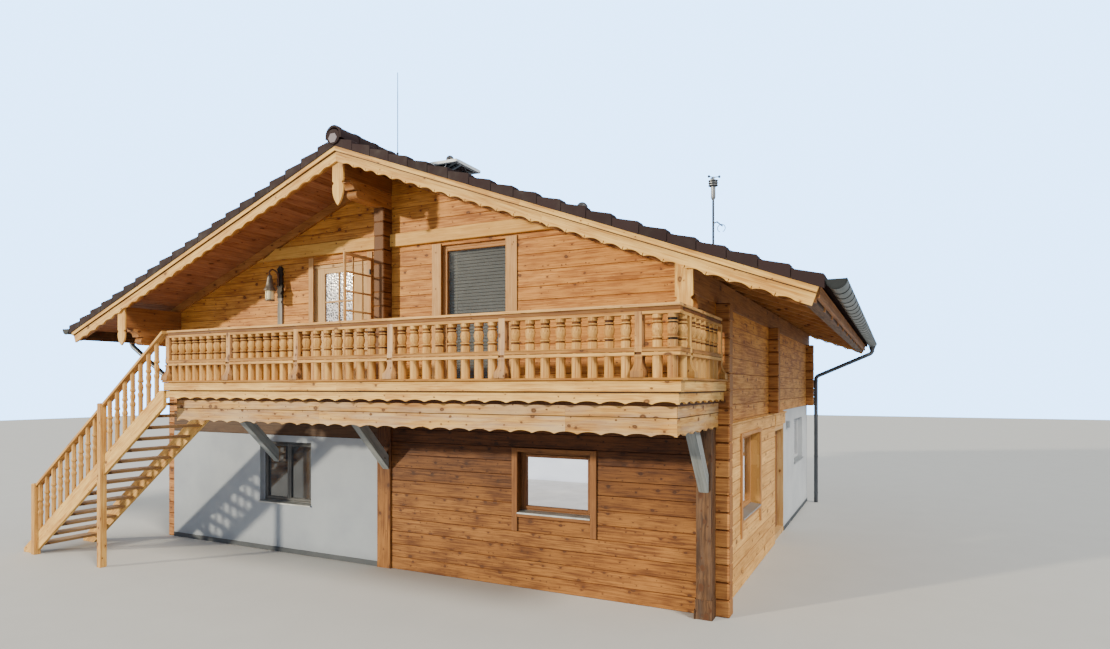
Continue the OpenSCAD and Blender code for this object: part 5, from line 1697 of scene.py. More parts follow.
            # Painted shadow: a thin dark strip on the wide board, just under the narrow one.
            shadow_line = [(x, z - 0.011) for x, z in points]
            s0, s1 = sorted((y_in + out * (self.barge_t + 0.0004), y_in + out * (self.barge_t + 0.004)))
            self._slope_comb(seams, shadow_line, points[0][1] - GAP, (along, square, Y_AXIS), s0, s1, a == 0.0)

    def _slope_comb(self, work: Joinery, points: list[Flat], top: float, frame: Axes, y0: float, y1: float,
                    at_ridge: bool, dark: float = 0.0) -> None:
        """Adds a carved board along a slope, cut plumb where it meets the other slope's board.

        Args:
            work: where it is added.
            points: its lower edge in the slope's own axes.
            top: its upper edge there.
            frame: the slope's axes.
            y0: its front face.
            y1: its back face.
            at_ridge: whether it begins at the ridge.
            dark: how much darker its lower face is.
        """
        slope = self.house.slope
        first, last = points[0], points[-1]
        lead = slope if at_ridge else 0.0
        span = last[0] - first[0]
        base = self.house.ridge * math.cos(self.house.pitch)

        def sheared(p: Flat) -> Flat:
            """Returns a point moved along the slope, so that the first end is cut upright."""
            share = (p[0] - first[0]) / span
            shift = (base - p[1]) * lead * max(0.0, 1 - share * 4)
            return (p[0] + shift, p[1])
        work.comb([sheared(p) for p in points], [sheared((p[0], top)) for p in points], frame, y0, y1, dark)

    def end_board(self, work: Joinery, x: float, neck: float, y0: float, y1: float) -> None:
        """Adds a carved end board: straight above a notched neck, a vase that runs to a point below it.

        Args:
            work: where it is added.
            x: its middle.
            neck: height of its neck.
            y0: its front face.
            y1: its back face.
        """
        h = self.house
        w, tip = h.purlin_w / 2, 0.32 if not x else 0.245
        belly = 0.22 * tip
        drop = tip - belly
        off = (drop * drop - w * w) / (2 * w)
        right: list[Flat] = [(0.0, neck - tip)]
        for i in range(1, 13):
            z = neck - tip + drop * i / 12
            dz = neck - belly - z
            right.append((math.sqrt(max(0.0, (w + off) ** 2 - dz * dz)) - off, z))
        right += [(w - 0.005, neck - 0.024), (w - 0.019, neck - 0.014), (w - 0.027, neck),
                  (w - 0.019, neck + 0.014), (w - 0.005, neck + 0.024), (w, neck + 0.026)]
        right.append((w, h.roof_z(x + w, h.rafter_drop) if x else h.roof_z(w, h.rafter_drop)))
        left = [(-a, b) for a, b in right[1:-1]]
        left.append((-w, h.roof_z(x - w, h.rafter_drop) if x else h.roof_z(w, h.rafter_drop)))
        outline = right + ([(0.0, h.roof_z(0.0, h.rafter_drop))] if not x else []) + left[::-1]
        work.prism([(x + a, b) for a, b in outline], FRONT_PLANE, y0, y1, Z_AXIS)

    def purlins(self) -> None:
        """Builds the purlins, the carved logs under them and their end boards."""
        h = self.house
        front = h.roof_front + self.end_board_t
        frame = FRONT_PLANE
        half = h.purlin_w / 2
        ridge = Joinery(61)
        rise = h.roof_z(half, h.rafter_drop)
        ridge.prism([(-half + 0.01, h.ridge_purlin_z), (half - 0.01, h.ridge_purlin_z),
                     (half, h.ridge_purlin_z + 0.01), (half, rise), (0.0, h.roof_z(0.0, h.rafter_drop)),
                     (-half, rise), (-half, h.ridge_purlin_z + 0.01)], frame, front, h.roof_back, Y_AXIS)
        self.shop.join("ridge_timber", ridge, PURLIN, "purlin_timber", ["ridge_purlin"])
        eaves = Joinery(62)
        for side in Side:
            outer, inner = h.half_w, h.half_w - h.purlin_w
            outline = [(inner + 0.01, h.purlin_z), (outer - 0.01, h.purlin_z), (outer, h.purlin_z + 0.01),
                       (outer, h.roof_z(outer, h.rafter_drop)), (inner, h.roof_z(inner, h.rafter_drop)),
                       (inner, h.purlin_z + 0.01)]
            eaves.prism(mirrored(outline, side), frame, front, h.roof_back, Y_AXIS)
        self.shop.join("eaves_timbers", eaves, PURLIN, "purlin_timber", ["eaves_purlins"])
        logs = Joinery(63, 0.2)
        for x, top, high in ((0.0, h.ridge_purlin_z, 0.23), (h.half_w - half, h.purlin_z, 0.27),
                             (half - h.half_w, h.purlin_z, 0.27)):
            self.corbel(logs, x, top, high)
        self.shop.join("carved_corbels", logs, CORBEL_WOOD, "purlin_timber", ["purlin_corbels"])
        boards = Joinery(64, 0.08)
        for x, neck in ((0.0, h.ridge_purlin_z - 0.075), (h.half_w - half, h.purlin_z - 0.05),
                        (half - h.half_w, h.purlin_z - 0.05)):
            self.end_board(boards, x, neck, h.roof_front + GAP, front - GAP)
        self.shop.join("carved_end_boards", boards, SPRUCE, "fresh_spruce", ["purlin_end_boards"])

    def corbel(self, work: Joinery, x: float, top: float, high: float) -> None:
        """Adds two logs under a purlin: the upper with a hollow end, the lower rounded.

        Args:
            work: where they are added.
            x: their middle.
            top: underside of the purlin.
            high: depth of both.
        """
        h = self.house
        length = 1.05 - 0.16
        nose = high / 4
        half = 0.09
        frame = SIDE_PLANE
        hollow = [(length - a, top - high / 2 + b) for a, b in arc(1.4 * nose, 0, 90, 8)]
        upper = [(0.0, top - high / 2 + GAP), (hollow[0][0], top - high / 2 + GAP)] + hollow[1:-1]
        upper += [(length, top - high / 2 + 1.4 * nose), (length, top), (0.0, top)]
        lower = [(0.0, top - high), (length - 3 * nose, top - high)]
        lower += arc(nose, -80, 80, 10, (length - 3 * nose, top - high + nose))
        lower += [(length - 3 * nose, top - high / 2 - GAP), (0.0, top - high / 2 - GAP)]
        for outline in (upper, lower):
            work.prism([(h.front - a, b) for a, b in outline], frame, x - half, x + half, Y_AXIS)

    def eaves_boards(self) -> Joinery:
        """Builds the boards along both eaves."""
        h = self.house
        work = Joinery(65)
        for side in Side:
            x0, x1 = h.eaves - 0.04, h.eaves
            low = h.roof_z(x1, 0.125)
            outline = [(x0, low), (x1 - 0.006, low), (x1, low + 0.006), (x1, h.roof_z(x1)),
                       (x0, h.roof_z(x0))]
            for y0, y1 in ((h.roof_front, -0.4), (-0.398, h.roof_back)):
                work.prism(mirrored(outline, side), FRONT_PLANE, y0, y1, Y_AXIS)
        return work

    def flying_purlins(self) -> Joinery:
        """Builds the light timbers under the boards just inside both eaves."""
        h = self.house
        work = Joinery(69)
        for side in Side:
            x0, x1 = h.eaves - 0.17, h.eaves - 0.055
            low = h.roof_z(x1, 0.175)
            outline = band(x0, x1, lambda _, z=low: z, lambda x: h.roof_z(x, 0.0405))
            work.prism(mirrored(outline, side), FRONT_PLANE, h.roof_front + 0.035, h.roof_back - 0.035,
                       Y_AXIS)
        return work

    def build(self) -> None:
        """Puts the roof's pieces into the scene."""
        h = self.house
        for side in Side:
            self.shop.join(f"{side.name.lower()}_soffit", self.soffit(side), SOFFIT, "soffit_boards",
                           ["roof_boarding"])
        self.shop.dress(["rafters"], RAFTER_WOOD)
        self.tiles()
        self.ridge()
        for label, y_in, out in (("front", h.roof_front, -1), ("back", h.roof_back, 1)):
            work, seams = Joinery(66 + out, 0.06), Joinery(68 + out, 0.06)
            for side in Side:
                self.barge(work, seams, side, y_in, out)
            self.shop.join(f"{label}_carved_barges", work, SPRUCE, "fresh_spruce", [f"{label}_bargeboards"])
            # Painted shadow: the dark strips under the narrow bargeboards.
            self.shop.join(f"{label}_barge_seams", seams, DARK_TIMBER_AND_SHADE, "fresh_spruce")
        self.purlins()
        # Painted shade: the spruce eaves boards take the dark purlin finish.
        self.shop.join("eaves_lines", self.eaves_boards(), PURLIN, "fresh_spruce", ["eaves_boards"])
        self.shop.join("flying_purlins", self.flying_purlins(), WEATHERED, "purlin_timber")


@dataclass
class RainGoods(Assembly):
    """Half-round gutters with soldered rings, and their downpipes."""

    radius: float = 0.098
    wall: float = 0.004
    x: float = 6.546
    z: float = 3.862
    pipe_r: float = 0.045
    y_front: float = -5.87
    y_back: float = 5.37
    rings: int = 27
    ring_w: float = 0.014

    def placed(self, outline: Sequence[Flat], side: Side) -> list[Flat]:
        """Returns an outline round the gutter's axis, moved to a side's gutter."""
        return mirrored([(self.x + a, b) for a, b in outline], side)

    def trough(self, caps: Joinery, side: Side, y0: float, y1: float) -> Joinery:
        """Builds a gutter's sheet with a rolled front rim and closed ends.

        Args:
            caps: where its end caps are added.
            side: which side.
            y0: its front end.
            y1: its rear end.

        Returns:
            The gutter.
        """
        work = Joinery(71, 0.0)
        outer = arc(self.radius, 180, 360, 18, (0.0, self.z))
        inner = arc(self.radius - self.wall, 360, 180, 18, (0.0, self.z))
        work.prism(self.placed(outer + inner, side), FRONT_PLANE, y0, y1, Y_AXIS)
        disc = self.placed(arc(self.radius - 0.001, 180, 360, 18, (0.0, self.z)), side)
        for y in (y0, y1 - self.wall):
            caps.prism(disc, FRONT_PLANE, y, y + self.wall, Y_AXIS)
        rim_x = side.value * (self.x + self.radius - 0.005)
        work.tube([(rim_x, y0 + 0.002, self.z - 0.004), (rim_x, y1 - 0.002, self.z - 0.004)], 0.008, 10)
        return work

    def ring(self, side: Side, y: float) -> Joinery:
        """Builds one raised seam round the gutter.

        Args:
            side: which side.
            y: its place.

        Returns:
            The ring.
        """
        work = Joinery(72, 0.0)
        outer = arc(self.radius + 0.006, 182, 358, 16, (0.0, self.z))
        inner = arc(self.radius - 0.002, 358, 182, 16, (0.0, self.z))
        work.prism(self.placed(outer + inner, side), FRONT_PLANE, y, y + self.ring_w, Y_AXIS,
                   bevel=(0.003, 0.003))
        return work

    def downpipe(self, side: Side, y_top: float, y_wall: float, elbow_z: float) -> Joinery:
        """Builds a downpipe with its swan neck, outlet cone, collars and wall clips.

        Args:
            side: which side.
            y_top: place of the gutter's outlet.
            y_wall: place on the wall.
            elbow_z: height at which it reaches the wall.

        Returns:
            The downpipe.
        """
        h = self.house
        work = Joinery(73, 0.0)
        gx = side.value * self.x
        px = side.value * (h.half_w + h.log_end + self.pipe_r + 0.006)
        top = self.z - self.radius
        corners = [Vector((gx, y_top, top - 0.01)), Vector((gx, y_top, top - 0.14)),
                   Vector((px, y_wall, elbow_z)), Vector((px, y_wall, 0.002))]
        path = [tuple(corners[0])]
        for a, b, c in zip(corners, corners[1:], corners[2:]):
            start, stop = b + (a - b).normalized() * 0.07, b + (c - b).normalized() * 0.07
            for i in range(6):
                t = i / 5
                path.append(tuple(start * (1 - t) ** 2 + b * 2 * t * (1 - t) + stop * t * t))
        path.append(tuple(corners[3]))
        work.tube(path, self.pipe_r, 20)
        cone = [(self.pipe_r + 0.003, top - 0.12), (self.pipe_r + 0.004, top - 0.07),
                (self.radius * 0.8, top + 0.012), (self.radius * 0.8, top + 0.016)]
        work.turned(cone, (gx, y_top, 0.0), 20)
        for z in (elbow_z - 0.12, 2.1, 1.1, 0.22):
            ring = self.pipe_r + 0.005
            work.turned([(ring - 0.002, z), (ring, z + 0.003), (ring, z + 0.032), (ring - 0.002, z + 0.035)],
                        (px, y_wall, 0.0), 20)
        return work

    def build(self) -> None:
        """Puts the gutters and downpipes into the scene."""
        h = self.house
        y0, y1 = self.y_front, self.y_back
        for side in Side:
            label = side.name.lower()
            caps = Joinery(75, 0.0)
            self.shop.join(f"{label}_gutter", self.trough(caps, side, y0, y1), GUTTER_METAL, "gutter_metal",
                           ["gutters"])
            self.shop.join(f"{label}_gutter_caps", caps, SEAM_METAL, "gutter_metal")
            count = self.rings
            step = (y1 - y0 - 0.016) / (count - 1)
            self.rows.lay(f"{label}_gutter_rings", self.ring(side, y0 + 0.001), ((0.0, step, 0.0), count),
                          ONCE, SEAM_METAL, "pipe_metal", (), 74, 0.1)
        self.shop.join("right_downpipe", self.downpipe(Side.RIGHT, y1 - 0.15, h.back - 0.1, 3.05), PIPE_METAL,
                       "pipe_metal", ["downpipes"])
        self.shop.join("left_downpipe", self.downpipe(Side.LEFT, h.front + 0.1, h.front + 0.1, 2.9),
                       PIPE_METAL, "pipe_metal", ["downpipes"])


@dataclass
class Balcony(Assembly):
    """Deck, joists, scalloped fascias and the railings with their turned balusters."""

    # Turned form: radius as a share of the widest, and height as a share of the part.
    SHAFT = ((0.93, 0.0), (0.93, 0.98))
    TURNING = ((0.93, 0.0), (0.95, 0.215), (0.82, 0.23), (0.82, 0.275), (1.0, 0.287), (1.02, 0.325),
               (0.86, 0.338), (0.78, 0.365), (0.8, 0.4), (0.92, 0.455), (1.0, 0.52), (1.02, 0.58),
               (0.97, 0.65), (0.86, 0.71), (0.82, 0.72), (0.82, 0.755), (0.98, 0.765), (0.98, 0.8),
               (0.82, 0.812), (0.82, 0.87), (0.97, 0.885), (0.97, 1.0))
    # Painted shade: how much darker a stretch of it is, by its number, in its grooves and round its neck.
    GROOVE_SHADE = {1: 0.5, 2: 0.8, 3: 0.5, 5: 0.5, 6: 0.4, 7: 0.2, 13: 0.3, 14: 0.8, 15: 0.3, 17: 0.5, 18: 0.8,
               19: 0.5}

    left: float = -2.5
    reach: float = 1.95
    side: float = 0.13
    fascia_h: float = 0.115
    fascia_t: float = 0.12
    apron_h: float = 0.12
    apron_t: float = 0.03
    skirt_h: float = 0.39
    skirt_t: float = 0.03
    skirt_back: float = 0.21
    deck: float = 0.06
    pitch: float = 0.272
    scallop: float = 0.026
    cap_t: float = 0.027
    cap_over: float = 0.025
    rail_h: float = 0.87
    mid_h: float = 0.4
    baluster_r: float = 0.055
    rail_line: float = 0.075
    post_w: float = 0.095
    corner_bay: float = 0.365
    corner_in: float = 0.03
    bay_count: int = 8
    side_count: int = 6
    end_count: int = 4
    neck: float = 0.038
    near_post: float = 0.8
    under_rail: float = 0.105
    front_seam: float = 0.85
    board_count: int = 13
    joists_x: tuple[float, ...] = (-2.45, -1.2, -0.045, 1.24, 2.5, 3.75, 4.95)
    caps: Joinery = field(default_factory=lambda: Joinery(80, 0.1), init=False)
    posts: tuple[float, ...] = (-2.45, -1.155, 0.13, 1.675, 3.22, 4.79, 5.155)

    @property
    def sill(self) -> float:
        """Top of the fascia's cap."""
        return self.house.floor + self.fascia_h + self.cap_t

    @property
    def rail_y(self) -> float:
        """Middle line of the front railing."""
        return self.house.front - self.reach + self.rail_line

    @property
    def right(self) -> float:
        """Middle line of the side railing."""
        return self.house.half_w + self.side - self.rail_line

    def scalloped(self, length: float, share: float = 0.95) -> list[Flat]:
        """Lower edge made of broad arches with narrow cusps between them.

        Args:
            length: how far it runs.
            share: part of each scallop that its arch takes up.

        Returns:
            Its points, from 0 to the length.
        """
        count = math.floor(length / self.pitch)
        step = length / count
        edge: list[Flat] = [(0.0, 0.0)]
        for k in range(count):
            half = share * step / 2
            mid = (k + 0.5) * step
            for i in range(13):
                t = -1 + 2 * i / 12
                edge.append((mid + half * t, self.scallop * (1 - t * t) ** 0.8))
        edge.append((length, 0.0))
        return edge

    def scalloped_board(self, work: Joinery, reach: float, right: float, thick: float, low: float, top: float,
                        seams: tuple[float, ...], split: float = 0.0) -> None:
        """Adds a scalloped board along the front and one along the right side.

        Args:
            work: where they are added.
            reach: how far its face stands out from the front wall.
            right: its face on the right.
            thick: its thickness.
            low: its lower edge.
            top: its upper edge.
            seams: joints along the front.
            split: height of a long seam in it, or 0 for none. A split board's top strip is painted shade.
        """
        h = self.house
        runs = ((self.left, right, h.front - reach, X_AXIS), (h.front - reach, h.front, right, Y_AXIS))
        for start, end, face, along in runs:
            edge = [(start + a, low + b) for a, b in self.scalloped(end - start)]
            cuts = [start] + ([s for s in seams if start < s < end] if along == X_AXIS else []) + [end]
            body_top = split or top
            for a, b in zip(cuts, cuts[1:]):
                inside = [p for p in edge if a < p[0] < b]
                part = [(a + 0.0006, self._height(edge, a))] + inside + [(b - 0.0006, self._height(edge, b))]
                if along == X_AXIS:
                    frame, y0, y1 = FRONT_PLANE, face, face + thick
                else:
                    frame, y0, y1 = SIDE_PLANE, face - thick, face
                work.comb(part, [(p[0], body_top - 0.0008) for p in part], frame, y0, y1)
                if split:
                    # Painted shade: the skirt's top strip, behind the apron's scallops, is made much darker.
                    lift, painted_shade_top = 0.003, top - 0.085
                    board = work.board()
                    dark = (board[0], board[1], board[2] - 0.82)
                    for z0, z1, tone in ((split, painted_shade_top, board), (painted_shade_top, top, dark)):
                        if along == X_AXIS:
                            work.beam((a + 0.0006, y0 - lift, z0), (b - 0.0006, y1, z1), X_AXIS, 0.004, tone,
                                      keep=(z0 == split, False))
                        else:
                            work.beam((y0, a + 0.0006, z0), (y1 + lift, b - 0.0006, z1), Y_AXIS, 0.004, tone,
                                      keep=(z0 == split, False))

    @staticmethod
    def _height(edge: list[Flat], place: float) -> float:
        """Returns the height of a carved edge at a place."""
        for (a, za), (b, zb) in zip(edge, edge[1:]):
            if a <= place <= b and b > a:
                return za + (zb - za) * (place - a) / (b - a)
        return edge[-1][1]

    def fascia(self) -> None:
        """Builds the upper fascia, its cap, the scalloped apron and the lower skirt."""
        h = self.house
        # Painted shade: the boards' narrow faces at the seams are darkened by half.
        work = Joinery(81, 0.07, 0.5)
        right = h.half_w + self.side
        face = h.front - self.reach
        base, cap = h.floor, h.floor + self.fascia_h
        seams = (self.left, self.front_seam, right)
        for a, b in zip(seams, seams[1:]):
            work.beam((a + GAP, face, base + 0.001), (b - GAP, face + self.fascia_t, cap - 0.001), X_AXIS,
                      0.006)
        work.beam((right - self.fascia_t, face + self.fascia_t + 0.001, base + 0.001),
                  (right, h.front, cap - 0.001), Y_AXIS, 0.006)
        over = self.cap_over
        for a, b in zip(seams, seams[1:]):
            work.beam((a, face - over, cap), (b + (over if b == right else 0.0), face + self.fascia_t + over,
                                              cap + self.cap_t), X_AXIS, 0.006)
        work.beam((right - self.fascia_t - over, face + self.fascia_t + over + 0.001, cap),
                  (right + over, h.front, cap + self.cap_t), Y_AXIS, 0.006)
        inwards = 0.06
        apron = (self.reach - inwards + self.apron_t, right - inwards + self.apron_t)
        self.scalloped_board(work, *apron, self.apron_t, h.floor - self.apron_h, h.floor, (1.6,))
        self.shop.join("balcony_upper_fascia", work, SPRUCE, "fresh_spruce", ["balcony_fascia"])
        # Painted shade: the skirt boards' narrow faces at the seams are darkened.
        lower = Joinery(82, 0.09, 0.6)
        low = h.floor - self.deck - self.skirt_h
        skirt = (self.reach - self.skirt_back, h.half_w + self.skirt_t)
        self.scalloped_board(lower, *skirt, self.skirt_t, low, low + self.skirt_h, (0.35, 3.9), low + 0.19)
        self.shop.join("balcony_lower_skirt", lower, SKIRT_SPRUCE, "fresh_spruce", ["balcony_skirt"])
        # Painted shadow: a thin dark strip under the fascia on the apron's top, and a dark line along the
        # skirt's seam.
        shadow_and_seam_lines = Joinery(83)
        for (reach, side), z0, z1 in ((apron, h.floor - 0.013, h.floor - 0.001),
                                      (skirt, low + 0.185, low + 0.192)):
            y = h.front - reach
            shadow_and_seam_lines.beam((self.left + 0.001, y - 0.0045, z0), (side + 0.0045, y + 0.001, z1), X_AXIS)
            shadow_and_seam_lines.beam((side - 0.001, y + 0.0012, z0), (side + 0.0045, h.front, z1), Y_AXIS)
        self.shop.join("balcony_board_seams", shadow_and_seam_lines, DARK_TIMBER_AND_SHADE, "fresh_spruce")

    def platform(self) -> None:
        """Builds the joists and the deck boards."""
        h = self.house
        joists = Joinery(83)
        front = h.front - (self.reach - self.skirt_back) + self.skirt_t
        top = h.floor - self.deck
        for x in self.joists_x:
            joists.beam((x, front, top - 0.21), (x + 0.1, h.front, top - GAP), Y_AXIS, 0.006)
        self.shop.join("balcony_joist_row", joists, PURLIN, "purlin_timber", ["balcony_joists"])
        deck = Joinery(84, 0.1)
        y0, y1 = h.front - self.reach + 0.06, h.front
        step = (y1 - y0) / self.board_count
        for k in range(self.board_count):
            deck.beam((self.left, y0 + k * step + 0.002, top),
                      (h.half_w + self.side - 0.06, y0 + (k + 1) * step - 0.002, h.floor), X_AXIS)
        self.shop.join("balcony_deck_boards", deck, FLOOR_BOARD, "floor_boards", ["balcony_deck"])

    def baluster(self, foot: Flat, base: float, top: float, tone: float = 0.0) -> Joinery:
        """Builds one turned baluster.

        The part below the middle rail is a plain shaft. Above it come a groove, a collar, a neck, a bulb,
        a ring between two grooves and the plain block under the rail.

        Args:
            foot: the place of its axis, from above.
            base: its foot.
            top: its upper end.
            tone: how much darker it is than the others.

        Returns:
            The baluster.
        """
        r = self.baluster_r
        mid = self.house.floor + self.mid_h + 0.04
        work = Joinery(85, 0.0)
        profile = [(p[0] * r, base + p[1] * (mid - base)) for p in self.SHAFT]
        profile += [(p[0] * r, mid + p[1] * (top - mid)) for p in self.TURNING]
        dark = [tone] * len(self.SHAFT)
        dark += [tone + self.GROOVE_SHADE.get(k, 0.0) for k in range(len(self.TURNING) - 1)]
        work.turned(profile, (foot[0], foot[1], 0.0), 20, dark)
        return work

    def rails(self, work: Joinery, start: Point, along: Point, length: float, outwards: Point,
              ends: tuple[float, float] = (0.0, 0.0), trims: tuple[float, float] = (0.0, 0.0)) -> None:
        """Adds the handrail, the strip under it and the boards of the middle rail.

        Args:
            work: where they are added.
            start: foot of the stretch's middle line, at the deck's height.
            along: its direction.
            length: its length.
            outwards: direction of its outer face.
            ends: how much longer the handrail is at each end.
            trims: how much shorter the strips are at each end.
        """
        top = start[2] + self.rail_h
        base = start[0] * along[0] + start[1] * along[1]
        line = start[0] * outwards[0] + start[1] * outwards[1]
        frame = (outwards, Z_AXIS, along)
        board = self.caps.board()
        # Painted shade, partly stain: the band under the handrail is made much darker, as the handrail's
        # shadow.
        for z0, z1, reach, dark in ((top - 0.03, top, 0.06, 0.0), (top - 0.0715, top - 0.0305, 0.044, 0.76)):
            hand = box_outline(-reach, z0, reach, z1, 0.004, 0.006)
            self.caps.prism([(line + a, b) for a, b in hand], frame, base - ends[0], base + length + ends[1],
                            board=(board[0], board[1] + z0, board[2] - dark))
        mid = start[2] + self.mid_h
        # The strips are darker in steps: painted shade under the ledges, partly the boards' weathered tone.
        for z0, z1, back, reach, dark in ((top - 0.105, top - 0.072, -0.05, 0.05, 0.2),
                                          (mid + 0.034, mid + 0.042, 0.0, 0.06, 0.0),
                                          (mid - 0.001, mid + 0.0335, 0.0, 0.054, 0.36),
                                          (mid - 0.0055, mid - 0.0015, 0.0, 0.046, 0.7),
                                          (mid - 0.04, mid - 0.006, 0.0, 0.064, 0.0)):
            strip = box_outline(back, z0, reach, z1, 0.0015, 0.0015)
            board = work.board()
            work.prism([(line + a, b) for a, b in strip], frame, base + trims[0], base + length - trims[1],
                       board=(board[0], board[1], board[2] - dark))

    def post(self, work: Joinery, foot: Point, along: Point, outwards: Point) -> None:
        """Adds a railing post with a notched neck and a foot that flares out in a hollow curve.

        Args:
            work: where it is added.
            foot: middle of its foot, at the deck's height.
            along: direction of the railing.
            outwards: direction of its outer face.
        """
        sill, mid = self.sill, self.house.floor + self.mid_h
        top = self.house.floor + self.rail_h - 0.072
        n, out, flare = self.neck, 0.052, 0.056
        rows = [(sill + GAP, n + 0.028, out + flare - 0.002, 0.3), (sill + 0.01, n + 0.03, out + flare, 0.25),
                (sill + 0.065, n + 0.029, out + flare - 0.004, 0.2)]
        rows += [(sill + 0.07 + t * (mid - sill - 0.145), n + 0.026 * (1 - t) ** 2.2, out + 0.048
                  * (1 - t) ** 2.2, 0.2) for t in (0.0, 0.15, 0.3, 0.45, 0.6, 0.8, 1.0)]
        # Painted shade: the notch in the neck is darker; the foot's lighter darkening is its weathering.
        rows += [(mid - 0.06, n, out, 0.1), (mid - 0.045, n + 0.006, out + 0.008, 0.0),
                 (mid - 0.03, n + 0.006, out + 0.008, 0.6), (mid - 0.026, n - 0.005, out - 0.006, 0.65),
                 (mid - 0.01, n - 0.005, out - 0.006, 0.5), (mid - 0.004, n + 0.001, out + 0.004, 0.0),
                 (mid + 0.05, n + 0.001, out + 0.004, 0.1), (mid + 0.07, n, out - 0.002, 0.0),
                 (top, n, out - 0.002, 0.0)]
        place = (foot[0] * along[0] + foot[1] * along[1], foot[0] * outwards[0] + foot[1] * outwards[1])
        work.carved(rows, (along, outwards), place, -0.045)

    def front_railing(self) -> None:
        """Builds the railing along the front."""
        # Painted shade: the rails' narrow faces are darkened a little.
        work = Joinery(86, 0.12, 0.3)
        posts = Joinery(85, 0.2)
        floor, y = self.house.floor, self.rail_y
        out = (0.0, -1.0, 0.0)
        top = floor + self.rail_h - self.under_rail
        for k, (a, b) in enumerate(zip(self.posts, self.posts[1:])):
            last = k == len(self.posts) - 2
            self.rails(work, (a, y, floor), X_AXIS, b - a, out, (0.0, 0.06 if last else 0.0),
                       (self.neck, -0.064 if last else self.neck))
            count = 1 if last else self.bay_count
            gap = (b - a) / (count + 2 * self.near_post - 1)
            first = self.baluster((a + self.near_post * gap, y), self.sill, top)
            self.rows.lay(f"front_balusters_{k + 1}", first, ((gap, 0.0, 0.0), count), ONCE, RAIL_SPRUCE,
                          "railing_spruce", ["balcony_front_railing"], 87 + k, 0.16, smooth=50.0)
            self.post(posts, (a, y, floor), X_AXIS, out)
        self.shop.join("corner_baluster", self.baluster((self.right - self.corner_in, y), self.sill, top,
                                                        0.3), CAP_WOOD, "railing_spruce",
                       ["balcony_front_railing"])
        self.shop.join("front_rails", work, RAIL_SPRUCE, "railing_spruce", ["balcony_front_railing"])
        self.shop.join("front_posts", posts, POST_WOOD, "railing_spruce", ["balcony_front_railing"])

    def side_railing(self) -> None:
        """Builds the railing along the right side."""
        # Painted shade: the rails' narrow faces are darkened a little.
        work = Joinery(95, 0.1, 0.3)
        floor, x = self.house.floor, self.right
        start = self.rail_y + 0.0605
        between = self.rail_y + self.corner_bay
        end = self.house.front - 0.15
        bays = ((start, between, 1, (-0.0595, self.neck)), (between, end, self.side_count, (self.neck,) * 2))
        for k, (a, b, count, trims) in enumerate(bays):
            self.rails(work, (x, a, floor), Y_AXIS, b - a, X_AXIS, trims=trims)
            self.post(work, (x, b, floor), Y_AXIS, X_AXIS)
            gap = (b - a) / (count + 1)
            first = self.baluster((x, a + gap), self.sill, floor + self.rail_h - self.under_rail)
            self.rows.lay(f"side_balusters_{k + 1}", first, ((0.0, gap, 0.0), count), ONCE, RAIL_SPRUCE,
                          "railing_spruce", ["balcony_side_railing"], 96 + k, 0.16, smooth=50.0)
        self.shop.join("side_rails", work, RAIL_SPRUCE, "railing_spruce", ["balcony_side_railing"])

    def end_railing(self) -> None:
        """Builds the short railing at the left end, between the stair and the wall."""
        work = Joinery(97, 0.08)
        floor, x = self.house.floor, self.left + 0.05
        start = self.house.front - self.reach + 1.0 + self.post_w
        length = self.house.front - start
        out = (-1.0, 0.0, 0.0)
        self.rails(work, (x, start, floor), Y_AXIS, length, out, (self.post_w / 2, 0.0))
        w = self.post_w / 2
        work.beam((x - w, start - w, floor + GAP), (x + w, start + w, floor + self.rail_h - 0.0305), Z_AXIS)
        count = self.end_count
        gap = length / (count + 1)
        first = self.baluster((x, start + gap + w / 2), floor, floor + self.rail_h - self.under_rail)
        self.rows.lay("end_balusters", first, ((0.0, gap, 0.0), count), ONCE, RAIL_SPRUCE, "railing_spruce",
                      ["balcony_end_railing"], 98, 0.12, smooth=50.0)
        self.shop.join("end_rails", work, RAIL_SPRUCE, "railing_spruce", ["balcony_end_railing"])

    def braces(self) -> None:
        """Builds the three sloping braces with chamfered edges."""
        h = self.house
        work = Joinery(99)
        top = h.floor - self.deck - 0.21
        y_end = h.front - (self.reach - self.skirt_back) + 0.79
        foot = top - 0.95
        for x, y in ((h.half_w - 0.1, h.front - 0.18), (0.005, h.front - 0.03), (-2.4, h.front)):
            outline = [(y, foot), (y, foot + 0.21), (y_end + 0.21, top), (y_end, top)]
            slant = (0.0, y_end - y, top - foot)
            work.prism(outline, SIDE_PLANE, x - 0.06, x + 0.06, slant, bevel=(0.012, 0.012))
        self.shop.join("balcony_brace_timbers", work, GREY_BRACE, "weathered_timber", ["balcony_braces"])

    def build(self) -> None:
        """Puts the balcony's pieces into the scene."""
        self.platform()
        self.fascia()
        self.front_railing()
        self.side_railing()
        self.end_railing()
        self.shop.join("handrail_caps", self.caps, CAP_WOOD, "railing_spruce")
        self.braces()


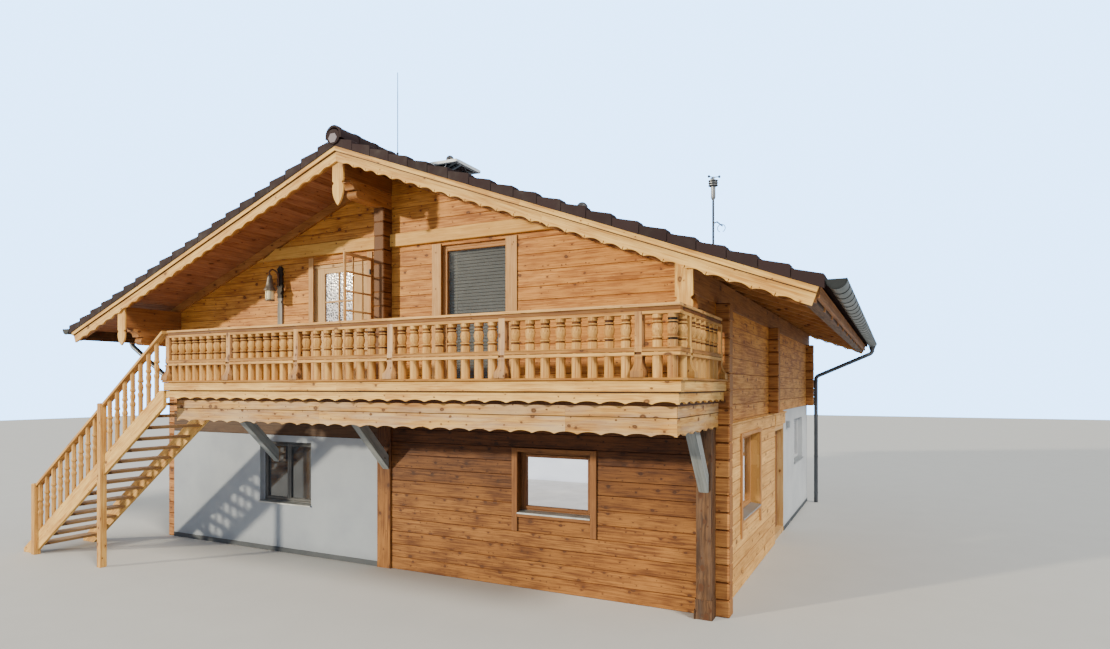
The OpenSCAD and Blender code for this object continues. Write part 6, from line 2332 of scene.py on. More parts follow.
@dataclass
class Stair(Assembly):
    """Outside flight at the balcony's left end."""

    # Turned form of a baluster: radius as a share of the widest, and height over the nose line.
    TURNING = ((0.8, 0.06), (0.8, 0.3), (0.86, 0.33), (1.0, 0.34), (1.0, 0.37), (0.74, 0.39), (0.7, 0.41),
               (0.86, 0.44), (0.95, 0.47), (0.86, 0.5), (0.66, 0.53), (0.74, 0.54), (1.0, 0.55), (1.0, 0.575),
               (0.82, 0.59), (0.8, 0.62))

    balcony: Balcony
    risers: int = 15
    pitch: float = math.radians(36.5)
    width: float = 1.0
    stringer_t: float = 0.05
    tread_t: float = 0.04
    rail_t: float = 0.045
    baluster_pitch: float = 0.191

    @property
    def going(self) -> float:
        """Depth of a step."""
        return self.house.floor / self.risers / math.tan(self.pitch)

    def line(self, x: float) -> float:
        """Returns the height of the line through the tread noses."""
        return self.house.floor + (x - self.balcony.left) * math.tan(self.pitch)

    def build(self) -> None:
        """Puts the flight's pieces into the scene."""
        h, b = self.house, self.balcony
        y = h.front - b.reach
        top_x = b.left
        foot_x = top_x - self.risers * self.going
        slant = (math.cos(self.pitch), 0.0, math.sin(self.pitch))
        frame = FRONT_PLANE
        sides = Joinery(101, 0.08)
        low_start = top_x - (h.floor - 0.24) / math.tan(self.pitch)
        outline = [(foot_x, 0.0), (low_start, 0.0), (top_x, self.line(top_x) - 0.24), (top_x, h.floor),
                   (top_x - 0.06 / math.tan(self.pitch), h.floor), (foot_x, self.line(foot_x) + 0.06)]
        for y0 in (y, y + self.width - self.stringer_t):
            sides.prism(outline, frame, y0, y0 + self.stringer_t, slant, bevel=(0.003, 0.003))
        self.shop.join("stair_sides", sides, SPRUCE, "fresh_spruce", ["stair_stringers"])
        riser = h.floor / self.risers
        tread = Joinery(102, 0.0)
        nose = [(top_x - self.going, h.floor - riser - self.tread_t),
                (top_x - self.going + 0.01, h.floor - riser - self.tread_t),
                (top_x - 0.002, h.floor - riser - self.tread_t), (top_x - 0.002, h.floor - riser),
                (top_x - self.going + 0.008, h.floor - riser), (top_x - self.going, h.floor - riser - 0.01)]
        tread.prism(nose, frame, y + self.stringer_t + GAP, y + self.width - self.stringer_t - GAP, Y_AXIS)
        self.rows.lay("stair_steps", tread, ((-self.going, 0.0, -riser), self.risers - 1), ONCE, FLOOR_BOARD,
                      "floor_boards", ["stair_treads"], 103, 0.1)
        newel_xs = (-4.0, foot_x + 1.5 * self.going)
        posts = Joinery(104, 0.06)
        for x in newel_xs:
            high = self.line(x) + b.rail_h + 0.04
            y0, y1 = y + self.stringer_t - 0.1, y + self.stringer_t
            posts.beam((x - 0.05, y0, 0.0005), (x + 0.05, y1, high - 0.02), Z_AXIS, 0.008)
            posts.prism([(x - 0.05, y0), (x + 0.05, y0), (x + 0.05, y1), (x - 0.05, y1)], GROUND_PLANE, high
                        - 0.0195, high, Z_AXIS, bevel=(0.0, 0.015))
        self.shop.join("stair_posts", posts, RAIL_SPRUCE, "railing_spruce", ["stair_newels"])
        rail = Joinery(105, 0.05)
        rail_y = y + self.stringer_t / 2
        stretches = ((newel_xs[1] + 0.0505, newel_xs[0] - 0.0505), (newel_xs[0] + 0.0505, top_x))
        for x0, x1 in stretches:
            sloping = band(x0, x1, lambda x: self.line(x) + (b.rail_h - self.rail_t), lambda x: self.line(x)
                           + b.rail_h)
            rail.prism(sloping, frame, rail_y - 0.055, rail_y + 0.055, slant, bevel=(0.006, 0.006))
        self.shop.join("stair_handrail", rail, RAIL_SPRUCE, "railing_spruce", ["stair_railing"])
        count = math.floor((self.risers - 1) * self.going / self.baluster_pitch)
        clear = [k for k in range(1, count + 1) if all(abs(top_x - k * self.baluster_pitch - x) > 0.085
                                                       for x in newel_xs) and top_x - k
                 * self.baluster_pitch > newel_xs[1]]
        groups: list[list[int]] = []
        for k in clear:
            if groups and groups[-1][-1] == k - 1:
                groups[-1].append(k)
            else:
                groups.append([k])
        for n, group in enumerate(groups):
            x = top_x - group[0] * self.baluster_pitch
            self.rows.lay(f"stair_balusters_{n + 1}", self.baluster(x, rail_y),
                          ((-self.baluster_pitch, 0.0, -self.baluster_pitch * math.tan(self.pitch)),
                           len(group)), ONCE, RAIL_SPRUCE, "railing_spruce", ["stair_railing"], 106 + n, 0.12,
                          smooth=50.0)

    def baluster(self, x: float, y: float) -> Joinery:
        """Builds a turned baluster of the flight, its ends cut to the slope.

        Args:
            x: place of its axis along the flight.
            y: place of its axis across it.

        Returns:
            The baluster.
        """
        r, z = 0.04, self.line(x)
        rail = self.balcony.rail_h - self.rail_t
        work = Joinery(107, 0.0)
        profile = (*self.TURNING, (0.8, rail))
        sides = 20
        slope = math.tan(self.pitch)
        points: list[Point] = []
        for k, (share, rise) in enumerate(profile):
            for i in range(sides):
                dx = r * share * math.cos(math.tau * i / sides)
                dy = r * share * math.sin(math.tau * i / sides)
                tilt = slope * dx if k in (0, len(profile) - 1) else 0.0
                points.append((x + dx, y + dy, z + rise + tilt))
        work.solid(points, skin(len(profile), sides), Z_AXIS)
        return work


@dataclass
class Windows(Assembly):
    """Frames with rebates and sashes, panes, sills, flat boards, the blind and the doors."""

    member: float = 0.07
    depth: float = 0.08
    reveal: float = 0.09
    door_reveal: float = 0.035
    tall_reveal: float = 0.045
    pane: float = 0.024
    trim_w: float = 0.09
    trim_t: float = 0.022
    trim_drop: float = 0.26
    lattice_w: float = 0.62
    lattice_bar: float = 0.045
    lattice_rows: int = 7
    slat_count: int = 41

    def frame(self, work: Joinery, o: Opening, axes: Axes, face: float, sashes: int = 1) -> None:
        """Adds a window frame with its sashes.

        Args:
            work: where it is added.
            o: left, bottom, right and top of the opening.
            axes: along the wall, up, and inwards.
            face: the frame's outer face along the third axis.
            sashes: number of sashes side by side.
        """
        m, d = self.member, self.depth
        x0, z0, x1, z1 = o[0] + GAP, o[1] + GAP, o[2] - GAP, o[3] - GAP
        outer = m * 0.55
        self._ring(work, (x0, z0, x1, z1), outer, axes, face + 0.008, face + d, 0.004)
        wide = (x1 - x0 - 2 * outer) / sashes
        for k in range(sashes):
            a = x0 + outer + k * wide
            b = a + wide
            self._ring(work, (a + 0.001, z0 + outer + 0.001, b - 0.001, z1 - outer - 0.001), m - outer
                       + 0.012, axes, face, face + d * 0.8, 0.007)

    def _ring(self, work: Joinery, o: Opening, width: float, axes: Axes, near: float, far: float,
              chamfer: float) -> None:
        """Adds four members round a rectangle, the upright ones running through.

        Args:
            work: where they are added.
            o: left, bottom, right and top of the rectangle.
            width: the members' width.
            axes: along the wall, up, and inwards.
            near: the ring's outer face.
            far: its inner face.
            chamfer: how far its front edges are cut.
        """
        u, v, w = axes
        x0, z0, x1, z1 = o
        near, far = min(near, far), max(near, far)
        inner = (x0 + width + 0.0004, x1 - width - 0.0004)
        for (low, high), reach, plane in (((x0, x1), (z0, z1), (u, w, v)), ((z0, z1), inner, (v, w, u))):
            for a, b in ((low, low + width), (high - width, high)):
                outline = [(a, near + chamfer), (a + chamfer, near), (b - chamfer, near), (b, near + chamfer),
                           (b, far), (a, far)]
                work.prism(outline, plane, *reach, plane[2])

    def pane_block(self, work: Joinery, o: Opening, axes: Axes, face: float, inset: float) -> None:
        """Adds a pane inside an opening.

        Args:
            work: where it is added.
            o: left, bottom, right and top of the opening.
            axes: along the wall, up, and inwards.
            face: the frame's outer face along the third axis.
            inset: width of the frame round it.
        """
        d = face + (self.depth - self.pane) / 2
        outline = [(o[0] + inset, o[1] + inset), (o[2] - inset, o[1] + inset), (o[2] - inset, o[3] - inset),
                   (o[0] + inset, o[3] - inset)]
        work.prism(outline, axes, d, d + self.pane, axes[1])

    def all_windows(self) -> list[tuple[Opening, Axes, float, int]]:
        """Returns each window's opening, axes, outer face and number of sashes."""
        h = self.house
        rows = [(FRONT_TIMBER_WINDOW, FRONT_PLANE, h.front + self.reveal, 1),
                (FRONT_PLASTER_WINDOW, FRONT_PLANE, h.front + self.reveal, 2),
                (BALCONY_WINDOW, FRONT_PLANE, h.front + self.tall_reveal, 1)]
        rows += [(o, BACK_WALL, -h.back + self.reveal, 2) for o in BACK_LOWER + BACK_UPPER]
        rows += [(o, wall, -h.half_w + self.reveal, 2) for wall in (RIGHT_WALL, SIDE_PLANE)
                 for o in (SIDE_WINDOW, SIDE_WINDOW_REAR)]
        return rows

    def sills(self) -> None:
        """Builds the sloping metal sills under the windows."""
        work = Joinery(121, 0.0)
        for o, axes, face, _ in self.all_windows():
            if o is BALCONY_WINDOW:
                continue
            u, v, w = axes
            clad = 0.035 if o is SIDE_WINDOW and w[0] < 0 else 0.0
            outer = face - self.reveal - clad
            near, far = outer - 0.03, face + 0.004
            outline = [(near, o[1] - 0.018), (near + 0.004, o[1] - 0.018), (near + 0.004, o[1] + 0.001),
                       (far, o[1] + 0.022), (far, o[1] + 0.0245), (near, o[1] + 0.0035)]
            work.prism(outline, (w, v, u), o[0] + 0.001, o[2] - 0.001, u)
        self.shop.join("window_sills", work, SILL_METAL, "roof_metal")

    def trims(self) -> None:
        """Builds the flat boards round two ground floor windows and the two upper openings."""
        h = self.house
        for name, o, (u, v, w), face, finish in (("front_window_boards", FRONT_TIMBER_WINDOW, FRONT_PLANE,
                                                  h.front, TRIM_DARK),
                                                 ("side_window_boards", SIDE_WINDOW, RIGHT_WALL, -h.half_w
                                                  - 0.035, JOINERY_WOOD)):
            work = Joinery(122, 0.08)
            for a in (o[0] - self.trim_w, o[2]):
                outline = box_outline(a, face - self.trim_t, a + self.trim_w, face - 0.0003, 0.005, 0.0)
                work.prism(outline, (u, w, v), o[1] - self.trim_drop, o[3] + 0.05, v)
            for z, high in ((o[3], 0.05), (o[1] - 0.06, 0.06)):
                outline = [(face - self.trim_t, z), (face - 0.0003, z), (face - 0.0003, z + high - 0.0003),
                           (face - self.trim_t, z + high - 0.0003)]
                work.prism(outline, (w, v, u), o[0] + GAP, o[2] - GAP, u)
            self.shop.join(name, work, finish, "joinery", ["window_trims"])
        upper = Joinery(123, 0.06)
        t, face = 0.014, h.front - 0.0003
        door, tall = UPPER_DOOR, BALCONY_WINDOW
        for x0, x1 in ((door[0] - 0.035, door[0] + 0.07), (door[2] - 0.07, door[2] + 0.035),
                       (tall[0] - 0.155, tall[0] + 0.008), (tall[2] - 0.183, tall[2] + 0.005)):
            upper.beam((x0, face - t, door[1] + 0.15), (x1, face, 4.925), Z_AXIS, 0.003)
        self.shop.join("upper_opening_boards", upper, TRIM_WOOD, "joinery")

    def blind(self) -> None:
        """Builds the slatted blind behind the tall window."""
        o = BALCONY_WINDOW
        y = self.house.front + self.tall_reveal + self.depth + 0.001
        slat = Joinery(124, 0.0)
        x0, x1 = o[0] + 0.006, o[2] - 0.055
        z = o[1] + 0.08
        outline = [(y, z), (y + 0.003, z), (y + 0.0115, z + 0.042), (y + 0.0085, z + 0.042)]
        slat.prism(outline, SIDE_PLANE, x0, x1, X_AXIS)
        count = self.slat_count
        step = (o[3] - 0.085 - z) / count
        self.rows.lay("blind_slats", slat, ((0.0, 0.0, step), count), ONCE, BLIND_SLAT, "blind",
                      ["balcony_window_blind"], 125, 0.08)
        bands = Joinery(126, 0.0)
        for x in (x0 + 0.19, x1 - 0.14):
            bands.beam((x, y - 0.0008, z), (x + 0.006, y - 0.0002, o[3] - 0.075), Z_AXIS, 0.0)
        bands.beam((x0 - 0.01, y + 0.002, o[3] - 0.085), (x1 + 0.01, y + 0.012, o[3] - 0.06), X_AXIS, 0.002)
        self.shop.join("blind_bands", bands, BLIND_BAND, "blind")

    def upper_door(self) -> None:
        """Builds the balcony door: frame, framed leaf, glazing bars and its leaded pane."""
        h = self.house
        o = UPPER_DOOR
        axes = FRONT_PLANE
        face = h.front + self.door_reveal
        work = Joinery(127, 0.06)
        m = 0.06
        self._ring(work, (o[0] + 0.001, o[1] + 0.001, o[2] - 0.001, o[3] - 0.001), m, axes, face, face
                   + self.depth, 0.005)
        leaf = (o[0] + m + 0.003, o[1] + 0.015, o[2] - m - 0.003, o[3] - m - 0.003)
        light = DOOR_LIGHT
        near, far = face + 0.012, face + self.depth - 0.004
        for a, b in ((leaf[0], light[0]), (light[2], leaf[2])):
            work.beam((a, near, leaf[1]), (b, far, leaf[3]), Z_AXIS, 0.004)
        for z0, z1 in ((light[3], leaf[3]), (light[1] - 0.13, light[1]), (leaf[1], leaf[1] + 0.17)):
            work.beam((light[0] + 0.0004, near, z0), (light[2] - 0.0004, far, z1), X_AXIS, 0.004)
        panel = (light[0], leaf[1] + 0.17, light[2], light[1] - 0.13)
        count = 6
        step = (panel[2] - panel[0]) / count
        for k in range(count):
            work.beam((panel[0] + k * step + 0.0006, near + 0.014, panel[1] + GAP),
                      (panel[0] + (k + 1) * step - 0.0006, far - 0.01, panel[3] - GAP), Z_AXIS, 0.004)
        bar = 0.026
        mid_x = (light[0] + light[2]) / 2
        work.beam((mid_x - bar / 2, near + 0.006, light[1]), (mid_x + bar / 2, near + 0.02, light[3]), Z_AXIS,
                  0.003)
        z = light[1] + (light[3] - light[1]) * 0.47
        work.beam((light[0], near + 0.0065, z - bar / 2), (light[2], near + 0.0195, z + bar / 2), X_AXIS,
                  0.003)
        self.shop.join("balcony_door", work, DOOR_WOOD, "joinery", ["upper_door"])
        iron = Joinery(128, 0.0)
        hx, hz = leaf[2] - 0.06, o[1] + 1.03
        iron.beam((hx - 0.016, near - 0.005, hz - 0.1), (hx + 0.016, near, hz + 0.1), Z_AXIS, 0.001,
                  bevel=(0.002, 0.002))
        iron.tube([(hx, near - 0.004, hz + 0.03), (hx, near - 0.05, hz + 0.03),
                   (hx - 0.02, near - 0.055, hz + 0.03), (hx - 0.12, near - 0.055, hz + 0.03)], 0.008, 10)
        self.shop.join("balcony_door_handle", iron, IRON, "iron")
        pane = Joinery(129, 0.0)
        pane.beam((light[0] + GAP, near + 0.024, light[1] + GAP),
                  (light[2] - GAP, near + 0.028, light[3] - GAP), Z_AXIS, 0.0)
        self.shop.join("balcony_door_lace_pane", pane, LACE, "pane_glass")

    def lattice(self) -> None:
        """Builds the open lattice leaf that stands out from the wall beside the door."""
        h = self.house
        work = Joinery(130, 0.08)
        bar = self.lattice_bar
        x0 = UPPER_DOOR[2] + 0.01
        x1 = x0 + 0.028
        y0, y1 = h.front - self.lattice_w, h.front
        z0, z1 = h.floor + 0.03, h.floor + 2.07
        for a, b in ((y0, y0 + bar), (y1 - bar, y1 - GAP)):
            work.beam((x0, a, z0), (x1, b, z1), Z_AXIS, 0.004)
        for a, b in ((z0, z0 + bar), (z1 - bar, z1)):
            work.beam((x0, y0 + 0.0455, a), (x1, y1 - 0.0455, b), Y_AXIS, 0.004)
        for i in (1, 2):
            y = y0 + i * self.lattice_w / 3
            work.beam((x0 + 0.001, y - 0.014, z0 + 0.0455), (x0 + 0.0138, y + 0.014, z1 - 0.0455), Z_AXIS,
                      0.003)
        for i in range(1, self.lattice_rows):
            z = z0 + i * (z1 - z0) / self.lattice_rows
            work.beam((x0 + 0.0142, y0 + 0.0455, z - 0.014), (x1 - 0.001, y1 - 0.0455, z + 0.014), Y_AXIS,
                      0.003)
        self.shop.join("lattice_leaf", work, TRIM_WOOD, "joinery", ["lattice_screen"])
        hinges = Joinery(131, 0.0)
        for z in (z0 + 0.22, z1 - 0.22):
            hinges.tube([(x0 + 0.014, y1 - 0.055, z - 0.04), (x0 + 0.014, y1 - 0.055, z + 0.04)], 0.0165, 12)
        self.shop.join("lattice_hinges", hinges, IRON, "iron")

    def terrace_door(self) -> None:
        """Builds the terrace door's frame boards and its moving leaf."""
        low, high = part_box("terrace_door_glass")
        self.shop.dress(["terrace_door_frame"], DOOR_FRAME_WOOD)
        self.shop.dress(["terrace_door"], DOOR_LEAF_WOOD)
        self.shop.dress(["terrace_door_glass"], GLASS)
        beads = Joinery(132, 0.04)
        x = high.x + GAP
        w = 0.022
        for y0, y1 in ((low.y, low.y + w), (high.y - w, high.y)):
            beads.beam((x, y0, low.z), (x + 0.016, y1, high.z), Z_AXIS, 0.005)
        for z0, z1 in ((low.z, low.z + w), (high.z - w, high.z)):
            beads.beam((x, low.y + w + GAP, z0), (x + 0.016, high.y - w - GAP, z1), Y_AXIS, 0.005)
        self.shop.join("terrace_door_beads", beads, JOINERY_WOOD, "joinery", body=Body.DOOR)
        grip = Joinery(133, 0.0)
        leaf_low, leaf_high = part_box("terrace_door")
        y = leaf_low.y + 0.055
        gx = leaf_high.x
        grip.beam((gx, y - 0.016, 1.02), (gx + 0.005, y + 0.016, 1.24), Z_AXIS, 0.0015, bevel=(0.002, 0.002))
        grip.tube([(gx + 0.003, y, 1.16), (gx + 0.045, y, 1.16), (gx + 0.05, y + 0.015, 1.16),
                   (gx + 0.05, y + 0.11, 1.16)], 0.008, 10)
        self.shop.join("terrace_door_grip", grip, ROOF_METAL, "iron", body=Body.DOOR)

    def build(self) -> None:
        """Puts the openings' pieces into the scene."""
        kinds = {FRONT_TIMBER_WINDOW: ("timber_wall", LOWER_FRAME, CLEAR_GLASS),
                 FRONT_PLASTER_WINDOW: ("plaster_wall", GREY_FRAME, DARK_GLASS),
                 SIDE_WINDOW_REAR: ("rear_side", PALE_FRAME, GLASS)}
        made: dict[str, tuple[Joinery, Joinery, object, object]] = {}
        for o, axes, face, sashes in self.all_windows():
            label, wood, glass = kinds.get(o, ("other", JOINERY_WOOD, GLASS))
            frames, panes, _, _ = made.setdefault(label, (Joinery(134, 0.06), Joinery(135, 0.0), wood, glass))
            self.frame(frames, o, axes, face, sashes)
            self.pane_block(panes, o, axes, face, self.member * 0.9)
        self.pane_block(made["other"][1], DOOR_LIGHT, FRONT_PLANE, self.house.front + self.reveal, 0.0)
        for label, (frames, panes, wood, glass) in made.items():
            self.shop.join(f"{label}_window_frames", frames, wood, "joinery", ["window_frames"])
            self.shop.join(f"{label}_window_panes", panes, glass, "pane_glass", ["window_glass"])
        self.sills()
        self.trims()
        self.blind()
        self.upper_door()
        self.lattice()
        self.terrace_door()


@dataclass
class Fittings(Assembly):
    """Wall lantern on its carved plank, roof window, vents, thin rod, weather mast and wall lamp."""

    lantern: Point = (-2.31, -4.97, 4.24)
    plank: tuple[float, ...] = (-2.36, 3.75, -2.23, 4.85)
    sash_x: float = 0.37
    sash_in: float = 0.16
    sash_length: float = 0.82
    sash_w: float = 0.66
    sash_deep: float = 0.046
    vents_at: tuple[tuple[float, float, float, float], ...] = ((0.3, 1.25, 0.43, 0.066),
                                                               (2.957, 0.8, 0.19, 0.085))
    rod_at: Flat = (0.62, -0.5)
    rod_h: float = 1.24
    mast_at: Flat = (4.95, 0.5)
    mast_h: float = 1.06
    lamp_box: Opening = (1.2, 1.98, 1.36, 2.12)

    def lantern_pieces(self) -> None:
        """Builds the lantern, its strap and its plank."""
        h = self.house
        x, y, z = self.lantern
        shell, glow = Joinery(141, 0.0), Joinery(142, 0.0)
        r = 0.098
        shell.turned([(0.74 * r, z), (0.8 * r, z + 0.003), (0.8 * r, z + 0.014), (0.7 * r, z + 0.018)],
                     (x, y, 0.0), 24)
        shell.turned([(0.9 * r, z + 0.172), (r, z + 0.176), (r, z + 0.184), (0.9 * r, z + 0.2),
                      (0.68 * r, z + 0.235), (0.57 * r, z + 0.28), (0.5 * r, z + 0.335), (0.4 * r, z + 0.385),
                      (0.37 * r, z + 0.415), (0.28 * r, z + 0.43), (0.14 * r, z + 0.44)], (x, y, 0.0), 28)
        for k in range(6):
            a = math.tau * (k + 0.5) / 6
            px, py = x + 0.745 * r * math.cos(a), y + 0.745 * r * math.sin(a)
            shell.tube([(px, py, z + 0.014), (px, py, z + 0.176)], 0.003, 8)
        glow.turned([(0.6 * r, z + 0.0185), (0.7 * r, z + 0.03), (0.73 * r, z + 0.09), (0.7 * r, z + 0.16),
                     (0.62 * r, z + 0.1715)], (x, y, 0.0), 24)
        path = [(x, y + b, z + a) for b, a in ((0.0, 0.436), (-0.012, 0.475), (0.012, 0.515), (0.06, 0.535),
                                               (0.12, 0.52), (0.165, 0.47), (0.18, 0.4), (0.182, 0.28))]
        strap = Joinery(140, 0.0)
        strap.tube(path, 0.013, 10)
        self.shop.join("lantern_strap", strap, STRAP, "iron", ["wall_lantern"])
        self.shop.join("lantern_iron", shell, LANTERN_ROOF, "iron", ["wall_lantern"])
        self.shop.join("lantern_glass", glow, LANTERN_GLASS, "pane_glass", ["wall_lantern"])
        x0, z0, x1, z1 = self.plank
        foot, carved = Joinery(143, 0.02), Joinery(144, 0.02)
        split = z + 0.07
        low = [(x1 - 0.012, z0), (x1 - 0.012, z - 0.03), (x1 - 0.03, z - 0.008), (x1 - 0.03, z + 0.008),
               (x1 - 0.012, z + 0.03), (x1 - 0.012, split)]
        high: list[Flat] = [(x1 - 0.004, split + GAP)]
        for k in range(5):
            base = split + 0.02 + k * 0.1
            high += [(x1 - 0.001, base), (x1 - 0.016, base + 0.03), (x1 - 0.003, base + 0.06),
                     (x1, base + 0.08)]
        high += [(x1 - 0.02, z1 - 0.03), (x1 - 0.045, z1)]
        for work, side in ((foot, low), (carved, high)):
            work.prism(side + [(x0 + x1 - a, b) for a, b in reversed(side)], FRONT_PLANE, h.front - 0.03,
                       h.front - 0.0003, Z_AXIS, bevel=(0.003, 0.0))
        self.shop.join("lantern_plank_foot", foot, PLANK_WOOD, "weathered_timber", ["wall_lantern"])
        self.shop.join("lantern_plank_top", carved, BLACK_WOOD, "weathered_timber", ["wall_lantern"])

    def tiles_z(self, x: float) -> float:
        """Returns the height of the tiles' highest line over a place on the slope."""
        return self.house.roof_z(x) + 0.125

    def roof_window(self) -> None:
        """Builds the roof window: a kerb with its flashing, a sash that stands ajar and its struts."""
        h = self.house
        x0, y0 = self.sash_x, h.front + self.sash_in
        length, wide = self.sash_length, self.sash_w
        x1 = x0 + length * math.cos(h.pitch)
        between = (y0 + 0.0505, y0 + wide - 0.0505)
        frame = FRONT_PLANE
        metal, pane = Joinery(144, 0.0), Joinery(145, 0.0)

        def kerb(a: float, b: float, low: float = 0.001, high: float = 0.038) -> list[Flat]:
            """Returns the kerb's outline between two places on the slope."""
            return band(a, b, lambda x: self.tiles_z(x) + low, lambda x: self.tiles_z(x) + high)

        for y in (y0, y0 + wide - 0.05):
            metal.prism(kerb(x0, x1), frame, y, y + 0.05, X_AXIS, bevel=(0.004, 0.004))
        for x in (x0, x1 - 0.05):
            metal.prism(kerb(x, x + 0.05), frame, *between, Y_AXIS)
        pane.prism(kerb(x0 + 0.05, x1 - 0.05, 0.002, 0.01), frame, y0 + 0.051, y0 + wide - 0.051, X_AXIS)
        top = self.tiles_z(x0) + 0.04
        fall = 0.02 / length

        def sash_z(x: float, drop: float) -> float:
            """Returns the height of a line of the sash, a drop under its upper face."""
            return top - drop - fall * (x - x0)

        def sash(a: float, b: float, low: float, high: float = 0.0) -> list[Flat]:
            """Returns the sash's outline between two places, from one drop to another."""
            return band(a, b, lambda x: sash_z(x, low), lambda x: sash_z(x, high))

        x2 = x0 + length
        deep = self.sash_deep
        for y in (y0, y0 + wide - 0.05):
            outline = [(x0 + 0.002, sash_z(x0, deep)), (x2 - 0.008, sash_z(x2, deep)),
                       (x2, sash_z(x2, deep - 0.008)), (x2, sash_z(x2, 0.004)), (x2 - 0.006, sash_z(x2, 0.0)),
                       (x0 + 0.002, sash_z(x0, 0.0))]
            metal.prism(outline, frame, y, y + 0.05, X_AXIS, bevel=(0.004, 0.004))
        for x in (x0 + 0.002, x2 - 0.06):
            metal.prism(sash(x, x + 0.06, deep), frame, *between, Y_AXIS)
        pane.prism(sash(x0 + 0.063, x2 - 0.061, 0.02, 0.006), frame, y0 + 0.051, y0 + wide - 0.051, X_AXIS)
        for y in (y0 + 0.06, y0 + wide - 0.06):
            metal.tube([(x0 + 0.5, y, self.tiles_z(x0 + 0.5) + 0.02), (x0 + 0.6, y, sash_z(x0 + 0.6, 0.02))],
                       0.006, 10)
        self.shop.join("roof_window_metal", metal, SASH_METAL, "roof_metal", ["roof_window"])
        self.shop.join("roof_window_panes", pane, ROOF_PANE, "pane_glass", ["roof_window"])

    def vents(self) -> None:
        """Builds the domed vents with their collars and flashings."""
        h = self.house
        work = Joinery(146, 0.0)
        for x, back, high, r in self.vents_at:
            y = h.front + back
            base, top = h.roof_z(x) + 0.1, self.tiles_z(x) + high
            profile = [(0.8 * r, base - 0.03), (0.8 * r, base + 0.05), (0.95 * r, base + 0.053),
                       (0.95 * r, base + 0.07), (0.8 * r, base + 0.075), (0.8 * r, top - 0.01),
                       (r, top - 0.006)]
            profile += [(r * math.cos(math.radians(a)), top + r * math.sin(math.radians(a)))
                        for a in (0, 15, 30, 45, 60, 75)]
            profile.append((0.02 * r, top + r))
            work.turned(profile, (x, y, 0.0), 28)
            half = 1.6 * r
            sides = (x - half, x + half)
            outline = band(*sides, lambda a: self.tiles_z(a) - 0.02, lambda a: self.tiles_z(a) + 0.01)
            work.prism(outline, FRONT_PLANE, y - half, y + half, X_AXIS, bevel=(0.006, 0.006))
        self.shop.join("domed_vents", work, DARK_SHEET, "roof_metal", ["roof_vents"])

    def masts(self) -> None:
        """Builds the thin rod and the weather mast with its plates, cups and side arm."""
        h = self.house
        work, rods = Joinery(147, 0.0), Joinery(149, 0.0)
        x, y = self.rod_at[0], h.front + self.rod_at[1]
        foot = h.roof_z(x) + 0.1
        top = self.tiles_z(x) + self.rod_h
        rods.turned([(0.018, foot), (0.018, foot + 0.05), (0.012, foot + 0.06), (0.006, foot + 0.065),
                     (0.006, top - 0.3), (0.0055, top - 0.28), (0.005, top - 0.001), (0.001, top)],
                    (x, y, 0.0), 16)
        rods.turned([(0.004, foot + 0.075), (0.016, foot + 0.08), (0.018, foot + 0.092),
                     (0.016, foot + 0.104), (0.004, foot + 0.109)], (x, y, 0.0), 16)
        x, y = self.mast_at[0], h.front + self.mast_at[1]
        foot = h.roof_z(x) + 0.1
        top = self.tiles_z(x) + self.mast_h
        rods.turned([(0.03, foot), (0.03, foot + 0.07), (0.022, foot + 0.085), (0.0145, foot + 0.09),
                     (0.0145, top - 0.33)], (x, y, 0.0), 16)
        arm = top - 0.62
        rods.tube([(x + a, y, arm + b) for a, b in ((0.01, 0.0), (0.05, 0.012), (0.085, -0.02),
                                                    (0.12, -0.05))], 0.008, 8)
        turns = [math.tau * k / 16 for k in range(-3, 12)]
        rods.tube([(x + 0.105 + 0.05 * math.cos(t), y, arm - 0.075 + 0.05 * math.sin(t)) for t in turns],
                  0.0045, 8)
        body = [(0.01, -0.331), (0.012, -0.325), (0.026, -0.3), (0.03, -0.29), (0.03, -0.15), (0.022, -0.145)]
        for z in (-0.14, -0.11, -0.08):
            body += [(0.058, z), (0.062, z + 0.003), (0.062, z + 0.011), (0.025, z + 0.016),
                     (0.024, z + 0.026)]
        body += [(0.018, -0.05), (0.014, -0.02), (0.002, -0.018)]
        work.turned([(r, top + z) for r, z in body], (x, y, 0.0), 24)
        for k in range(3):
            a = math.tau * k / 3
            c, s = math.cos(a), math.sin(a)
            rods.tube([(x, y, top - 0.028), (x + 0.062 * c, y + 0.062 * s, top - 0.028)], 0.006, 8)
            cup = arc(0.017, -80, 80, 8)
            rods.turned([(r, top - 0.028 + z) for r, z in cup], (x + 0.078 * c, y + 0.078 * s, 0.0), 14)
        self.shop.join("roof_mast_metal", work, STEEL, "mast_steel", ["roof_masts"])
        self.shop.join("roof_mast_rods", rods, DARK_STEEL, "mast_steel")

    def wall_lamp(self) -> None:
        """Builds the box lamp on the white wall beside the terrace door."""
        work = Joinery(148, 0.0)
        x = self.house.half_w
        y0, z0, y1, z1 = self.lamp_box
        rim = 0.015
        work.beam((x + 0.0003, y0, z0), (x + 0.06, y1, z1), Z_AXIS, 0.006, bevel=(0.006, 0.006))
        work.beam((x + 0.0605, y0 + rim, z0 + rim), (x + 0.066, y1 - rim, z1 - rim), Z_AXIS, 0.002)
        self.shop.join("wall_box_lamp", work, ROOF_METAL, "iron")

    def build(self) -> None:
        """Puts the fittings into the scene."""
        self.lantern_pieces()
        self.roof_window()
        self.vents()
        self.masts()
        self.wall_lamp()


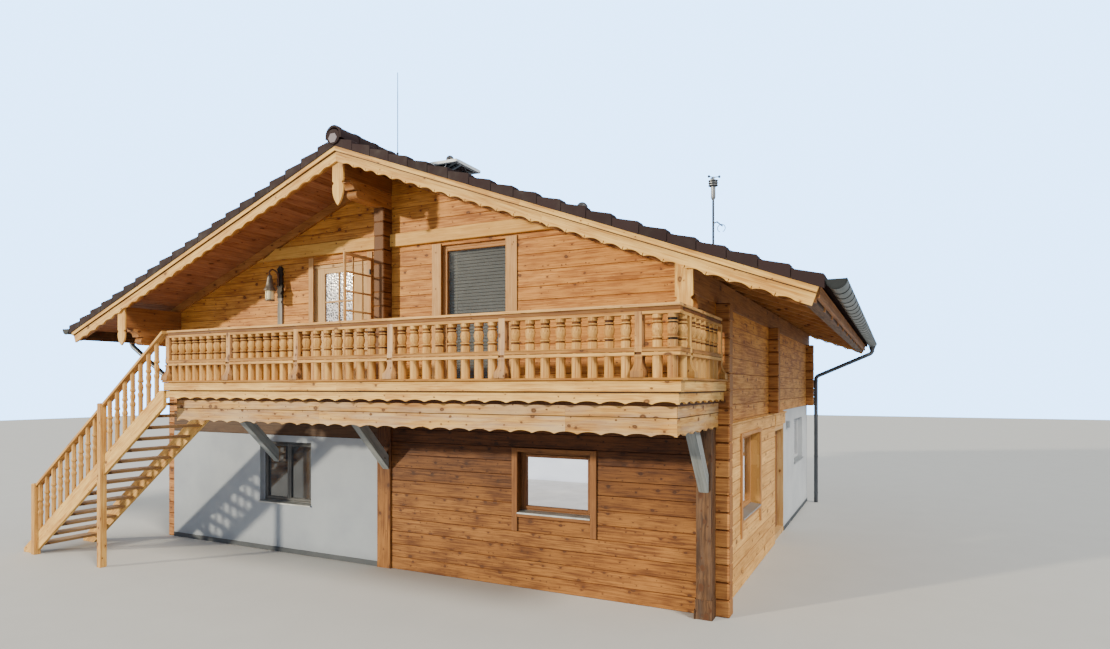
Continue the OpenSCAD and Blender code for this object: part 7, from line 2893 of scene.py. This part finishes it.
@dataclass
class Studio:
    """Pale floor, soft light and the photograph's camera."""

    eye: Point = (7.07, -13.09, 2.8)
    yaw: float = 26.5
    lens: float = 22.2
    sensor: float = 36.0
    horizon: float = 387.0
    sky: float = 0.8
    backdrop: float = 7.0

    def floor(self) -> None:
        """Lays the pale floor."""
        mesh = bpy.data.meshes.new("studio_floor")
        half = 60.0
        mesh.from_pydata([(-half, -half, -0.001), (half, -half, -0.001), (half, half, -0.001),
                          (-half, half, -0.001)], [], [(0, 1, 2, 3)])
        mesh.materials.append(MineralFinish("studio_floor", (0.5, 0.5, 0.5), (0.48, 0.48, 0.48),
                                            depth=0.0002).build())
        made = bpy.data.objects.new("studio_floor", mesh)
        bpy.context.scene.collection.objects.link(made)

    def light(self) -> None:
        """Hangs the soft sky, which the camera sees brighter, and two broad lamps."""
        world = bpy.data.worlds.new("studio_sky")
        world.use_nodes = True
        tree = world.node_tree
        seen = tree.nodes.new("ShaderNodeLightPath").outputs["Is Camera Ray"]
        both = tree.nodes.new("ShaderNodeMixShader")
        tree.links.new(seen, both.inputs[0])
        for k, (colour, strength) in enumerate((((0.8, 0.91, 1.0, 1.0), self.sky),
                                                ((0.3, 0.58, 1.0, 1.0), self.backdrop))):
            sky = tree.nodes.new("ShaderNodeBackground")
            sky.inputs["Color"].default_value = colour
            sky.inputs["Strength"].default_value = strength
            tree.links.new(sky.outputs[0], both.inputs[k + 1])
        tree.links.new(both.outputs[0], tree.nodes["World Output"].inputs[0])
        bpy.context.scene.world = world
        self.lamp("key_lamp", 5.1, (1.0, 0.88, 0.64), (78.0, -40.0), 2.5)
        self.lamp("side_lamp", 3.4, (1.0, 0.92, 0.76), (48.0, 64.0), 14.0)

    def lamp(self, name: str, power: float, colour: Colour, turn: tuple[float, float], width: float) -> None:
        """Hangs a broad lamp.

        Args:
            name: its name.
            power: its strength.
            colour: its colour.
            turn: its tilt from straight down and its turn, in degrees.
            width: its angular size in degrees.
        """
        lamp = bpy.data.lights.new(name, "SUN")
        lamp.energy, lamp.color, lamp.angle = power, colour, math.radians(width)
        made = bpy.data.objects.new(name, lamp)
        made.rotation_euler = (math.radians(turn[0]), 0.0, math.radians(turn[1]))
        bpy.context.scene.collection.objects.link(made)

    def camera(self) -> None:
        """Sets the camera where the photograph was taken from."""
        lens = bpy.data.cameras.new("portrait")
        lens.sensor_width = self.sensor
        lens.lens = self.lens
        lens.shift_y = (self.horizon - PHOTO_SIZE[1] / 2) / PHOTO_SIZE[0]
        lens.clip_end = 300.0
        made = bpy.data.objects.new("portrait", lens)
        made.location = self.eye
        made.rotation_euler = (math.radians(90.0), 0.0, math.radians(self.yaw))
        bpy.context.scene.collection.objects.link(made)
        bpy.context.scene.camera = made

    def build(self) -> None:
        """Sets up floor, light and camera."""
        self.floor()
        self.light()
        self.camera()


def corners(box: Sequence) -> list[list[float]]:
    """Returns a box's two corners as plain lists."""
    return [[float(c) for c in corner] for corner in box]


def main() -> None:
    """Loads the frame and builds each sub-assembly."""
    logging.basicConfig(level=logging.INFO, format="%(name)s %(message)s")
    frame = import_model()
    Studio().build()
    shop = Workshop(frame["nodes"])
    shared = (House(), shop, CopyRows(shop))
    balcony = Balcony(*shared)
    for part in (UpperStorey(*shared), GroundStorey(*shared), Roof(*shared), RainGoods(*shared), balcony,
                 Stair(*shared, balcony), Windows(*shared), Fittings(*shared)):
        part.build()


if __name__ == "__main__":
    main()
